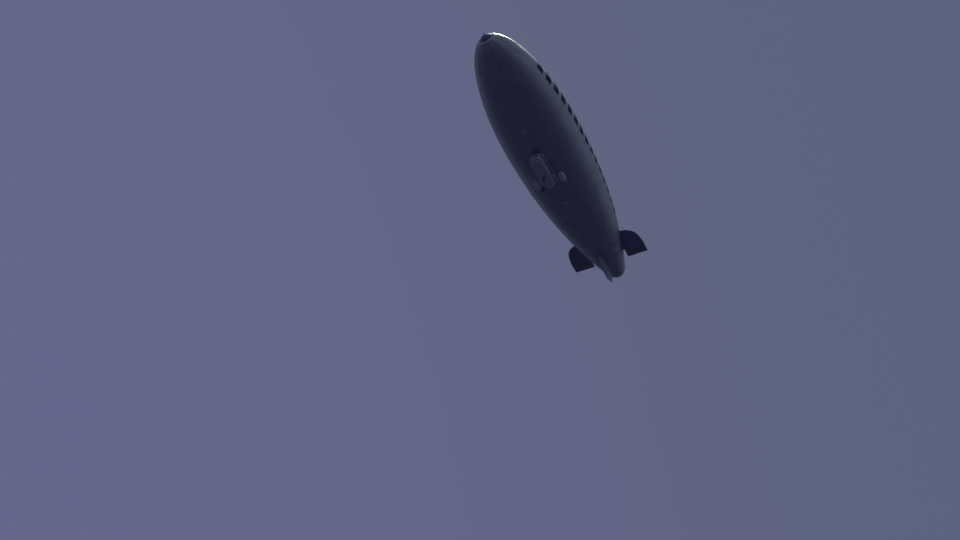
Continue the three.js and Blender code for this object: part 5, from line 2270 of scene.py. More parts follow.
@dataclass(frozen=True)
class Window:
    """A window.

    Attributes:
        node: its frame node.
        face: the face it is in.
        edges: its two edges along that face.
        top: its top.
        bottom: its bottom.
        corner: its corner radius.
        body: the body that it rides on.
    """

    node: str
    face: Face
    edges: tuple[float, float]
    top: float = -7.43
    bottom: float = -8.28
    corner: float = 0.11
    body: Body = Body.HULL

    def outline(self, grow: float = 0.0) -> Array:
        """The opening's outline in its own face: along it and up, its straight sides in 14 steps each.

        Args:
            grow: how far outside the opening the outline runs.

        Returns:
            (n, 2) points.
        """
        width, height = self.edges[1] - self.edges[0] + 2 * grow, self.top - self.bottom + 2 * grow
        middle = [sum(self.edges) / 2, (self.top + self.bottom) / 2]
        return divided(rectangle(width, height, self.corner + grow, 8), 14) + middle

    def on(self, car: CarShape, flat: Array, inset: float | Array = 0.0) -> Array:
        """Points of the face's own plane put on the car's wall.

        Args:
            car: the car's form.
            flat: points along the face and up.
            inset: how far inside the wall's outer side they go.

        Returns:
            The points.
        """
        along, up = flat[..., 0], flat[..., 1]
        if self.face is Face.FRONT:
            return at(car.front(along, up) + inset, along, up)
        if self.face is Face.BACK:
            return at(car.stations[-1] - inset, along, up)
        return at(along, self.face.value * (car.wall(along, up) - inset), up)

    def cutter(self) -> Form:
        """The prism that the opening takes out of the wall.

        Returns:
            Its closed form.
        """
        outline = self.outline()
        if self.face in (Face.FRONT, Face.BACK):
            return prism(outline, *self.face.cut, 0.001).changed(lambda points: points[:, [2, 0, 1]])
        return upright(at(outline[:, 0], 0, outline[:, 1])[:, [0, 2]], *self.face.cut, 0.001)

    def pane(self, car: CarShape) -> Form:
        """The glass: rows that shrink to the opening's middle, on the wall.

        Args:
            car: the car's form.

        Returns:
            The pane.
        """
        rim = self.outline(0.006)
        rows = rim.mean(0) + np.array([0.05, 0.3, 0.55, 0.8, 1.0])[:, None, None] * (rim - rim.mean(0))
        return sheet_between(self.on(car, rows, 0.013), self.on(car, rows, 0.021), Ends.POLE)

    def around(self, car: CarShape, grow: float, lift: float) -> tuple[Array, Array]:
        """A line on the wall round the opening.

        The wall's directions come from steps of a centimetre each way.

        Args:
            car: the car's form.
            grow: how far out from the opening's edge the line runs.
            lift: how far off the wall it runs.

        Returns:
            Its points, and the wall's outward directions there.
        """
        flat = self.outline()
        ways = (self.on(car, flat + step) - self.on(car, flat - step) for step in ((0.01, 0.0), (0.0, 0.01)))
        over = unit(np.cross(*ways))
        over *= np.sign(over @ self.face.outward)[:, None]
        edge = self.on(car, flat)
        aside = unit(np.cross(np.roll(edge, -1, 0) - np.roll(edge, 1, 0), over))
        aside *= np.sign((aside * (edge - edge.mean(0))).sum(1, keepdims=True))
        return edge + aside * grow + over * lift, over

    def frame(self, car: CarShape, grow: float, width: float, rise: float) -> Form:
        """A strip round the opening, on the wall."""
        path, over = self.around(car, grow, rise * 0.3)
        return sweep(path, rectangle(width, rise, rise * 0.45, 4), over, closed=True)


def side_windows(side: Side) -> list[Window]:
    """The three windows that both sides have."""
    edges = {"cockpit": (19.96, 20.76), "forward": (20.92, 22.12), "middle": (22.28, 23.48)}
    return [Window(f"window_{side.word}_{place}", Face(side.value), ends) for place, ends in edges.items()]


@dataclass
class Car:
    """The cabin slung under the hull: shell, windows, door, and what is fixed to the outside.

    Attributes:
        hull: the hull's form.
        shape: the car's own form.
        windows: every window but the door's.
        door_window: the door's window.
        door_edges: first and last station of the door.
        door_top: its top.
        door_bottom: its bottom.
        seam: the gap round the door.
        rib_tops: heights of the two pressed stiffeners.
        handle: station and height of the door's handle.
        handle_ports: distances to port of its outer and its inner plate.
        grip: the line of the handle's grip over its plate.
        hinge_station: station of the hinge line.
        hinge_port: distance of that line to port, so negative.
        hinge_heights: the two hinges' heights.
        hoops: stations of the joint strips round the car.
        runs: height, first and last station of each strip along the car.
        lamp: station, distance from the middle line and height of the landing lamps.
        lamp_profile: their outline.
        lamp_glass: their glasses' outline.
        beacon: station and height of the beacon.
        beacon_foot: its foot's outline.
        beacon_lens: its lens's outline.
        blades: station and reach of each blade aerial.
        whip: the whip aerial's two ends.
        boom: stations and heights of the air speed tube.
    """

    hull: HullShape
    shape: CarShape = field(default_factory=CarShape)
    windows: tuple[Window, ...] = (
        *side_windows(Side.LEFT),
        *side_windows(Side.RIGHT),
        Window("window_left_rear", Face.PORT, (23.70, 24.50)),
        Window("windshield_left", Face.FRONT, (0.045, 0.62), -7.23, -8.06, 0.09),
        Window("windshield_right", Face.FRONT, (-0.62, -0.045), -7.23, -8.06, 0.09),
        Window("window_back", Face.BACK, (-0.38, 0.38), -7.5, -8.2),
    )
    door_window: Window = Window("door_window", Face.STARBOARD, (23.76, 24.44), body=Body.DOOR)
    door_edges: tuple[float, float] = (23.64, 24.56)
    door_top: float = -7.30
    door_bottom: float = -9.13
    seam: float = 0.016
    rib_tops: tuple[float, ...] = (-8.42, -8.74)
    handle: tuple[float, float] = (24.45, -8.42)
    handle_ports: tuple[float, float] = (-1.062, -1.018)
    grip: tuple[tuple[float, ...], ...] = (
        (0, 0, 0), (0, 0, 0.03), (0.02, 0, 0.045), (0.16, 0, 0.045), (0.175, 0, 0.035),
    )
    hinge_station: float = 23.595
    hinge_port: float = -1.10
    hinge_heights: tuple[float, ...] = (-7.75, -8.80)
    hoops: tuple[float, ...] = (20.84, 24.62)
    runs: tuple[tuple[float, float, float], ...] = (
        (-8.36, 20.9, 24.9), (-9.15, 20.2, 25.4), (-7.33, 20.9, 23.55),
    )
    lamp: tuple[float, float, float] = (20.0, 0.34, -9.30)
    lamp_profile: Profile = (
        (-0.09, 0), (-0.09, 0.03), (-0.07, 0.06), (-0.02, 0.088), (0.04, 0.092), (0.052, 0.088),
        (0.052, 0.078), (0.03, 0.076), (0.0, 0),
    )
    lamp_glass: Profile = ((0.036, 0), (0.036, 0.077), (0.042, 0.077), (0.052, 0.04), (0.054, 0))
    beacon: tuple[float, float] = (24.9, -9.40)
    beacon_foot: Profile = ((0.02, 0), (0.02, 0.09), (0.0, 0.1), (-0.02, 0.085), (-0.03, 0))
    beacon_lens: Profile = ((-0.02, 0), (-0.02, 0.068), (-0.07, 0.06), (-0.11, 0.035), (-0.12, 0))
    blades: tuple[tuple[float, float], ...] = ((21.0, 0.24), (22.0, 0.17))
    whip: tuple[tuple[float, ...], ...] = ((25.0, 0.3, -9.3), (25.15, 0.32, -9.75))
    boom: tuple[tuple[float, ...], ...] = ((19.9, 19.75, 19.3, 18.9), (-9.02, -9.12, -9.16, -9.16))

    def build(self) -> None:
        """Every piece of the car's outside."""
        self.shell()
        for window in (*self.windows, self.door_window):
            self.glaze(window)
        self.door()
        self.door_fittings()
        self.hinges()
        self.skirt()
        self.strips()
        self.lamps()
        self.aerials()

    def door_outline(self, grow: float) -> Window:
        """The door's own outline, as an opening in the starboard wall."""
        edges = (self.door_edges[0] - grow, self.door_edges[1] + grow)
        return Window("door", Face.STARBOARD, edges, self.door_top + grow, self.door_bottom - grow, 0.06)

    def shell(self) -> None:
        """The outer form less the cabin, the hull above it, and the openings."""
        around = self.hull.ring(np.linspace(17.5, 28.5, 14), count=128)
        openings = [(window.cutter(), GASKET) for window in (*self.windows, self.door_outline(self.seam))]
        cutters = [(self.shape.form(self.shape.wall_thick), LINING), (skin(around), LINING), *openings]
        mesh = carved("car_shell", self.shape.form(), cutters, CAR_PAINT)
        panels = ["car_nose", "car_tail", "car_belly", "car_side_left", "car_side_right"]
        show("car_shell", mesh, CAR_PAINT, replaces=panels, sharp=30)

    def glaze(self, window: Window) -> None:
        """A pane, the rubber round it and the screwed frame round that.

        Args:
            window: the window to glaze.
        """
        out = 0.026
        show(f"{window.node}_pane", window.pane(self.shape), GLASS, window.body, [window.node], sharp=60)
        show(f"{window.node}_rubber", window.frame(self.shape, 0.0, 0.022, 0.016), GASKET, window.body)
        rim = window.frame(self.shape, out, 0.034, 0.008)
        spots, over = window.around(self.shape, out, 0.005)
        screws = stood(rivet(0.006), spots[::2], over[::2], (0.1, 0.2, 1))
        show(f"{window.node}_frame", joined([rim, screws]), ALUMINIUM, window.body)

    def door(self) -> None:
        """The door's panel, from the window's edge out to its own, and its pressed stiffeners."""
        inner, outer = self.door_window.outline(), self.door_outline(0.0).outline()
        rows = inner + np.array([0, 0.02, 0.3, 0.6, 0.9, 0.985, 1.0])[:, None, None] * (outer - inner)
        dip = np.array([0.004, 0, 0, 0, 0, 0, 0.006])[:, None]
        faces = (self.door_window.on(self.shape, rows, inset) for inset in (dip, self.shape.wall_thick - dip))
        ribs = [Window("rib", Face.STARBOARD, (23.78, 24.42), top, top - 0.2, 0.03) for top in self.rib_tops]
        frames = (rib.frame(self.shape, 0.0, 0.022, 0.014) for rib in ribs)
        panel = joined([sheet_between(*faces, Ends.RING), *frames])
        show("door_panel", panel, CAR_PAINT, Body.DOOR, ["cabin_door"], sharp=30)

    def door_fittings(self) -> None:
        """The door's two handles, and the step under it: two bent tubes, one below the other."""
        handle = joined([plate(circle(0.045, 24), 0.008), bent(self.grip, 0.02, 0.011)])
        station, up = self.handle
        for name, port, way in zip(("door_handle", "door_inner_handle"), self.handle_ports, (-1, 1)):
            show(name, stood(handle, at(station, port, up), (0, way, 0)), STEEL, Body.DOOR)
        rail = at([23.7, 23.72, 24.48, 24.5], [-1.03, -1.19, -1.19, -1.03], -9.30)
        lower = softened(rail - 0.08 * UP, 0.05, closed=False) * [1, 0.985, 1]
        show("door_step", joined([bent(rail, 0.05, 0.014), tube(lower, 0.014)]), STEEL)

    def hinges(self) -> None:
        """Two hinges outside the front edge: a barrel and strap on the door, ears and a pin on the wall."""
        station, port, edge = self.hinge_station, self.hinge_port, self.door_edges[0]
        aft, rise = np.array([0.045, 0.045, 0.08, 0.08]), 0.03 * np.array([-1, 1, -1, 1])
        moving, fixed = [], []
        for height in self.hinge_heights:
            middle = at(station, port, height)
            moving.append(pin(middle, 0.06 * UP, 0.03, 24, 0.12))
            thick = [port - 0.011, port + 0.011]
            strap = at([station + 0.02, edge + 0.10], thick, [height - 0.05, height + 0.05])
            foot = at([edge + 0.03, edge + 0.095], [-1.055, port], [height - 0.045, height + 0.045])
            moving += [block(*strap, 0.01), block(*foot, 0.01)]
            heads = at(edge + aft, port - 0.011, height + rise)
            moving.append(stood(bolt(0.009, 0.008), heads, -PORT))
            for side in (-1, 1):
                near, far = middle + side * 0.074 * UP, middle + side * 0.12 * UP
                ear = at([station - 0.026, station + 0.012], [-1.045, port], [near[2], far[2]])
                fixed += [rod(near, far, 0.03, 24, 0.12), block(*ear, 0.006)]
            fixed.append(pin(middle, 0.112 * UP, 0.016, 16))
        show("door_hinge_straps", joined(moving), STEEL, Body.DOOR)
        show("door_hinge_ears", joined(fixed), STEEL)

    def skirt(self) -> None:
        """The fabric skirt that closes the joint between the car and the hull, with its lacing."""
        line = self.shape.junction(self.hull)
        section = softened([[-0.05, 0.03], [0.035, 0.06], [0.05, -0.09], [-0.02, -0.09]], 0.02, 4)
        away = unit((line - line.mean(0)) * [1, 1, 0])
        lacing = tube(line + away * 0.052 - 0.085 * UP, 0.012, 8, closed=True)
        skirt = sweep(line - 0.02 * UP, section, UP, closed=True)
        show("car_skirt", joined([skirt, lacing]), DUCT_FABRIC, sharp=50)

    def hoop(self, station: float) -> Form:
        """A joint strip down both sides and under the belly.

        Args:
            station: where it goes round the car.

        Returns:
            The strip.
        """
        row = self.shape.rows(np.array([station]))[0]
        low = row[row[:, 2] < -7.1]
        low = low[np.argsort(np.arctan2(low[:, 1], low[:, 2] + 8.2) % (2 * np.pi))]
        widest = np.argmax(np.linalg.norm(np.diff(low, axis=0, append=low[:1]), axis=1))
        return sweep(np.roll(low, -widest - 1, 0), rectangle(0.05, 0.008, 0.003, 3), AHEAD)

    def strips(self) -> None:
        """Joint strips round the car and along its sides, with rivets. They stop at the door's hinges."""
        forms, spots, outward = [self.hoop(station) for station in self.hoops], [], []
        for side in Side:
            for up, first, last in self.runs:
                at_door = side is Side.RIGHT and up < self.door_top - 0.1
                station = np.linspace(first, 23.54, 40) if at_door else np.linspace(first, last, 60)
                path = at(station, side.value * (self.shape.wall(station, up) + 0.002), up)
                forms.append(sweep(path, rectangle(0.03, 0.008, 0.003, 3), UP))
                dots = np.linspace(first, station[-1], int((station[-1] - first) / 0.09))
                for height in (up - 0.035, up + 0.035):
                    spots.append(at(dots, side.value * self.shape.wall(dots, height), height))
                    outward.append(np.tile(side.value * PORT, (len(dots), 1)))
        show("car_strips", joined(forms), CAR_PAINT)
        show("car_rivets", stood(rivet(0.005), np.concatenate(spots), np.concatenate(outward)), ALUMINIUM)

    def lamps(self) -> None:
        """Two landing lamps under the nose, and a beacon under the belly."""
        forms, glasses, (station, port, up), axis = [], [], self.lamp, np.array([0.8, 0.0, -0.6])
        for side in (-1, 1):
            centre = at(station, side * port, up)
            foot = centre - axis * 0.05
            forms += [turned(self.lamp_profile, centre, axis, 32), rod(foot, foot + 0.1 * UP, 0.02)]
            glasses.append(turned(self.lamp_glass, centre, axis, 32))
        show("landing_lamps", joined(forms), ALUMINIUM)
        show("landing_lamp_glasses", joined(glasses), LAMP_GLASS)
        centre = at(self.beacon[0], 0, self.beacon[1])
        show("beacon_foot", turned(self.beacon_foot, centre, UP, 32), ALUMINIUM)
        show("beacon_lens", turned(self.beacon_lens, centre, UP, 32), RED_LENS)

    def aerials(self) -> None:
        """Two blade aerials and a whip under the belly, and the air speed tube ahead of the nose."""
        forms = []
        for station, reach in self.blades:
            corners = np.array([[-0.09, 0], [0.09, 0], [0.02, -reach], [-0.05, -reach]])
            outline = softened(corners + [BUOYANCY_STATION - station, -9.44], 0.02, 4)
            forms.append(upright(outline, -0.010, 0.010, 0.005))
        root, tip = (at(*end) for end in self.whip)
        forms += [rod(root, tip, 0.006, 8), rod(root + 0.03 * UP, root - [0.01, 0, 0.05], 0.025)]
        line = spline(at(self.boom[0], -0.62, self.boom[1]), 20)
        forms.append(tube(line, np.linspace(0.022, 0.012, len(line)), 12))
        show("aerials", joined(forms), SILVER_PAINT)


# Inside the cabin


@dataclass(frozen=True)
class Filling:
    """How cushions are filled out by simulated cloth under pressure.

    Attributes:
        voxel: the size that the form is remeshed to, in metres on the model.
        pressure: the pressure inside it.
        frames: for how many frames it swells.
        rounding: how strongly each of the smoothing steps works.
        steps: how many smoothing steps there are.
    """

    voxel: float = 0.009
    pressure: float = 4.0
    frames: int = 20
    rounding: float = 0.5
    steps: int = 6

    def plumped(self, name: str, form: Form, reach: float) -> bpy.types.Mesh:
        """A cushion filled out.

        Args:
            name: the mesh's name.
            form: the unfilled cushion, at full size.
            reach: the furthest that a point moves, in metres on the model.

        Returns:
            The filled mesh, in model metres.
        """
        worker = loose(name, mesh_of(name, form))
        even = worker.modifiers.new("even", "REMESH")
        even.mode, even.voxel_size = "VOXEL", self.voxel
        worker.data = settled(worker)
        worker.modifiers.clear()
        self.swell(worker, reach)
        smooth = worker.modifiers.new("smooth", "SMOOTH")
        smooth.factor, smooth.iterations = self.rounding, self.steps
        finer = worker.modifiers.new("finer", "SUBSURF")
        finer.levels = finer.render_levels = 1
        mesh = settled(worker)
        bpy.data.objects.remove(worker)
        return mesh

    def swell(self, worker: bpy.types.Object, reach: float) -> None:
        """Blows an object up as cloth.

        Args:
            worker: the object, whose mesh is changed.
            reach: the furthest that a point moves, in metres on the model.
        """
        start = places_of(worker.data)
        cloth = worker.modifiers.new("fill", "CLOTH")
        cloth.settings.use_pressure = True
        cloth.settings.uniform_pressure_force = self.pressure
        cloth.settings.effector_weights.gravity = 0.0
        for number in range(1, self.frames + 1):
            bpy.context.scene.frame_set(number)
        move = places_of(settled(worker)) - start
        length = np.linalg.norm(move, axis=1, keepdims=True)
        move *= np.minimum(1, reach / np.maximum(length, 1e-9))
        worker.modifiers.clear()
        worker.data.vertices.foreach_set("co", (start + move).ravel())
        bpy.context.scene.frame_set(1)


def places_of(mesh: bpy.types.Mesh) -> Array:
    """The places of a mesh's points, in model metres.

    Args:
        mesh: the mesh.

    Returns:
        (n, 3) points.
    """
    places = np.zeros((len(mesh.vertices), 3), np.float32)
    mesh.vertices.foreach_get("co", places.ravel())
    return places


def shifted(mesh: bpy.types.Mesh, offset: Array) -> bpy.types.Mesh:
    """A copy of a mesh moved by a distance at full size.

    Args:
        mesh: the mesh, in model metres.
        offset: the distance.

    Returns:
        The copy.
    """
    copy = mesh.copy()
    copy.vertices.foreach_set("co", (places_of(copy) + offset * MODEL_SCALE).astype(np.float32).ravel())
    copy.update()
    return copy


@dataclass
class Cabin:
    """What is inside the car: seats, the instrument panel and the controls.

    Heights of what stands in the cabin are given over the floor.

    Attributes:
        floor: height of the floor.
        ceiling: height of the ceiling.
        seats: each seat's frame node, station of its back, and its middle to port.
        bench: the same of the rear bench.
        seat_width: width of a single seat.
        bench_width: width of the bench.
        depth: depth of the cushions.
        seat_top: height of the cushions' tops over the floor.
        back_top: height of the backs' tops.
        swells: how far a cushion and a back swell, in metres on the model.
        case: the panel's outline, as stations and heights over the floor.
        case_half: half of the panel's width.
        hood: stations and heights of the rows of its hood.
        dial_face: the lower and the upper end of the panel's face, as stations and heights over the floor.
        dial_rows: how far up the face the two rows of dials are.
        dial_ports: distances to port of the dials.
        bezel: a dial's bezel.
        dial: a dial.
        switch_reach: how far to both sides the switches go.
        wheel_centre: station, distance to port and height of the hand wheel.
        wheel_radius: its radius.
        wheel_hub: its hub's outline.
        wheel_knob: a knob's outline.
        pedal_ports: distances to port of the pedals.
        lever_ports: distances to port of the engine levers.
        lever_knob: a lever's knob.
        dome: a ceiling light's outline.
        dome_stations: the lights' stations.
        grab_port: distance of the grab rails from the middle line.
        grab_stations: stations of their middle stands.
    """

    floor: float = -9.25
    ceiling: float = -7.15
    seats: tuple[tuple[str, float, float], ...] = (
        ("pilot_seat", 21.56, 0.43),
        ("copilot_seat", 21.56, -0.43),
        ("passenger_seat_left", 23.12, 0.45),
        ("passenger_seat_right", 23.12, -0.45),
    )
    bench: tuple[str, float, float] = ("rear_bench", 25.3, 0.0)
    seat_width: float = 0.50
    bench_width: float = 1.28
    depth: float = 0.48
    seat_top: float = 0.43
    back_top: float = 1.08
    swells: tuple[float, float] = (0.009, 0.008)
    case: Profile = ((20.24, 0), (20.42, 0), (20.42, 0.62), (20.56, 0.70), (20.42, 1.08), (20.26, 1.08))
    case_half: float = 0.65
    hood: Profile = ((20.22, 1.07), (20.36, 1.115), (20.52, 1.10))
    dial_face: Profile = ((20.56, 0.70), (20.42, 1.08))
    dial_rows: tuple[float, float] = (0.33, 0.72)
    dial_ports: tuple[float, ...] = (-0.52, -0.37, -0.22, -0.075, 0.075, 0.22, 0.37, 0.52)
    bezel: Profile = ((0, 0.058), (0.012, 0.058), (0.016, 0.052), (0.016, 0.046), (0, 0.046))
    dial: Profile = ((0.0, 0), (0.0, 0.047), (0.006, 0.047), (0.0062, 0))
    switch_reach: float = 0.55
    wheel_centre: tuple[float, float, float] = (21.18, 0.06, 0.64)
    wheel_radius: float = 0.232
    wheel_hub: Profile = (
        (-0.13, 0), (-0.13, 0.035), (-0.03, 0.04), (-0.02, 0.052), (0.02, 0.052), (0.035, 0.03), (0.035, 0),
    )
    wheel_knob: Profile = ((-0.02, 0), (-0.02, 0.012), (0, 0.016), (0.02, 0.012), (0.02, 0))
    pedal_ports: tuple[float, ...] = (-0.56, -0.3, 0.3, 0.56)
    lever_ports: tuple[float, ...] = (-0.11, -0.08, -0.05, -0.02)
    lever_knob: Profile = (
        (-0.011, 0), (-0.010, 0.010), (-0.005, 0.015), (0.005, 0.015), (0.010, 0.010), (0.011, 0),
    )
    dome: Profile = ((0, 0), (0, 0.09), (0.012, 0.088), (0.03, 0.06), (0.036, 0))
    dome_stations: tuple[float, ...] = (21.2, 22.8, 24.4)
    grab_port: float = 0.72
    grab_stations: tuple[float, ...] = (22.5, 23.4, 24.2)

    def build(self) -> None:
        """Seats, panel, controls, and the finishes of the frame's own floor and ceiling."""
        self.furnish(self.seats, self.seat_width, 1)
        self.furnish((self.bench,), self.bench_width, 3)
        self.panel()
        self.hand_wheel()
        self.pedals()
        self.throttles()
        self.lamps()
        dress_node("cabin_floor", CARPET)
        dress_node("cabin_ceiling", LINING)

    def over(self, station: Array | float, port: Array | float, up: Array | float) -> Array:
        """Points by their station, their distance to port and their height over the floor."""
        return at(station, port, self.floor + np.asarray(up))

    def furnish(self, seats: tuple[tuple[str, float, float], ...], width: float, parts: int) -> None:
        """Seats of one width: cushions simulated once and copied, on frames, with piping and belts.

        Args:
            seats: each seat's frame node, station of its back, and its middle to port.
            width: width of each.
            parts: how many people sit on each.
        """
        first, back, middle = seats[0]
        half, top, filling = width / 2 - 0.02, self.seat_top, Filling()
        ports = [middle - half, middle + half]
        cushion = self.over([back - self.depth + 0.02, back - 0.03], ports, [top - 0.1, top - 0.03])
        rest = self.over([back - 0.012, back + 0.05], ports, [top - 0.04, self.back_top - 0.02])
        forms = {"cushion": block(*cushion, 0.05), "back": block(*rest, 0.02)}
        meshes = {
            word: filling.plumped(f"{first}_{word}", form, reach)
            for (word, form), reach in zip(forms.items(), self.swells)
        }
        for node, station, port in seats:
            offset = at(station, port, 0) - at(back, middle, 0)
            for word, mesh in meshes.items():
                piece = show(f"{node}_{word}", shifted(mesh, offset), SEAT_CLOTH, replaces=[node], sharp=60)
            show(f"{node}_frame", self.seat_frame(station, port, width), ALUMINIUM)
            show(f"{node}_belts", self.belts(station, port, width, parts), GASKET)
            show(f"{node}_piping", self.piping(station, port, width), PLASTIC)

    def seat_frame(self, station: float, port: float, width: float) -> Form:
        """A tube frame: two bent side tubes on floor rails, cross tubes, and a pan under the cushion.

        Args:
            station: station of the seat's back.
            port: its middle to port.
            width: its width.

        Returns:
            The frame.
        """
        top, half, forms = self.seat_top - 0.115, width / 2 - 0.05, []
        corners = station - np.array([0.43, 0.42, 0.04, -0.055, -0.07])
        heights = [0.03, top, top, top + 0.2, self.back_top - 0.08]
        for y in (port - half, port + half):
            forms.append(bent(self.over(corners, y, heights), 0.05, 0.014, 6))
            forms.append(rod(self.over(station - 0.05, y, top), self.over(station - 0.02, y, 0.03), 0.014))
            rail = self.over([station - 0.48, station + 0.06], [y - 0.02, y + 0.02], [0.002, 0.032])
            forms.append(block(*rail, 0.006))
        for ahead, up in ((0.42, top - 0.02), (0.04, top - 0.02), (-0.066, 0.95)):
            forms.append(pin(self.over(station - ahead, port, up), half * PORT, 0.012))
        ports = [port - half - 0.03, port + half + 0.03]
        forms.append(block(*self.over([station - 0.45, station - 0.01], ports, [top - 0.004, top + 0.01])))
        return joined(forms)

    def belts(self, station: float, port: float, width: float, parts: int) -> Form:
        """Lap straps that lie over the cushion, with a buckle, for each person.

        Args:
            station: station of the seat's back.
            port: its middle to port.
            width: its width.
            parts: how many people sit on it.

        Returns:
            All the belts.
        """
        forms, top, strap = [], self.seat_top, rectangle(0.045, 0.004, 0.0015, 3)
        ahead, aside = np.array([0.015, 0.05, 0.12, 0.2]), np.array([0.19, 0.19, 0.12, 0.03])
        heights = top + np.array([-0.06, 0.022, 0.026, 0.03])
        for middle in port + width * (np.arange(parts) + 0.5 - parts / 2) / parts:
            for side in (-1, 1):
                path = self.over(station - ahead, middle + side * aside, heights)
                forms.append(sweep(spline(path, 24), strap, UP))
            stations, ports = [station - 0.235, station - 0.175], [middle - 0.035, middle + 0.035]
            forms.append(block(*self.over(stations, ports, [top + 0.02, top + 0.038])))
        return joined(forms)

    def piping(self, station: float, port: float, width: float) -> Form:
        """A corded seam round the cushion's waist and the back's.

        Args:
            station: station of the seat's back.
            port: its middle to port.
            width: its width.

        Returns:
            Both seams.
        """
        half, cord = width / 2 - 0.016, 0.006
        flat = rectangle(self.depth - 0.042, 2 * half, 0.05, 8)
        waist = self.over(station - 0.245 - flat[:, 0], port + flat[:, 1], self.seat_top - 0.065)
        tall = rectangle(2 * half, self.back_top - self.seat_top + 0.028, 0.03, 8)
        middle = (self.back_top + self.seat_top) / 2 - 0.03
        rest = self.over(station + 0.019, port + tall[:, 0], middle + tall[:, 1])
        return joined(tube(line, cord, 6, closed=True) for line in (waist, rest))

    def panel(self) -> None:
        """The instrument panel's case, its hood, blank dials with bezels and hands, and switches."""
        corners = np.array(self.case)
        outline = self.over(corners[:, 0], 0, 0.002 + corners[:, 1])[:, [0, 2]]
        case = upright(softened(outline, 0.03), -self.case_half, self.case_half, 0.012)
        edge = self.case_half + 0.01
        arch = np.linspace(-edge, edge, 24)
        drop = 0.05 * (np.abs(arch) / edge) ** 4
        top = np.stack([self.over(station, arch, up - drop) for station, up in self.hood])
        shade = sheet_between(top, top - 0.014 * UP)
        show("instrument_panel_case", joined([case, shade]), PLASTIC, replaces=["instrument_panel"])
        low, high = (self.over(station, 0, up) for station, up in self.dial_face)
        face = unit(np.cross(high - low, PORT))
        rows = [low + (high - low) * share + face * 0.001 for share in self.dial_rows]
        places = [row + port * PORT for row in rows for port in self.dial_ports]
        origin = (0, 0, 0)
        bezel, dial = turned(self.bezel, origin, UP, 32, ring=True), turned(self.dial, origin, UP, 32)
        ways = spokes(12)
        tick = prism(0.006 * np.array([[1, 0.25], [-1, 0.25], [-1, -0.25], [1, -0.25]]), 0, 0.0015, 0.0002)
        ticks = stood(tick, 0.037 * ways + 0.0062 * UP, UP, ways)
        hand = block([-0.008, -0.0015, 0.008], [0.032, 0.0015, 0.0095], 0.001)
        marks = joined([ticks, hand, rivet(0.005).moved([0, 0, 0.008])])
        parts = ((bezel, "bezels", ALUMINIUM), (dial, "faces", DIAL_FACE), (marks, "marks", PLASTIC))
        for form, word, finish in parts:
            show(f"dial_{word}", stood(form, places, face, PORT), finish)
        row = np.linspace(-self.switch_reach, self.switch_reach, 18)[:, None]
        spots = low + (high - low) * 0.07 + row * PORT
        foot = turned([(0, 0), (0, 0.008), (0.004, 0.008), (0.005, 0)], origin, UP, 8)
        lever = joined([foot, rod([0, 0, 0.003], [0.006, 0, 0.022], 0.0025, 6)])
        show("panel_switches", stood(lever, spots, face, UP), ALUMINIUM)

    def hand_wheel(self) -> None:
        """The pilot's big hand wheel beside the seat, on its stand."""
        centre, radius = self.over(*self.wheel_centre), self.wheel_radius
        rim = turned(circle(0.017) + [0, radius], centre, PORT, 72, ring=True)
        arms = [rod(centre, centre + (radius - 0.007) * way, 0.009) for way in spokes(6, 1)]
        knobs = [turned(self.wheel_knob, centre + radius * way, way, 10) for way in spokes(12, 1, 15)]
        hub = turned(self.wheel_hub, centre, PORT, 32)
        down = 0.002 - self.wheel_centre[2]
        stand = block(centre + [-0.05, -0.13, down], centre + [0.05, -0.07, 0.05], 0.02)
        foot = block(centre + [-0.09, -0.17, down], centre + [0.09, -0.03, down + 0.028], 0.02)
        show("elevator_hand_wheel", joined([rim, *arms, *knobs, hub]), STEEL, replaces=["elevator_wheel"])
        show("hand_wheel_stand", joined([stand, foot]), SILVER_PAINT)

    def pedals(self) -> None:
        """Two pairs of rudder pedals on a cross shaft."""
        station, up = 20.62, 0.04
        forms = [pin(self.over(station, 0, up), 0.62 * PORT, 0.015)]
        tread = plate(rectangle(0.16, 0.09, 0.015, 5), 0.012)
        for port in self.pedal_ports:
            foot = self.over([station, station + 0.01, station - 0.02], port, [up, up + 0.12, up + 0.20])
            forms.append(tube(spline(foot, 10), 0.011, 8))
            forms.append(stood(tread, self.over(station - 0.008, port, up + 0.16), (-0.94, 0, 0.34), UP))
        show("rudder_pedals", joined(forms), STEEL)

    def throttles(self) -> None:
        """The engine controls on a pedestal between the two front seats."""
        box = self.over([20.98, 20.70], [-0.13, 0.02], [0.56, 0.66])
        leg = self.over([20.88, 20.76], [-0.1, -0.01], [0.002, 0.57])
        show("throttle_box", joined([block(*box, 0.02), block(*leg, 0.02)]), PLASTIC)
        levers = []
        for index, port in enumerate(self.lever_ports):
            foot = self.over(20.86, port, 0.65)
            head = foot + [0.03 + 0.01 * (index % 2), 0, 0.11]
            levers += [rod(foot, head, 0.004, 8), turned(self.lever_knob, head, PORT, 20)]
        show("throttle_levers", joined(levers), ALUMINIUM)

    def lamps(self) -> None:
        """Ceiling lights, and a grab rail on both sides of them."""
        middles = (at(station, 0, self.ceiling - 0.002) for station in self.dome_stations)
        show("dome_lights", joined(turned(self.dome, middle, -UP, 32) for middle in middles), LAMP_GLASS)
        rails, drop = [], 0.08 * UP
        for side in (-1, 1):
            top = at([21.6, 21.62, 25.0, 25.02], side * self.grab_port, self.ceiling)
            rails.append(bent(top - np.outer([0, 1, 1, 0], drop), 0.05, 0.012, 6))
            stands = at(self.grab_stations, side * self.grab_port, self.ceiling)
            rails += [rod(head, head - drop, 0.008) for head in stands]
        show("grab_rails", joined(rails), STEEL)


# Outside the car: rail, engines, scoops and landing gear


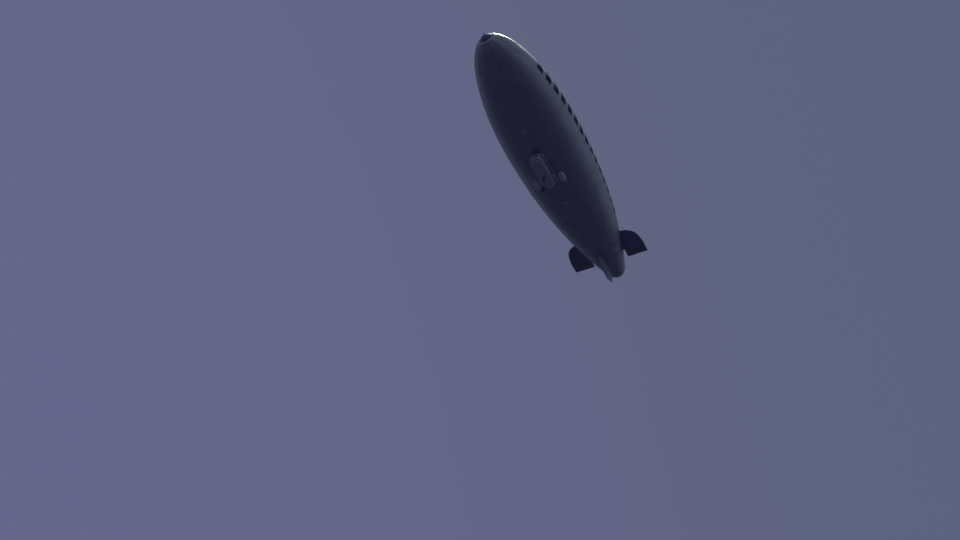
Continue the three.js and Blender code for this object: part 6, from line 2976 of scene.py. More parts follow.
@dataclass
class HandRail:
    """The ground crew's rail round the sill.

    Attributes:
        car: the car's form, which the stands reach.
        height: height of the rail's middle.
        bow: station of its foremost point.
        stations: stations of the points that it runs through on each side.
        ports: their distances from the middle line.
        cap: the profile of its end caps.
        flange: the profile of a stand's flange on the wall.
        bow_foot: station where the foremost stand meets the car.
        second_foot: station, distance from the middle line and height where the next two stands meet it.
    """

    car: CarShape = field(default_factory=CarShape)
    height: float = -9.33
    bow: float = 19.16
    stations: tuple[float, ...] = (19.24, 19.48, 20.12, 21.3, 22.9, 24.6, 25.5)
    ports: tuple[float, ...] = (0.40, 0.74, 1.11, 1.21, 1.21, 1.21, 1.08)
    cap: Profile = ((-0.03, 0), (-0.03, 0.023), (0.008, 0.023), (0.02, 0.014), (0.022, 0))
    flange: Profile = ((-0.03, 0.014), (-0.012, 0.02), (-0.004, 0.05), (0.004, 0.05), (0.004, 0))
    bow_foot: float = 20.36
    second_foot: tuple[float, float, float] = (0.42, 0.52, 0.18)

    def build(self) -> None:
        """The rail, its stands with flanges on the wall, and its end caps."""
        side, bow = at(self.stations, self.ports, self.height), at(self.bow, 0, self.height)
        line = spline(np.concatenate([side[::-1] * [1, -1, 1], [bow], side]), 200)
        forms = [tube(line, 0.019, 14), *(turned(self.cap, line[end], -AHEAD, 16) for end in (0, -1))]
        walls = at(self.stations, self.car.wall(np.array(self.stations), self.height), self.height)
        ahead, aside, rise = self.second_foot
        walls[1] = at(self.car.front(0.0, self.height + 0.2) + ahead, aside, self.height + rise)
        forms += self.stand(bow, at(self.bow_foot, 0, self.height))
        for start, end in zip(side[1:], walls[1:]):
            for hand in ([1, -1, 1], [1, 1, 1]):
                forms += self.stand(start * hand, end * hand)
        show("crew_rail", joined(forms), STEEL, replaces=["hand_rail"])

    def stand(self, start: Array, end: Array) -> list[Form]:
        """A stand from the rail to the wall, with a saddle on the rail and a flange on the wall.

        Args:
            start: its end on the rail.
            end: its end on the wall.

        Returns:
            Its parts.
        """
        way = unit(end - start)
        saddle = rod(start - way * 0.024, start + way * 0.03, 0.022)
        return [rod(start, end, 0.014, 12, 0.05), turned(self.flange, end, way, 20), saddle]


@dataclass
class Engine:
    """One engine: cowling, outrigger, propeller and what is on them.

    Attributes:
        side: which side it is on.
        car: the car's form, which the outrigger meets.
        port: its distance from the middle line.
        up: height of its shaft.
        stations: stations at which the cowling's section is known.
        halves: the cowling's half widths there.
        heights: its half heights.
        corners: its corner radii.
        edge: length over which both its ends are rounded.
        wall: thickness of its wall.
        inlet: distance of an inlet from the shaft's line, and its radius.
        outlet: radius of the hole for the shaft.
        latches: stations of the latches.
        hoops: stations of the strips round the cowling.
        louvres_from: station of the foremost louvres.
        louvre_pitch: distance from one row of them to the next.
        louvre_rows: how many rows there are.
        louvre_gap: stations between which the beams leave no room for louvres on the inner side.
        exhaust: the line of an exhaust, over the shaft's line.
        exhaust_ports: distances of the exhausts from the shaft's line.
        collar: the profile of an exhaust's collar.
        beam_stations: stations of the outrigger's beams.
        beam_up: their height.
        beam_root: where a beam starts, from the middle line.
        beam_gap: how far short of the shaft's line it ends.
        tie_port: where the struts meet the beams.
        strut_drop: how far a strut falls on its way to the car.
        strut_port: how far from the middle line a strut would reach that depth.
        line_ports: distances from the middle line of the points that the engine's lines run through.
        line_lifts: their heights over the beams.
        clip_ports: distances from the middle line of the clips that hold the lines.
        hub_station: station of the propeller's hub.
        blade_radii: radii at which the blade's section is known.
        chords: its chords there.
        thicks: its half thicknesses.
        pitches: its pitch angles in degrees.
        foil: the numbers of the blade's section, for the root, the first, the second, the third and the
            fourth power of the share of the chord.
        shank: radius of the blade's round shank.
        spinner: the spinner's profile, ahead of the hub's middle.
        back_plate: the profile of the plate behind it.
        cuff: the profile of a blade's cuff.
    """

    side: Side
    car: CarShape = field(default_factory=CarShape)
    port: float = 2.35
    up: float = -8.05
    stations: tuple[float, ...] = (24.56, 24.70, 25.05, 25.95, 26.30, 26.48)
    halves: tuple[float, ...] = (0.230, 0.360, 0.480, 0.475, 0.330, 0.220)
    heights: tuple[float, ...] = (0.190, 0.300, 0.370, 0.365, 0.280, 0.210)
    corners: tuple[float, ...] = (0.150, 0.220, 0.240, 0.240, 0.210, 0.160)
    edge: float = 0.06
    wall: float = 0.02
    inlet: tuple[float, float] = (0.105, 0.078)
    outlet: float = 0.15
    latches: tuple[float, ...] = (24.95, 25.42, 25.6, 26.05)
    hoops: tuple[float, ...] = (24.86, 26.18)
    louvres_from: float = 25.3
    louvre_pitch: float = 0.065
    louvre_rows: int = 8
    louvre_gap: tuple[float, float] = (25.6, 25.95)
    exhaust: tuple[tuple[float, ...], ...] = (
        (0, 0, -0.28), (-0.01, 0, -0.38), (-0.08, 0, -0.45), (-0.22, 0, -0.49),
    )
    exhaust_ports: tuple[float, ...] = (-0.2, 0.2)
    collar: Profile = ((-0.02, 0.037), (-0.02, 0.05), (0.01, 0.06), (0.01, 0.037))
    beam_stations: tuple[float, float] = (25.18, 25.78)
    beam_up: float = -8.08
    beam_root: float = 0.98
    beam_gap: float = 0.376
    tie_port: float = 1.6
    strut_drop: float = 0.95
    strut_port: float = 0.7
    line_ports: tuple[float, ...] = (1.02, 1.2, 1.6, 1.93)
    line_lifts: tuple[float, ...] = (0.06, 0.046, 0.046, 0.05)
    clip_ports: tuple[float, ...] = (1.3, 1.55, 1.78)
    hub_station: float = 26.64
    blade_radii: tuple[float, ...] = (0.06, 0.24, 0.48, 0.76, 0.94, 1.0)
    chords: tuple[float, ...] = (0.105, 0.120, 0.165, 0.150, 0.110, 0.050)
    thicks: tuple[float, ...] = (0.030, 0.020, 0.013, 0.009, 0.006, 0.004)
    pitches: tuple[float, ...] = (62, 48, 33, 23, 19, 18)
    foil: tuple[float, ...] = (2.969, -1.26, -3.516, 2.843, -1.036)
    shank: float = 0.036
    spinner: Profile = (
        (-0.27, 0.0), (-0.262, 0.03), (-0.235, 0.062), (-0.19, 0.088), (-0.14, 0.108), (-0.07, 0.122),
        (0.0, 0.129), (0.062, 0.130), (0.066, 0.126), (0.066, 0),
    )
    back_plate: Profile = ((0.07, 0), (0.07, 0.13), (0.082, 0.132), (0.09, 0.128), (0.09, 0))
    cuff: Profile = ((0.09, 0), (0.1, 0.052), (0.135, 0.052), (0.15, 0.046), (0.165, 0.040), (0.165, 0))

    def along(self, station: Array | float, port: Array | float = 0.0, up: Array | float = 0.0) -> Array:
        """Points by their station and their offsets from the shaft's line."""
        return at(station, self.side.value * self.port + port, self.up + up)

    def out(self, station: Array | float, port: Array | float, up: Array | float) -> Array:
        """Points by station, distance from the middle line on the engine's own side, and height."""
        return at(station, self.side.value * np.asarray(port), up)

    def half(self, station: Array | float) -> Array:
        """The cowling's half width at a station."""
        return smooth_through(station, self.stations, self.halves)

    def piece(
        self, name: str, shape: Form | bpy.types.Mesh, finish: Finish, *rest: Body | list[str] | float
    ) -> None:
        """Shows one piece with the side's word at the end of its name."""
        show(f"{name}_{self.side.word}", shape, finish, *rest)

    def build(self) -> None:
        """Every piece of one engine."""
        self.cowling()
        self.cowl_trim()
        self.louvres()
        self.exhausts()
        self.outrigger()
        self.lines()
        self.propeller()
        dress_node(f"engine_{self.side.word}", ALUMINIUM)

    def cowl_rows(self, station: Array, inset: float = 0.0) -> Array:
        """Sections of the cowling, drawn in over the last few centimetres at both ends to round them.

        Args:
            station: stations of the sections.
            inset: how far they are moved inwards.

        Returns:
            A row of points for each.
        """
        ahead = np.clip(1 - (station - self.stations[0] - inset) / self.edge, 0, 1)
        behind = np.clip(1 - (self.stations[-1] - inset - station) / self.edge, 0, 1)
        pinch = inset + self.edge * (1 - np.sqrt(1 - np.maximum(ahead, behind) ** 2)) * 0.8
        columns = (self.halves, self.heights, self.corners)
        half, height, corner = (smooth_through(station, self.stations, column) for column in columns)
        half, height = half - pinch, height - pinch
        corner = np.minimum(corner - pinch / 2, np.minimum(half, height) * 0.95)
        port = self.side.value * self.port
        return rounded_rows(station, half, self.up + height, self.up - height, corner, port)

    def cowl_form(self, inset: float) -> Form:
        """The cowling's form, its rows close together at both rounded ends.

        Args:
            inset: how far it is moved inwards.

        Returns:
            Its closed surface.
        """
        first, last = self.stations[0] + inset, self.stations[-1] - inset
        bend = self.edge * (1 - np.cos(np.radians([6, 20, 36, 54, 72])))
        middle = np.linspace(first + 0.07, last - 0.07, 44)
        return skin(self.cowl_rows(np.concatenate([first + bend, middle, (last - bend)[::-1]]), inset))

    def cowling(self) -> None:
        """A shell with two inlets in front, the shaft's outlet behind, and holes for the beams."""
        (offset, radius), word = self.inlet, self.side.word
        holes = [pin(self.along(24.55, side * offset), -0.15 * AHEAD, radius, 40) for side in (-1, 1)]
        holes.append(pin(self.along(26.45), -0.15 * AHEAD, self.outlet, 48))
        holes += [self.beam(station, 0.006, 0.9) for station in self.beam_stations]
        cutters = [(self.cowl_form(self.wall), ALUMINIUM), *((hole, WHITE_PAINT) for hole in holes)]
        mesh = carved(f"cowling_{word}", self.cowl_form(0.0), cutters, WHITE_PAINT)
        self.piece("cowling", mesh, WHITE_PAINT, Body.HULL, [f"nacelle_{word}"], 30)

    def cowl_trim(self) -> None:
        """Lips round the openings, the strip where the two halves meet, strips and rivets, and latches."""
        (offset, radius), lip = self.inlet, circle(0.011, 10)
        inlets = [(24.563, side * offset, radius + 0.004) for side in (-1, 1)]
        forms = []
        for where, aside, size in (*inlets, (26.478, 0, self.outlet + 0.006)):
            forms.append(turned(lip + [0, size], self.along(where, aside), AHEAD, 48, ring=True))
        handle = block([-0.035, -0.012, 0.007], [0.03, 0.012, 0.014], 0.004)
        latch = joined([plate(rectangle(0.10, 0.05, 0.012, 5), 0.007), handle])
        station, heads, latches = np.linspace(24.66, 26.40, 60), [], np.array(self.latches)
        for side in (-1, 1):
            path = self.along(station, side * (self.half(station) + 0.002))
            forms.append(sweep(path, rectangle(0.03, 0.008, 0.003, 3), UP))
            spots = self.along(latches, side * (self.half(latches) + 0.006))
            heads.append(stood(latch, spots, side * PORT, UP))
        for where in self.hoops:
            row = self.cowl_rows(np.array([where]))[0]
            forms.append(sweep(row, rectangle(0.022, 0.006, 0.002, 3), AHEAD, closed=True))
            away = (row - row.mean(0))[::3] * [0, 1, 1]
            heads.append(stood(rivet(0.006), row[::3] + unit(away) * 0.002, away))
        self.piece("cowl_lips", joined(forms), ALUMINIUM)
        self.piece("cowl_latches", joined(heads), STEEL)

    def louvres(self) -> None:
        """Rows of pressed louvres on the top and both sides, each a quarter ellipse up to its open edge."""
        across, ahead = np.meshgrid(np.linspace(-1, 1, 13), np.linspace(0, 1, 7), indexing="ij")
        fall = np.sqrt(np.maximum(1 - np.abs(across) ** 4, 0))
        rise = 0.022 * fall * np.sqrt(np.maximum(1 - (1 - ahead) ** 2, 0))
        top = np.stack([0.02 - 0.045 * ahead, 0.085 * across, rise], -1)
        scoop = sheet_between(top, top * [1, 1, 0] - 0.006 * UP)
        rows = self.louvres_from + self.louvre_pitch * np.arange(self.louvre_rows)
        first, last = self.louvre_gap
        clear = rows[(rows <= first) | (rows >= last)]
        height, own = smooth_through(rows, self.stations, self.heights), self.side.value
        forms = [stood(scoop, self.along(rows, offset, height), UP) for offset in (-0.13, 0.13)]
        forms.append(stood(scoop, self.along(rows, own * self.half(rows), 0.13), own * PORT))
        forms.append(stood(scoop, self.along(clear, -own * self.half(clear), 0.16), -own * PORT))
        self.piece("louvres", joined(forms), WHITE_PAINT)

    def exhausts(self) -> None:
        """Two curved exhaust stacks under the cowling, open at their ends, and the oil drain."""
        forms = [rod(self.along(25.3, 0.1, -0.34), self.along(25.33, 0.1, -0.42), 0.01)]
        for offset in self.exhaust_ports:
            line = spline(self.along(25.72, offset) + self.exhaust, 18)
            forms.append(pipe(line, carried(line, rings(0.036, len(line), 24)), 0.030 / 0.036))
            forms.append(turned(self.collar, self.along(25.72, offset, -0.375), UP, 24, ring=True))
        self.piece("exhausts", joined(forms), STEEL)

    def beam(self, station: float, grow: float, root: float) -> Form:
        """A streamlined beam out to the engine: an ellipse drawn out behind, carried along Y.

        Args:
            station: the beam's station.
            grow: how much thicker it is than the beam itself, where it cuts a hole for one.
            root: where it starts, from the middle line.

        Returns:
            Its closed surface.
        """
        cos, sin = circle(1.0, 28).T
        section = np.stack([(0.055 + grow) * cos, (0.032 + grow) * sin * (1 + 0.25 * cos)], 1)
        reach = np.linspace(root, self.port - self.beam_gap, 12)
        return sweep(self.out(station, reach, self.beam_up), section, UP)

    def strut_foot(self, station: float) -> Array:
        """Where the strut that slopes down from the tie meets the car's wall: the last of 200 steps outside.

        Args:
            station: the strut's station.

        Returns:
            The point.
        """
        reach = np.linspace(self.tie_port, self.strut_port, 200)
        slope = self.strut_drop / (self.tie_port - self.strut_port)
        heights = self.beam_up - (self.tie_port - reach) * slope
        last = np.flatnonzero(reach > self.car.wall(np.full_like(reach, station), heights) - 0.02)[-1]
        return self.out(station, reach[last], heights[last])

    def outrigger(self) -> None:
        """Beams, struts, the tie between them, root plates, eyes, and sockets at the cowling."""
        side, up, wing = self.side.value, self.beam_up, circle(1.0, 24) * [0.045, 0.022]
        forms, plates = [self.beam(station, 0.0, self.beam_root) for station in self.beam_stations], []
        heads = (bolt(0.012, 0.012).moved([x, y, 0.014]) for x in (-0.085, 0.085) for y in (-0.06, 0.06))
        root = joined([plate(rectangle(0.22, 0.17, 0.03), 0.014), *heads])
        sizes = circle(1.0, 28) * [0.075, 0.05] * np.array([0.9, 1.0, 1.15])[:, None, None]
        for station in self.beam_stations:
            head, foot = self.out(station, self.tie_port, up), self.strut_foot(station)
            way = unit(foot - head)
            forms.append(sweep(np.linspace(head, foot, 12), wing, unit(np.cross(way, AHEAD))))
            plates.append(stood(root, self.out(station, self.car.wall(station, up), up), side * PORT))
            plates.append(stood(root, foot, (0, side, -0.35)))
            for place, inwards in ((head, way), (foot, -way)):
                plates.append(pin(place, 0.035 * AHEAD, 0.03, 16))
                plates.append(block(place + inwards * 0.03 - 0.024, place + inwards * 0.12 + 0.024, 0.006))
            socket = self.port - self.half(station) + np.array([-0.07, -0.06, 0.004])
            plates.append(sweep(self.out(station, socket, up), sizes, UP))
        tie = self.out(np.linspace(*self.beam_stations, 8), self.tie_port, up)
        forms.append(sweep(tie, circle(1.0, 20) * [0.028, 0.02], UP))
        forms.append(rod(*self.out(self.beam_stations, [1.06, 1.85], up), 0.009, 8))
        self.piece("outrigger_beams", joined(forms), WHITE_PAINT, Body.HULL, [f"outrigger_{self.side.word}"])
        self.piece("outrigger_fittings", joined(plates), STEEL)

    def lines(self) -> None:
        """Three lines to the engine, side by side on the fore beam, and the clips that hold them."""
        station, up = self.beam_stations[0], self.beam_up
        forms, heights = [], up + np.array(self.line_lifts)
        for offset in (-0.03, 0.0, 0.03):
            forms.append(tube(spline(self.out(station + offset, self.line_ports, heights), 24), 0.008, 8))
        for port in self.clip_ports:
            ports = [port - 0.012, port + 0.012]
            corners = self.out([station - 0.05, station + 0.05], ports, [up + 0.02, up + 0.06])
            forms.append(block(*corners, 0.004))
        self.piece("engine_lines", joined(forms), GASKET)

    def blade(self) -> Form:
        """One blade: aerofoil sections turned by the pitch, blended into a round shank at the hub.

        A section's half thickness at a share c of the chord is T times the sum of the foil's numbers, each
        with its power of c, with half of that underneath.

        Returns:
            The blade.
        """
        tip = 1.0 - 0.04 * (1 - np.sin(np.radians([25, 50, 70, 83, 89])))
        radius = np.append(np.linspace(0.06, 0.96, 46), tip)[:, None]
        columns = (self.chords, self.thicks, self.pitches)
        chord, thick, pitch = (smooth_through(radius, self.blade_radii, column) for column in columns)
        round_off = np.sqrt(np.maximum(1 - (np.maximum(radius - 0.955, 0) / 0.0453) ** 2, 0.01))
        share = (1 - np.cos(np.linspace(0, np.pi, 19))) / 2
        full = np.stack([share**power for power in (0.5, 1, 2, 3, 4)], 1) @ self.foil
        along = np.append(share, share[-2:0:-1]) - 0.5
        across = np.append(full, -0.5 * full[-2:0:-1])
        blend = np.clip((0.2 - radius) / 0.12, 0, 1)
        turn = np.linspace(np.pi, -np.pi, len(along), endpoint=False)
        u = (1 - blend) * along * chord * round_off + blend * self.shank * np.cos(turn)
        v = (1 - blend) * across * thick * round_off + blend * self.shank * np.sin(turn)
        cos, sin = np.cos(np.radians(pitch)), self.side.value * np.sin(np.radians(pitch))
        return skin(np.stack([v * cos - u * sin, u * cos + v * sin, radius + 0 * u], -1))

    def propeller(self) -> None:
        """Two blades in a hub, with spinner, cuffs, flange and shaft."""
        body = Body.PROPELLER_LEFT if self.side is Side.LEFT else Body.PROPELLER_RIGHT
        hub, blade = self.along(self.hub_station), self.blade()
        blades = joined([blade, about_hull(blade, 180)]).moved(hub)
        self.piece("propeller_blades", blades, BLADE_PAINT, body, [f"propeller_{self.side.word}"], 50)
        self.piece("spinner", turned(self.spinner, hub, AHEAD, 64), WHITE_PAINT, body)
        shaft = rod(hub + 0.08 * AHEAD, hub + 0.74 * AHEAD, 0.045, 32, 0.05)
        forms = [turned(self.back_plate, hub, AHEAD, 64), shaft]
        forms += [turned(self.cuff, hub, way * UP, 32) for way in (-1, 1)]
        forms.append(stood(bolt(0.011, 0.01), hub + 0.09 * AHEAD + 0.1 * spokes(8, 0), AHEAD, UP))
        ways = spokes(8, 0, np.degrees(0.39))
        forms.append(stood(rivet(0.006), hub + 0.04 * AHEAD + 0.131 * ways, ways))
        self.piece("propeller_hub", joined(forms), STEEL, body)


@dataclass
class Scoop:
    """The fabric duct behind one propeller, which takes its blast up into the hull.

    Attributes:
        hull: the hull's form.
        side: which side it is on.
        station: station of its upright.
        port: its distance from the middle line.
        mouth: height of its mouth's middle.
        radius: its radius.
        reach: how far the mouth stands ahead of the upright.
        bend: radius of the bend between the two.
        wall: thickness of its wall.
        hoops: which of its rows of points carry a hoop.
        stay: how far ahead of the upright, and to both sides of it, the stays meet the hull.
    """

    hull: HullShape
    side: Side
    station: float = 27.35
    port: float = 2.15
    mouth: float = -7.70
    radius: float = 0.25
    reach: float = 0.33
    bend: float = 0.27
    wall: float = 0.012
    hoops: tuple[int, ...] = (0, 5, 9, 14, 19)
    stay: tuple[float, float] = (0.9, 0.81)

    def build(self) -> None:
        """The double-walled duct, its hoops, its seam and the stays that hold its mouth."""
        word, line = self.side.word, self.line()
        count = np.arange(len(line))
        flare, sag = 1 + 0.12 * np.clip(1 - count / 3, 0, 1), 1 - 0.018 * (count % 3 == 1)
        outer = carried(line, rings(self.radius * flare * sag, len(line), 48))
        duct = pipe(line, outer, 1 - self.wall / self.radius)
        show(f"scoop_duct_{word}", duct, DUCT_FABRIC, replaces=[f"air_scoop_{word}"], sharp=60)
        lines = (outer[row] + (outer[row] - line[row]) * 0.02 for row in self.hoops)
        hoops = [tube(round_duct, 0.011, 8, closed=True) for round_duct in lines]
        ring = circle(self.radius + 0.03, 60)
        station, port = self.station - ring[:, 0], self.side.value * self.port + ring[:, 1]
        seam = at(station, port, self.hull.below(station, port) - 0.012)
        show(f"scoop_hoops_{word}", joined([*hoops, tube(seam, 0.022, closed=True)]), SILVER_PAINT)
        show(f"scoop_stays_{word}", self.stays(line[0]), CORD)

    def line(self) -> Array:
        """The duct's middle line: level at the mouth, a quarter circle, then straight up into the hull.

        Returns:
            Its points.
        """
        turn, bend, start = np.radians(np.linspace(0, 90, 14))[1:], self.bend, self.station - self.bend
        up = np.append([self.mouth, self.mouth], self.mouth + bend * (1 - np.cos(turn)))
        level, upright_part = [self.station - self.reach, start - 0.03], [self.station] * 11
        station = np.concatenate([level, start + bend * np.sin(turn), upright_part])
        rise = np.linspace(up[-1], self.hull.below(self.station, self.port) + 0.32, 12)[1:]
        return at(station, self.side.value * self.port, np.append(up, rise))

    def stays(self, mouth: Array) -> Form:
        """The two stays from the mouth to the hull, each with its patch.

        Args:
            mouth: the middle of the mouth.

        Returns:
            Both.
        """
        forms, pad, (ahead, aside) = [], patch(0.05, thick=0.02, sides=16), self.stay
        for side in (-1, 1):
            station, port = self.station - ahead, self.side.value * self.port + side * aside
            head = at(station, port, self.hull.below(station, port) - 0.005)
            forms.append(rod(head, mouth + [0, 0.27 * side, 0.04], 0.006, 8))
            forms.append(stood(pad, head, head * [0, 1, 1]))
        return joined(forms)


@dataclass
class Gear:
    """The landing gear: a fixed leg, a fork that swivels in it, and one wheel that trails behind.

    Profiles are distances along an axis and radii. Those along the leg are heights.

    Attributes:
        leg_station: station of the leg and its swivel.
        axle_station: station of the axle.
        axle_up: height of the axle.
        leg_tube: the leg's profile.
        leg_bolts: how many bolts hold it, at which radius and height.
        gaiter: the lower and the upper height of the gaiter's folds.
        gaiter_bore: radius inside the gaiter.
        swivel: the profile of the fork's pin and collar.
        arm: the fork arms' outline: how far ahead of the leg and at which height its upper corners are.
        arm_foot: how far behind or ahead of the axle, and over it, its lower corners are.
        boss: the profile of an arm's boss, from the middle line.
        damper_up: height of the damper.
        hub: half of the rim's profile.
        tread: half of the tyre's profile.
    """

    leg_station: float = 23.3
    axle_station: float = 23.47
    axle_up: float = -10.215
    leg_tube: Profile = (
        (-9.40, 0.19), (-9.472, 0.19), (-9.480, 0.182), (-9.482, 0.125), (-9.495, 0.100), (-9.52, 0.086),
        (-9.56, 0.078), (-9.688, 0.078), (-9.70, 0.072), (-9.70, 0.0419), (-9.40, 0.0419),
    )
    leg_bolts: tuple[int, float, float] = (10, 0.155, -9.481)
    gaiter: tuple[float, float] = (-9.66, -9.55)
    gaiter_bore: float = 0.0785
    swivel: Profile = (
        (-9.50, 0), (-9.50, 0.034), (-9.506, 0.04), (-9.702, 0.04), (-9.702, 0.078), (-9.74, 0.080),
        (-9.76, 0.086), (-9.83, 0.086), (-9.83, 0),
    )
    arm: Profile = ((0.06, -9.765), (-0.11, -9.765))
    arm_foot: Profile = ((-0.055, 0.02), (-0.03, -0.05), (0.03, -0.05), (0.055, 0.02))
    boss: Profile = ((0.132, 0.027), (0.132, 0.05), (0.178, 0.05), (0.183, 0.045), (0.183, 0.027))
    damper_up: float = -9.79
    hub: Profile = (
        (0.128, 0.0278), (0.128, 0.052), (0.122, 0.058), (0.070, 0.062), (0.034, 0.070), (0.022, 0.080),
        (0.020, 0.118), (0.030, 0.130), (0.062, 0.138), (0.076, 0.148), (0.088, 0.172), (0.086, 0.180),
        (0.080, 0.180), (0.072, 0.160),
    )
    tread: Profile = (
        (0.0715, 0.1615), (0.080, 0.182), (0.089, 0.190), (0.094, 0.206), (0.0955, 0.208), (0.0975, 0.206),
        (0.099, 0.225), (0.1000, 0.245), (0.0985, 0.262), (0.0995, 0.264), (0.0985, 0.266), (0.095, 0.282),
        (0.086, 0.301), (0.076, 0.312), (0.066, 0.3185), (0.0645, 0.312), (0.0565, 0.313), (0.055, 0.3225),
        (0.032, 0.3275), (0.0305, 0.320), (0.0225, 0.321), (0.021, 0.329), (0.0, 0.330),
    )

    @property
    def leg_middle(self) -> Array:
        """Where the leg's line crosses height 0."""
        return at(self.leg_station, 0, 0)

    @property
    def axle(self) -> Array:
        """The middle of the axle."""
        return at(self.axle_station, 0, self.axle_up)

    def build(self) -> None:
        """Leg, fork, wheel and tyre."""
        self.leg()
        self.fork()
        self.fork_fittings()
        self.wheel()
        self.tyre()

    def leg(self) -> None:
        """A bolted plate, a filleted tube and its rubber gaiter."""
        form = turned(self.leg_tube, self.leg_middle, UP, 64, ring=True)
        show("gear_leg_tube", form, WHITE_PAINT, replaces=["gear_leg"])
        count, radius, up = self.leg_bolts
        spots = self.leg_middle + radius * spokes(count) + up * UP
        show("gear_leg_bolts", stood(bolt(0.014, 0.014), spots, -UP), STEEL)
        low, high = self.gaiter
        folds = 0.088 + 0.010 * np.cos(np.arange(33) * np.pi / 4)
        profile = np.stack([np.linspace(high, low, 33), folds], 1)
        inner = [(low, self.gaiter_bore), (high, self.gaiter_bore)]
        form = turned(np.concatenate([profile, inner]), self.leg_middle, UP, 48, ring=True)
        show("gear_gaiter", form, GASKET)

    def fork(self) -> None:
        """Pin and collar, crown, and two tapered arms with bosses."""
        ahead, behind = self.leg_middle[0], self.axle[0]
        crown = prism(rectangle(0.19, 0.344, 0.06, 8) + [ahead - 0.025, 0], -9.832, -9.76, 0.010)
        forms = [turned(self.swivel, self.leg_middle, UP, 48), crown]
        above, below = np.array(self.arm) + [ahead, 0], np.array(self.arm_foot) + [behind, self.axle_up]
        corners = np.concatenate([above, below])
        for side in (-1, 1):
            forms.append(upright(softened(corners, 0.03, 6), *sorted((side * 0.139, side * 0.171)), 0.006))
            forms.append(turned(self.boss, self.axle, side * PORT, 32, ring=True))
        show("fork_frame", joined(forms), SILVER_PAINT, Body.SWIVEL, ["wheel_fork"], sharp=30)

    def fork_fittings(self) -> None:
        """The axle with its nuts, and a damper between two brackets on the crown."""
        forms = [pin(self.axle, 0.186 * PORT, 0.026, 24)]
        forms += [stood(bolt(0.04, 0.02), self.axle + side * 0.184 * PORT, side * PORT) for side in (-1, 1)]
        middle = self.leg_middle + [0.085, 0, self.damper_up]
        forms.append(rod(middle - 0.15 * PORT, middle + 0.06 * PORT, 0.022, 20))
        forms.append(rod(middle + 0.05 * PORT, middle + 0.15 * PORT, 0.010))
        for port in (-0.15, 0.15):
            low, high = [-0.03, port - 0.012, -0.025], [0.015, port + 0.012, 0.025]
            forms.append(block(middle + low, middle + high, 0.006))
        show("fork_axle", joined(forms), STEEL, Body.SWIVEL)

    def wheel(self) -> None:
        """The rim: hub, dished web with a ring of holes, bead flanges, tie bolts and the tyre's valve."""
        centre, ways = self.axle, spokes(8, 1)
        profile = np.concatenate([self.hub, np.array(self.hub)[::-1] * [-1, 1]])
        holes = joined(pin(centre + 0.098 * way, 0.06 * PORT, 0.013, 16) for way in ways)
        form = turned(profile, centre, PORT, 96, ring=True)
        mesh = carved("wheel_hub", form, [(holes, SILVER_PAINT)], SILVER_PAINT)
        show("wheel_hub", mesh, SILVER_PAINT, Body.WHEEL, ["wheel_rim"], sharp=30)
        spots = centre + 0.112 * spokes(8, 1, 22.5)
        heads = [stood(bolt(0.009, 0.012), spots + side * 0.020 * PORT, side * PORT) for side in (-1, 1)]
        foot, head = centre + 0.15 * ways[1] + 0.05 * PORT, centre + 0.13 * ways[1] + 0.1 * PORT
        heads.append(rod(foot, head, 0.006, 8))
        show("wheel_bolts", joined(heads), STEEL, Body.WHEEL)

    def tyre(self) -> None:
        """The tyre: rounded shoulders, ribbed sidewalls and five ribs of tread between four grooves."""
        profile = np.concatenate([self.tread, np.array(self.tread)[-2::-1] * [-1, 1]])
        form = turned(profile, self.axle, PORT, 112, ring=True)
        show("tyre", form, RUBBER, Body.WHEEL, ["wheel_tyre"], sharp=40)


# The studio


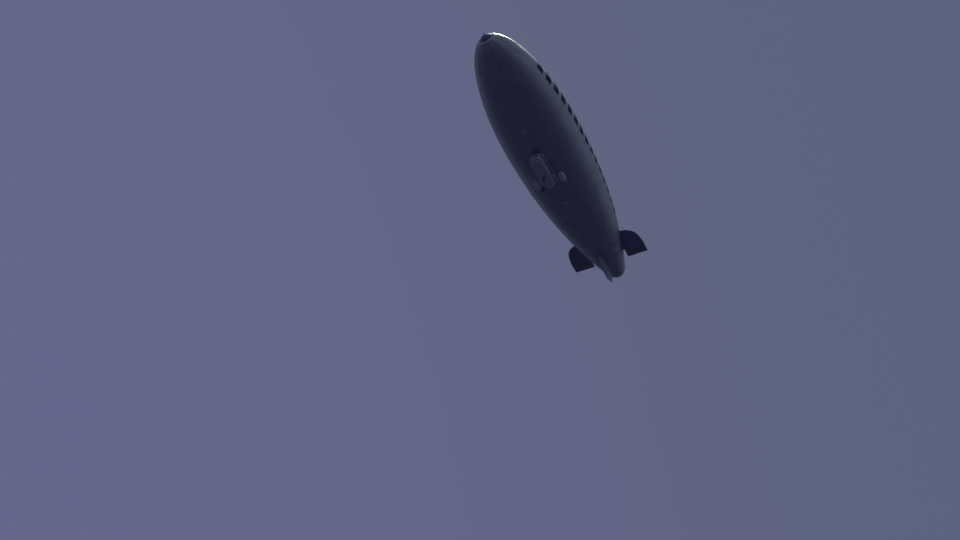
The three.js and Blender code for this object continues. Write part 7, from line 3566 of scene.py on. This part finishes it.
@dataclass
class Studio:
    """The floor, the light and the camera.

    The camera stands at floor level, far below and ahead of the craft on its port side, and looks up at it.
    All of these are model metres.

    Attributes:
        eye: where the camera is.
        right: the direction to the right of the picture.
        above: the direction to the top of the picture.
        back: the direction behind the camera.
        lens: focal length in mm.
        sensor: width of the sensor in mm.
        clip: how far the camera sees.
        floor: height of the floor.
        floor_reach: how far the floor goes to every side.
        floor_shade: how light it is.
        skies: colours of the backdrop at the left and at the right of the picture.
        sky_ports: how far to port the two are reached.
        glows: light from above, on the dull side and on the bright side.
        glow_reach: how far towards the bright side, or away from it, the two are reached.
        low_glow: light from below.
        horizon: how far up the light from below ends and the light from above is reached.
        bright_side: X and Y of the direction of the bright side, over the port bow.
        sun: direction towards the main light.
        sun_strength: how strong it is.
        sun_colour: its colour.
        sun_width: its width in degrees.
    """

    eye: tuple[float, float, float] = (42.53, 21.42, -66.28)
    right: tuple[float, float, float] = (-0.4655, 0.881, 0.0845)
    above: tuple[float, float, float] = (0.6738, 0.2909, 0.6793)
    back: tuple[float, float, float] = (0.5739, 0.3731, -0.729)
    lens: float = 33.75
    sensor: float = 36.0
    clip: float = 2000.0
    floor: float = -67.1
    floor_reach: float = 400.0
    floor_shade: Colour = (0.55, 0.55, 0.56)
    skies: tuple[Colour, Colour] = ((0.130, 0.138, 0.258), (0.109, 0.127, 0.205))
    sky_ports: tuple[float, float] = (-0.75, 0.09)
    glows: tuple[Colour, Colour] = ((0.120, 0.141, 0.205), (0.195, 0.226, 0.315))
    glow_reach: float = 0.9
    low_glow: Colour = (0.030, 0.032, 0.064)
    horizon: tuple[float, float] = (-0.02, 0.28)
    bright_side: tuple[float, float] = (0.6, 0.8)
    sun: tuple[float, float, float] = (-0.122, -0.017, 0.992)
    sun_strength: float = 3.2
    sun_colour: Colour = (1.0, 0.97, 0.88)
    sun_width: float = 4.0

    def build(self) -> None:
        """Camera first, then light and floor."""
        self.camera()
        self.light()
        self.backdrop()
        self.ground()
        bpy.context.scene.view_settings.view_transform = "Standard"

    @staticmethod
    def placed(holder: bpy.types.Object, *columns: Array | Point) -> None:
        """Turns and moves an object.

        Args:
            holder: the object.
            columns: the directions of its own X, Y and Z, and its place if that isn't the origin.
        """
        matrix = np.eye(4)
        matrix[:3, : len(columns)] = np.transpose(columns)
        holder.matrix_world = Matrix(matrix.tolist())

    def camera(self) -> None:
        """A camera whose columns are its right, up and back directions."""
        data = bpy.data.cameras.new("camera")
        data.lens, data.sensor_width, data.clip_end = self.lens, self.sensor, self.clip
        holder = loose("camera", data)
        self.placed(holder, self.right, self.above, self.back, self.eye)
        bpy.context.scene.camera = holder

    def light(self) -> None:
        """One broad sun, almost overhead."""
        data = bpy.data.lights.new("sun", "SUN")
        data.energy, data.color, data.angle = self.sun_strength, self.sun_colour, math.radians(self.sun_width)
        towards = unit(np.array(self.sun))
        side = unit(np.cross(UP, towards))
        self.placed(loose("sun", data), side, np.cross(towards, side), towards)

    def backdrop(self) -> None:
        """A lavender backdrop, greyer to port, and a sky that lights the craft most from above."""
        world = bpy.data.worlds.new("studio")
        world.use_nodes = True
        world.node_tree.nodes.clear()
        wiring = Wiring(world.node_tree)
        parts = wiring.add("SeparateXYZ", {0: wiring.add("TexCoord").outputs["Generated"]}).outputs
        ahead, port = (wiring.math("MULTIPLY", part, share) for part, share in zip(parts, self.bright_side))
        bright = wiring.ranged(wiring.math("ADD", ahead, port), -self.glow_reach, self.glow_reach)
        above = wiring.blend(bright, *(solid(shade) for shade in self.glows))
        glow = wiring.blend(wiring.ranged(parts[2], *self.horizon), solid(self.low_glow), above)
        seen = wiring.add("LightPath").outputs["Is Camera Ray"]
        sky = wiring.blend(wiring.ranged(parts[1], *self.sky_ports), *(solid(shade) for shade in self.skies))
        surface = wiring.add("Background", {"Color": wiring.blend(seen, glow, sky), "Strength": 1.0})
        wiring.add("OutputWorld", {"Surface": surface.outputs[0]})
        bpy.context.scene.world = world

    def ground(self) -> None:
        """A wide pale floor far below."""
        reach, up = self.floor_reach / MODEL_SCALE, self.floor / MODEL_SCALE
        mesh = mesh_of("floor", prism(rectangle(2 * reach, 2 * reach, 10.0, 4), up - 1.0, up, 0.2))
        finish = Finish(
            "studio floor", Slot.WHITE, self.floor_shade, 0.8, grain=2.0, depth=0.0, patches=0.05,
            mottle=0.05,
        )
        mesh.materials.append(finish.material())
        floor = loose("floor", mesh)
        floor.visible_diffuse = False
        floor.visible_glossy = False
        floor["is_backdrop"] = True


def main() -> None:
    """Builds the studio and every sub-assembly in order."""
    logging.basicConfig(level=logging.INFO, format="%(message)s")
    hull = HullShape()
    assemblies = [
        Studio(), Hull(hull), Nose(hull), Valves(hull), Tail(hull), Car(hull), Cabin(), HandRail(),
        *(Engine(side) for side in Side), *(Scoop(hull, side) for side in Side), Gear(),
    ]
    for assembly in assemblies:
        LOG.info("building %s", type(assembly).__name__)
        assembly.build()
    both = {"cad": CAD_BOX, "visual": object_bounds()}
    boxes = {name: [list(corner) for corner in box] for name, box in both.items()}


if __name__ == "__main__":
    main()
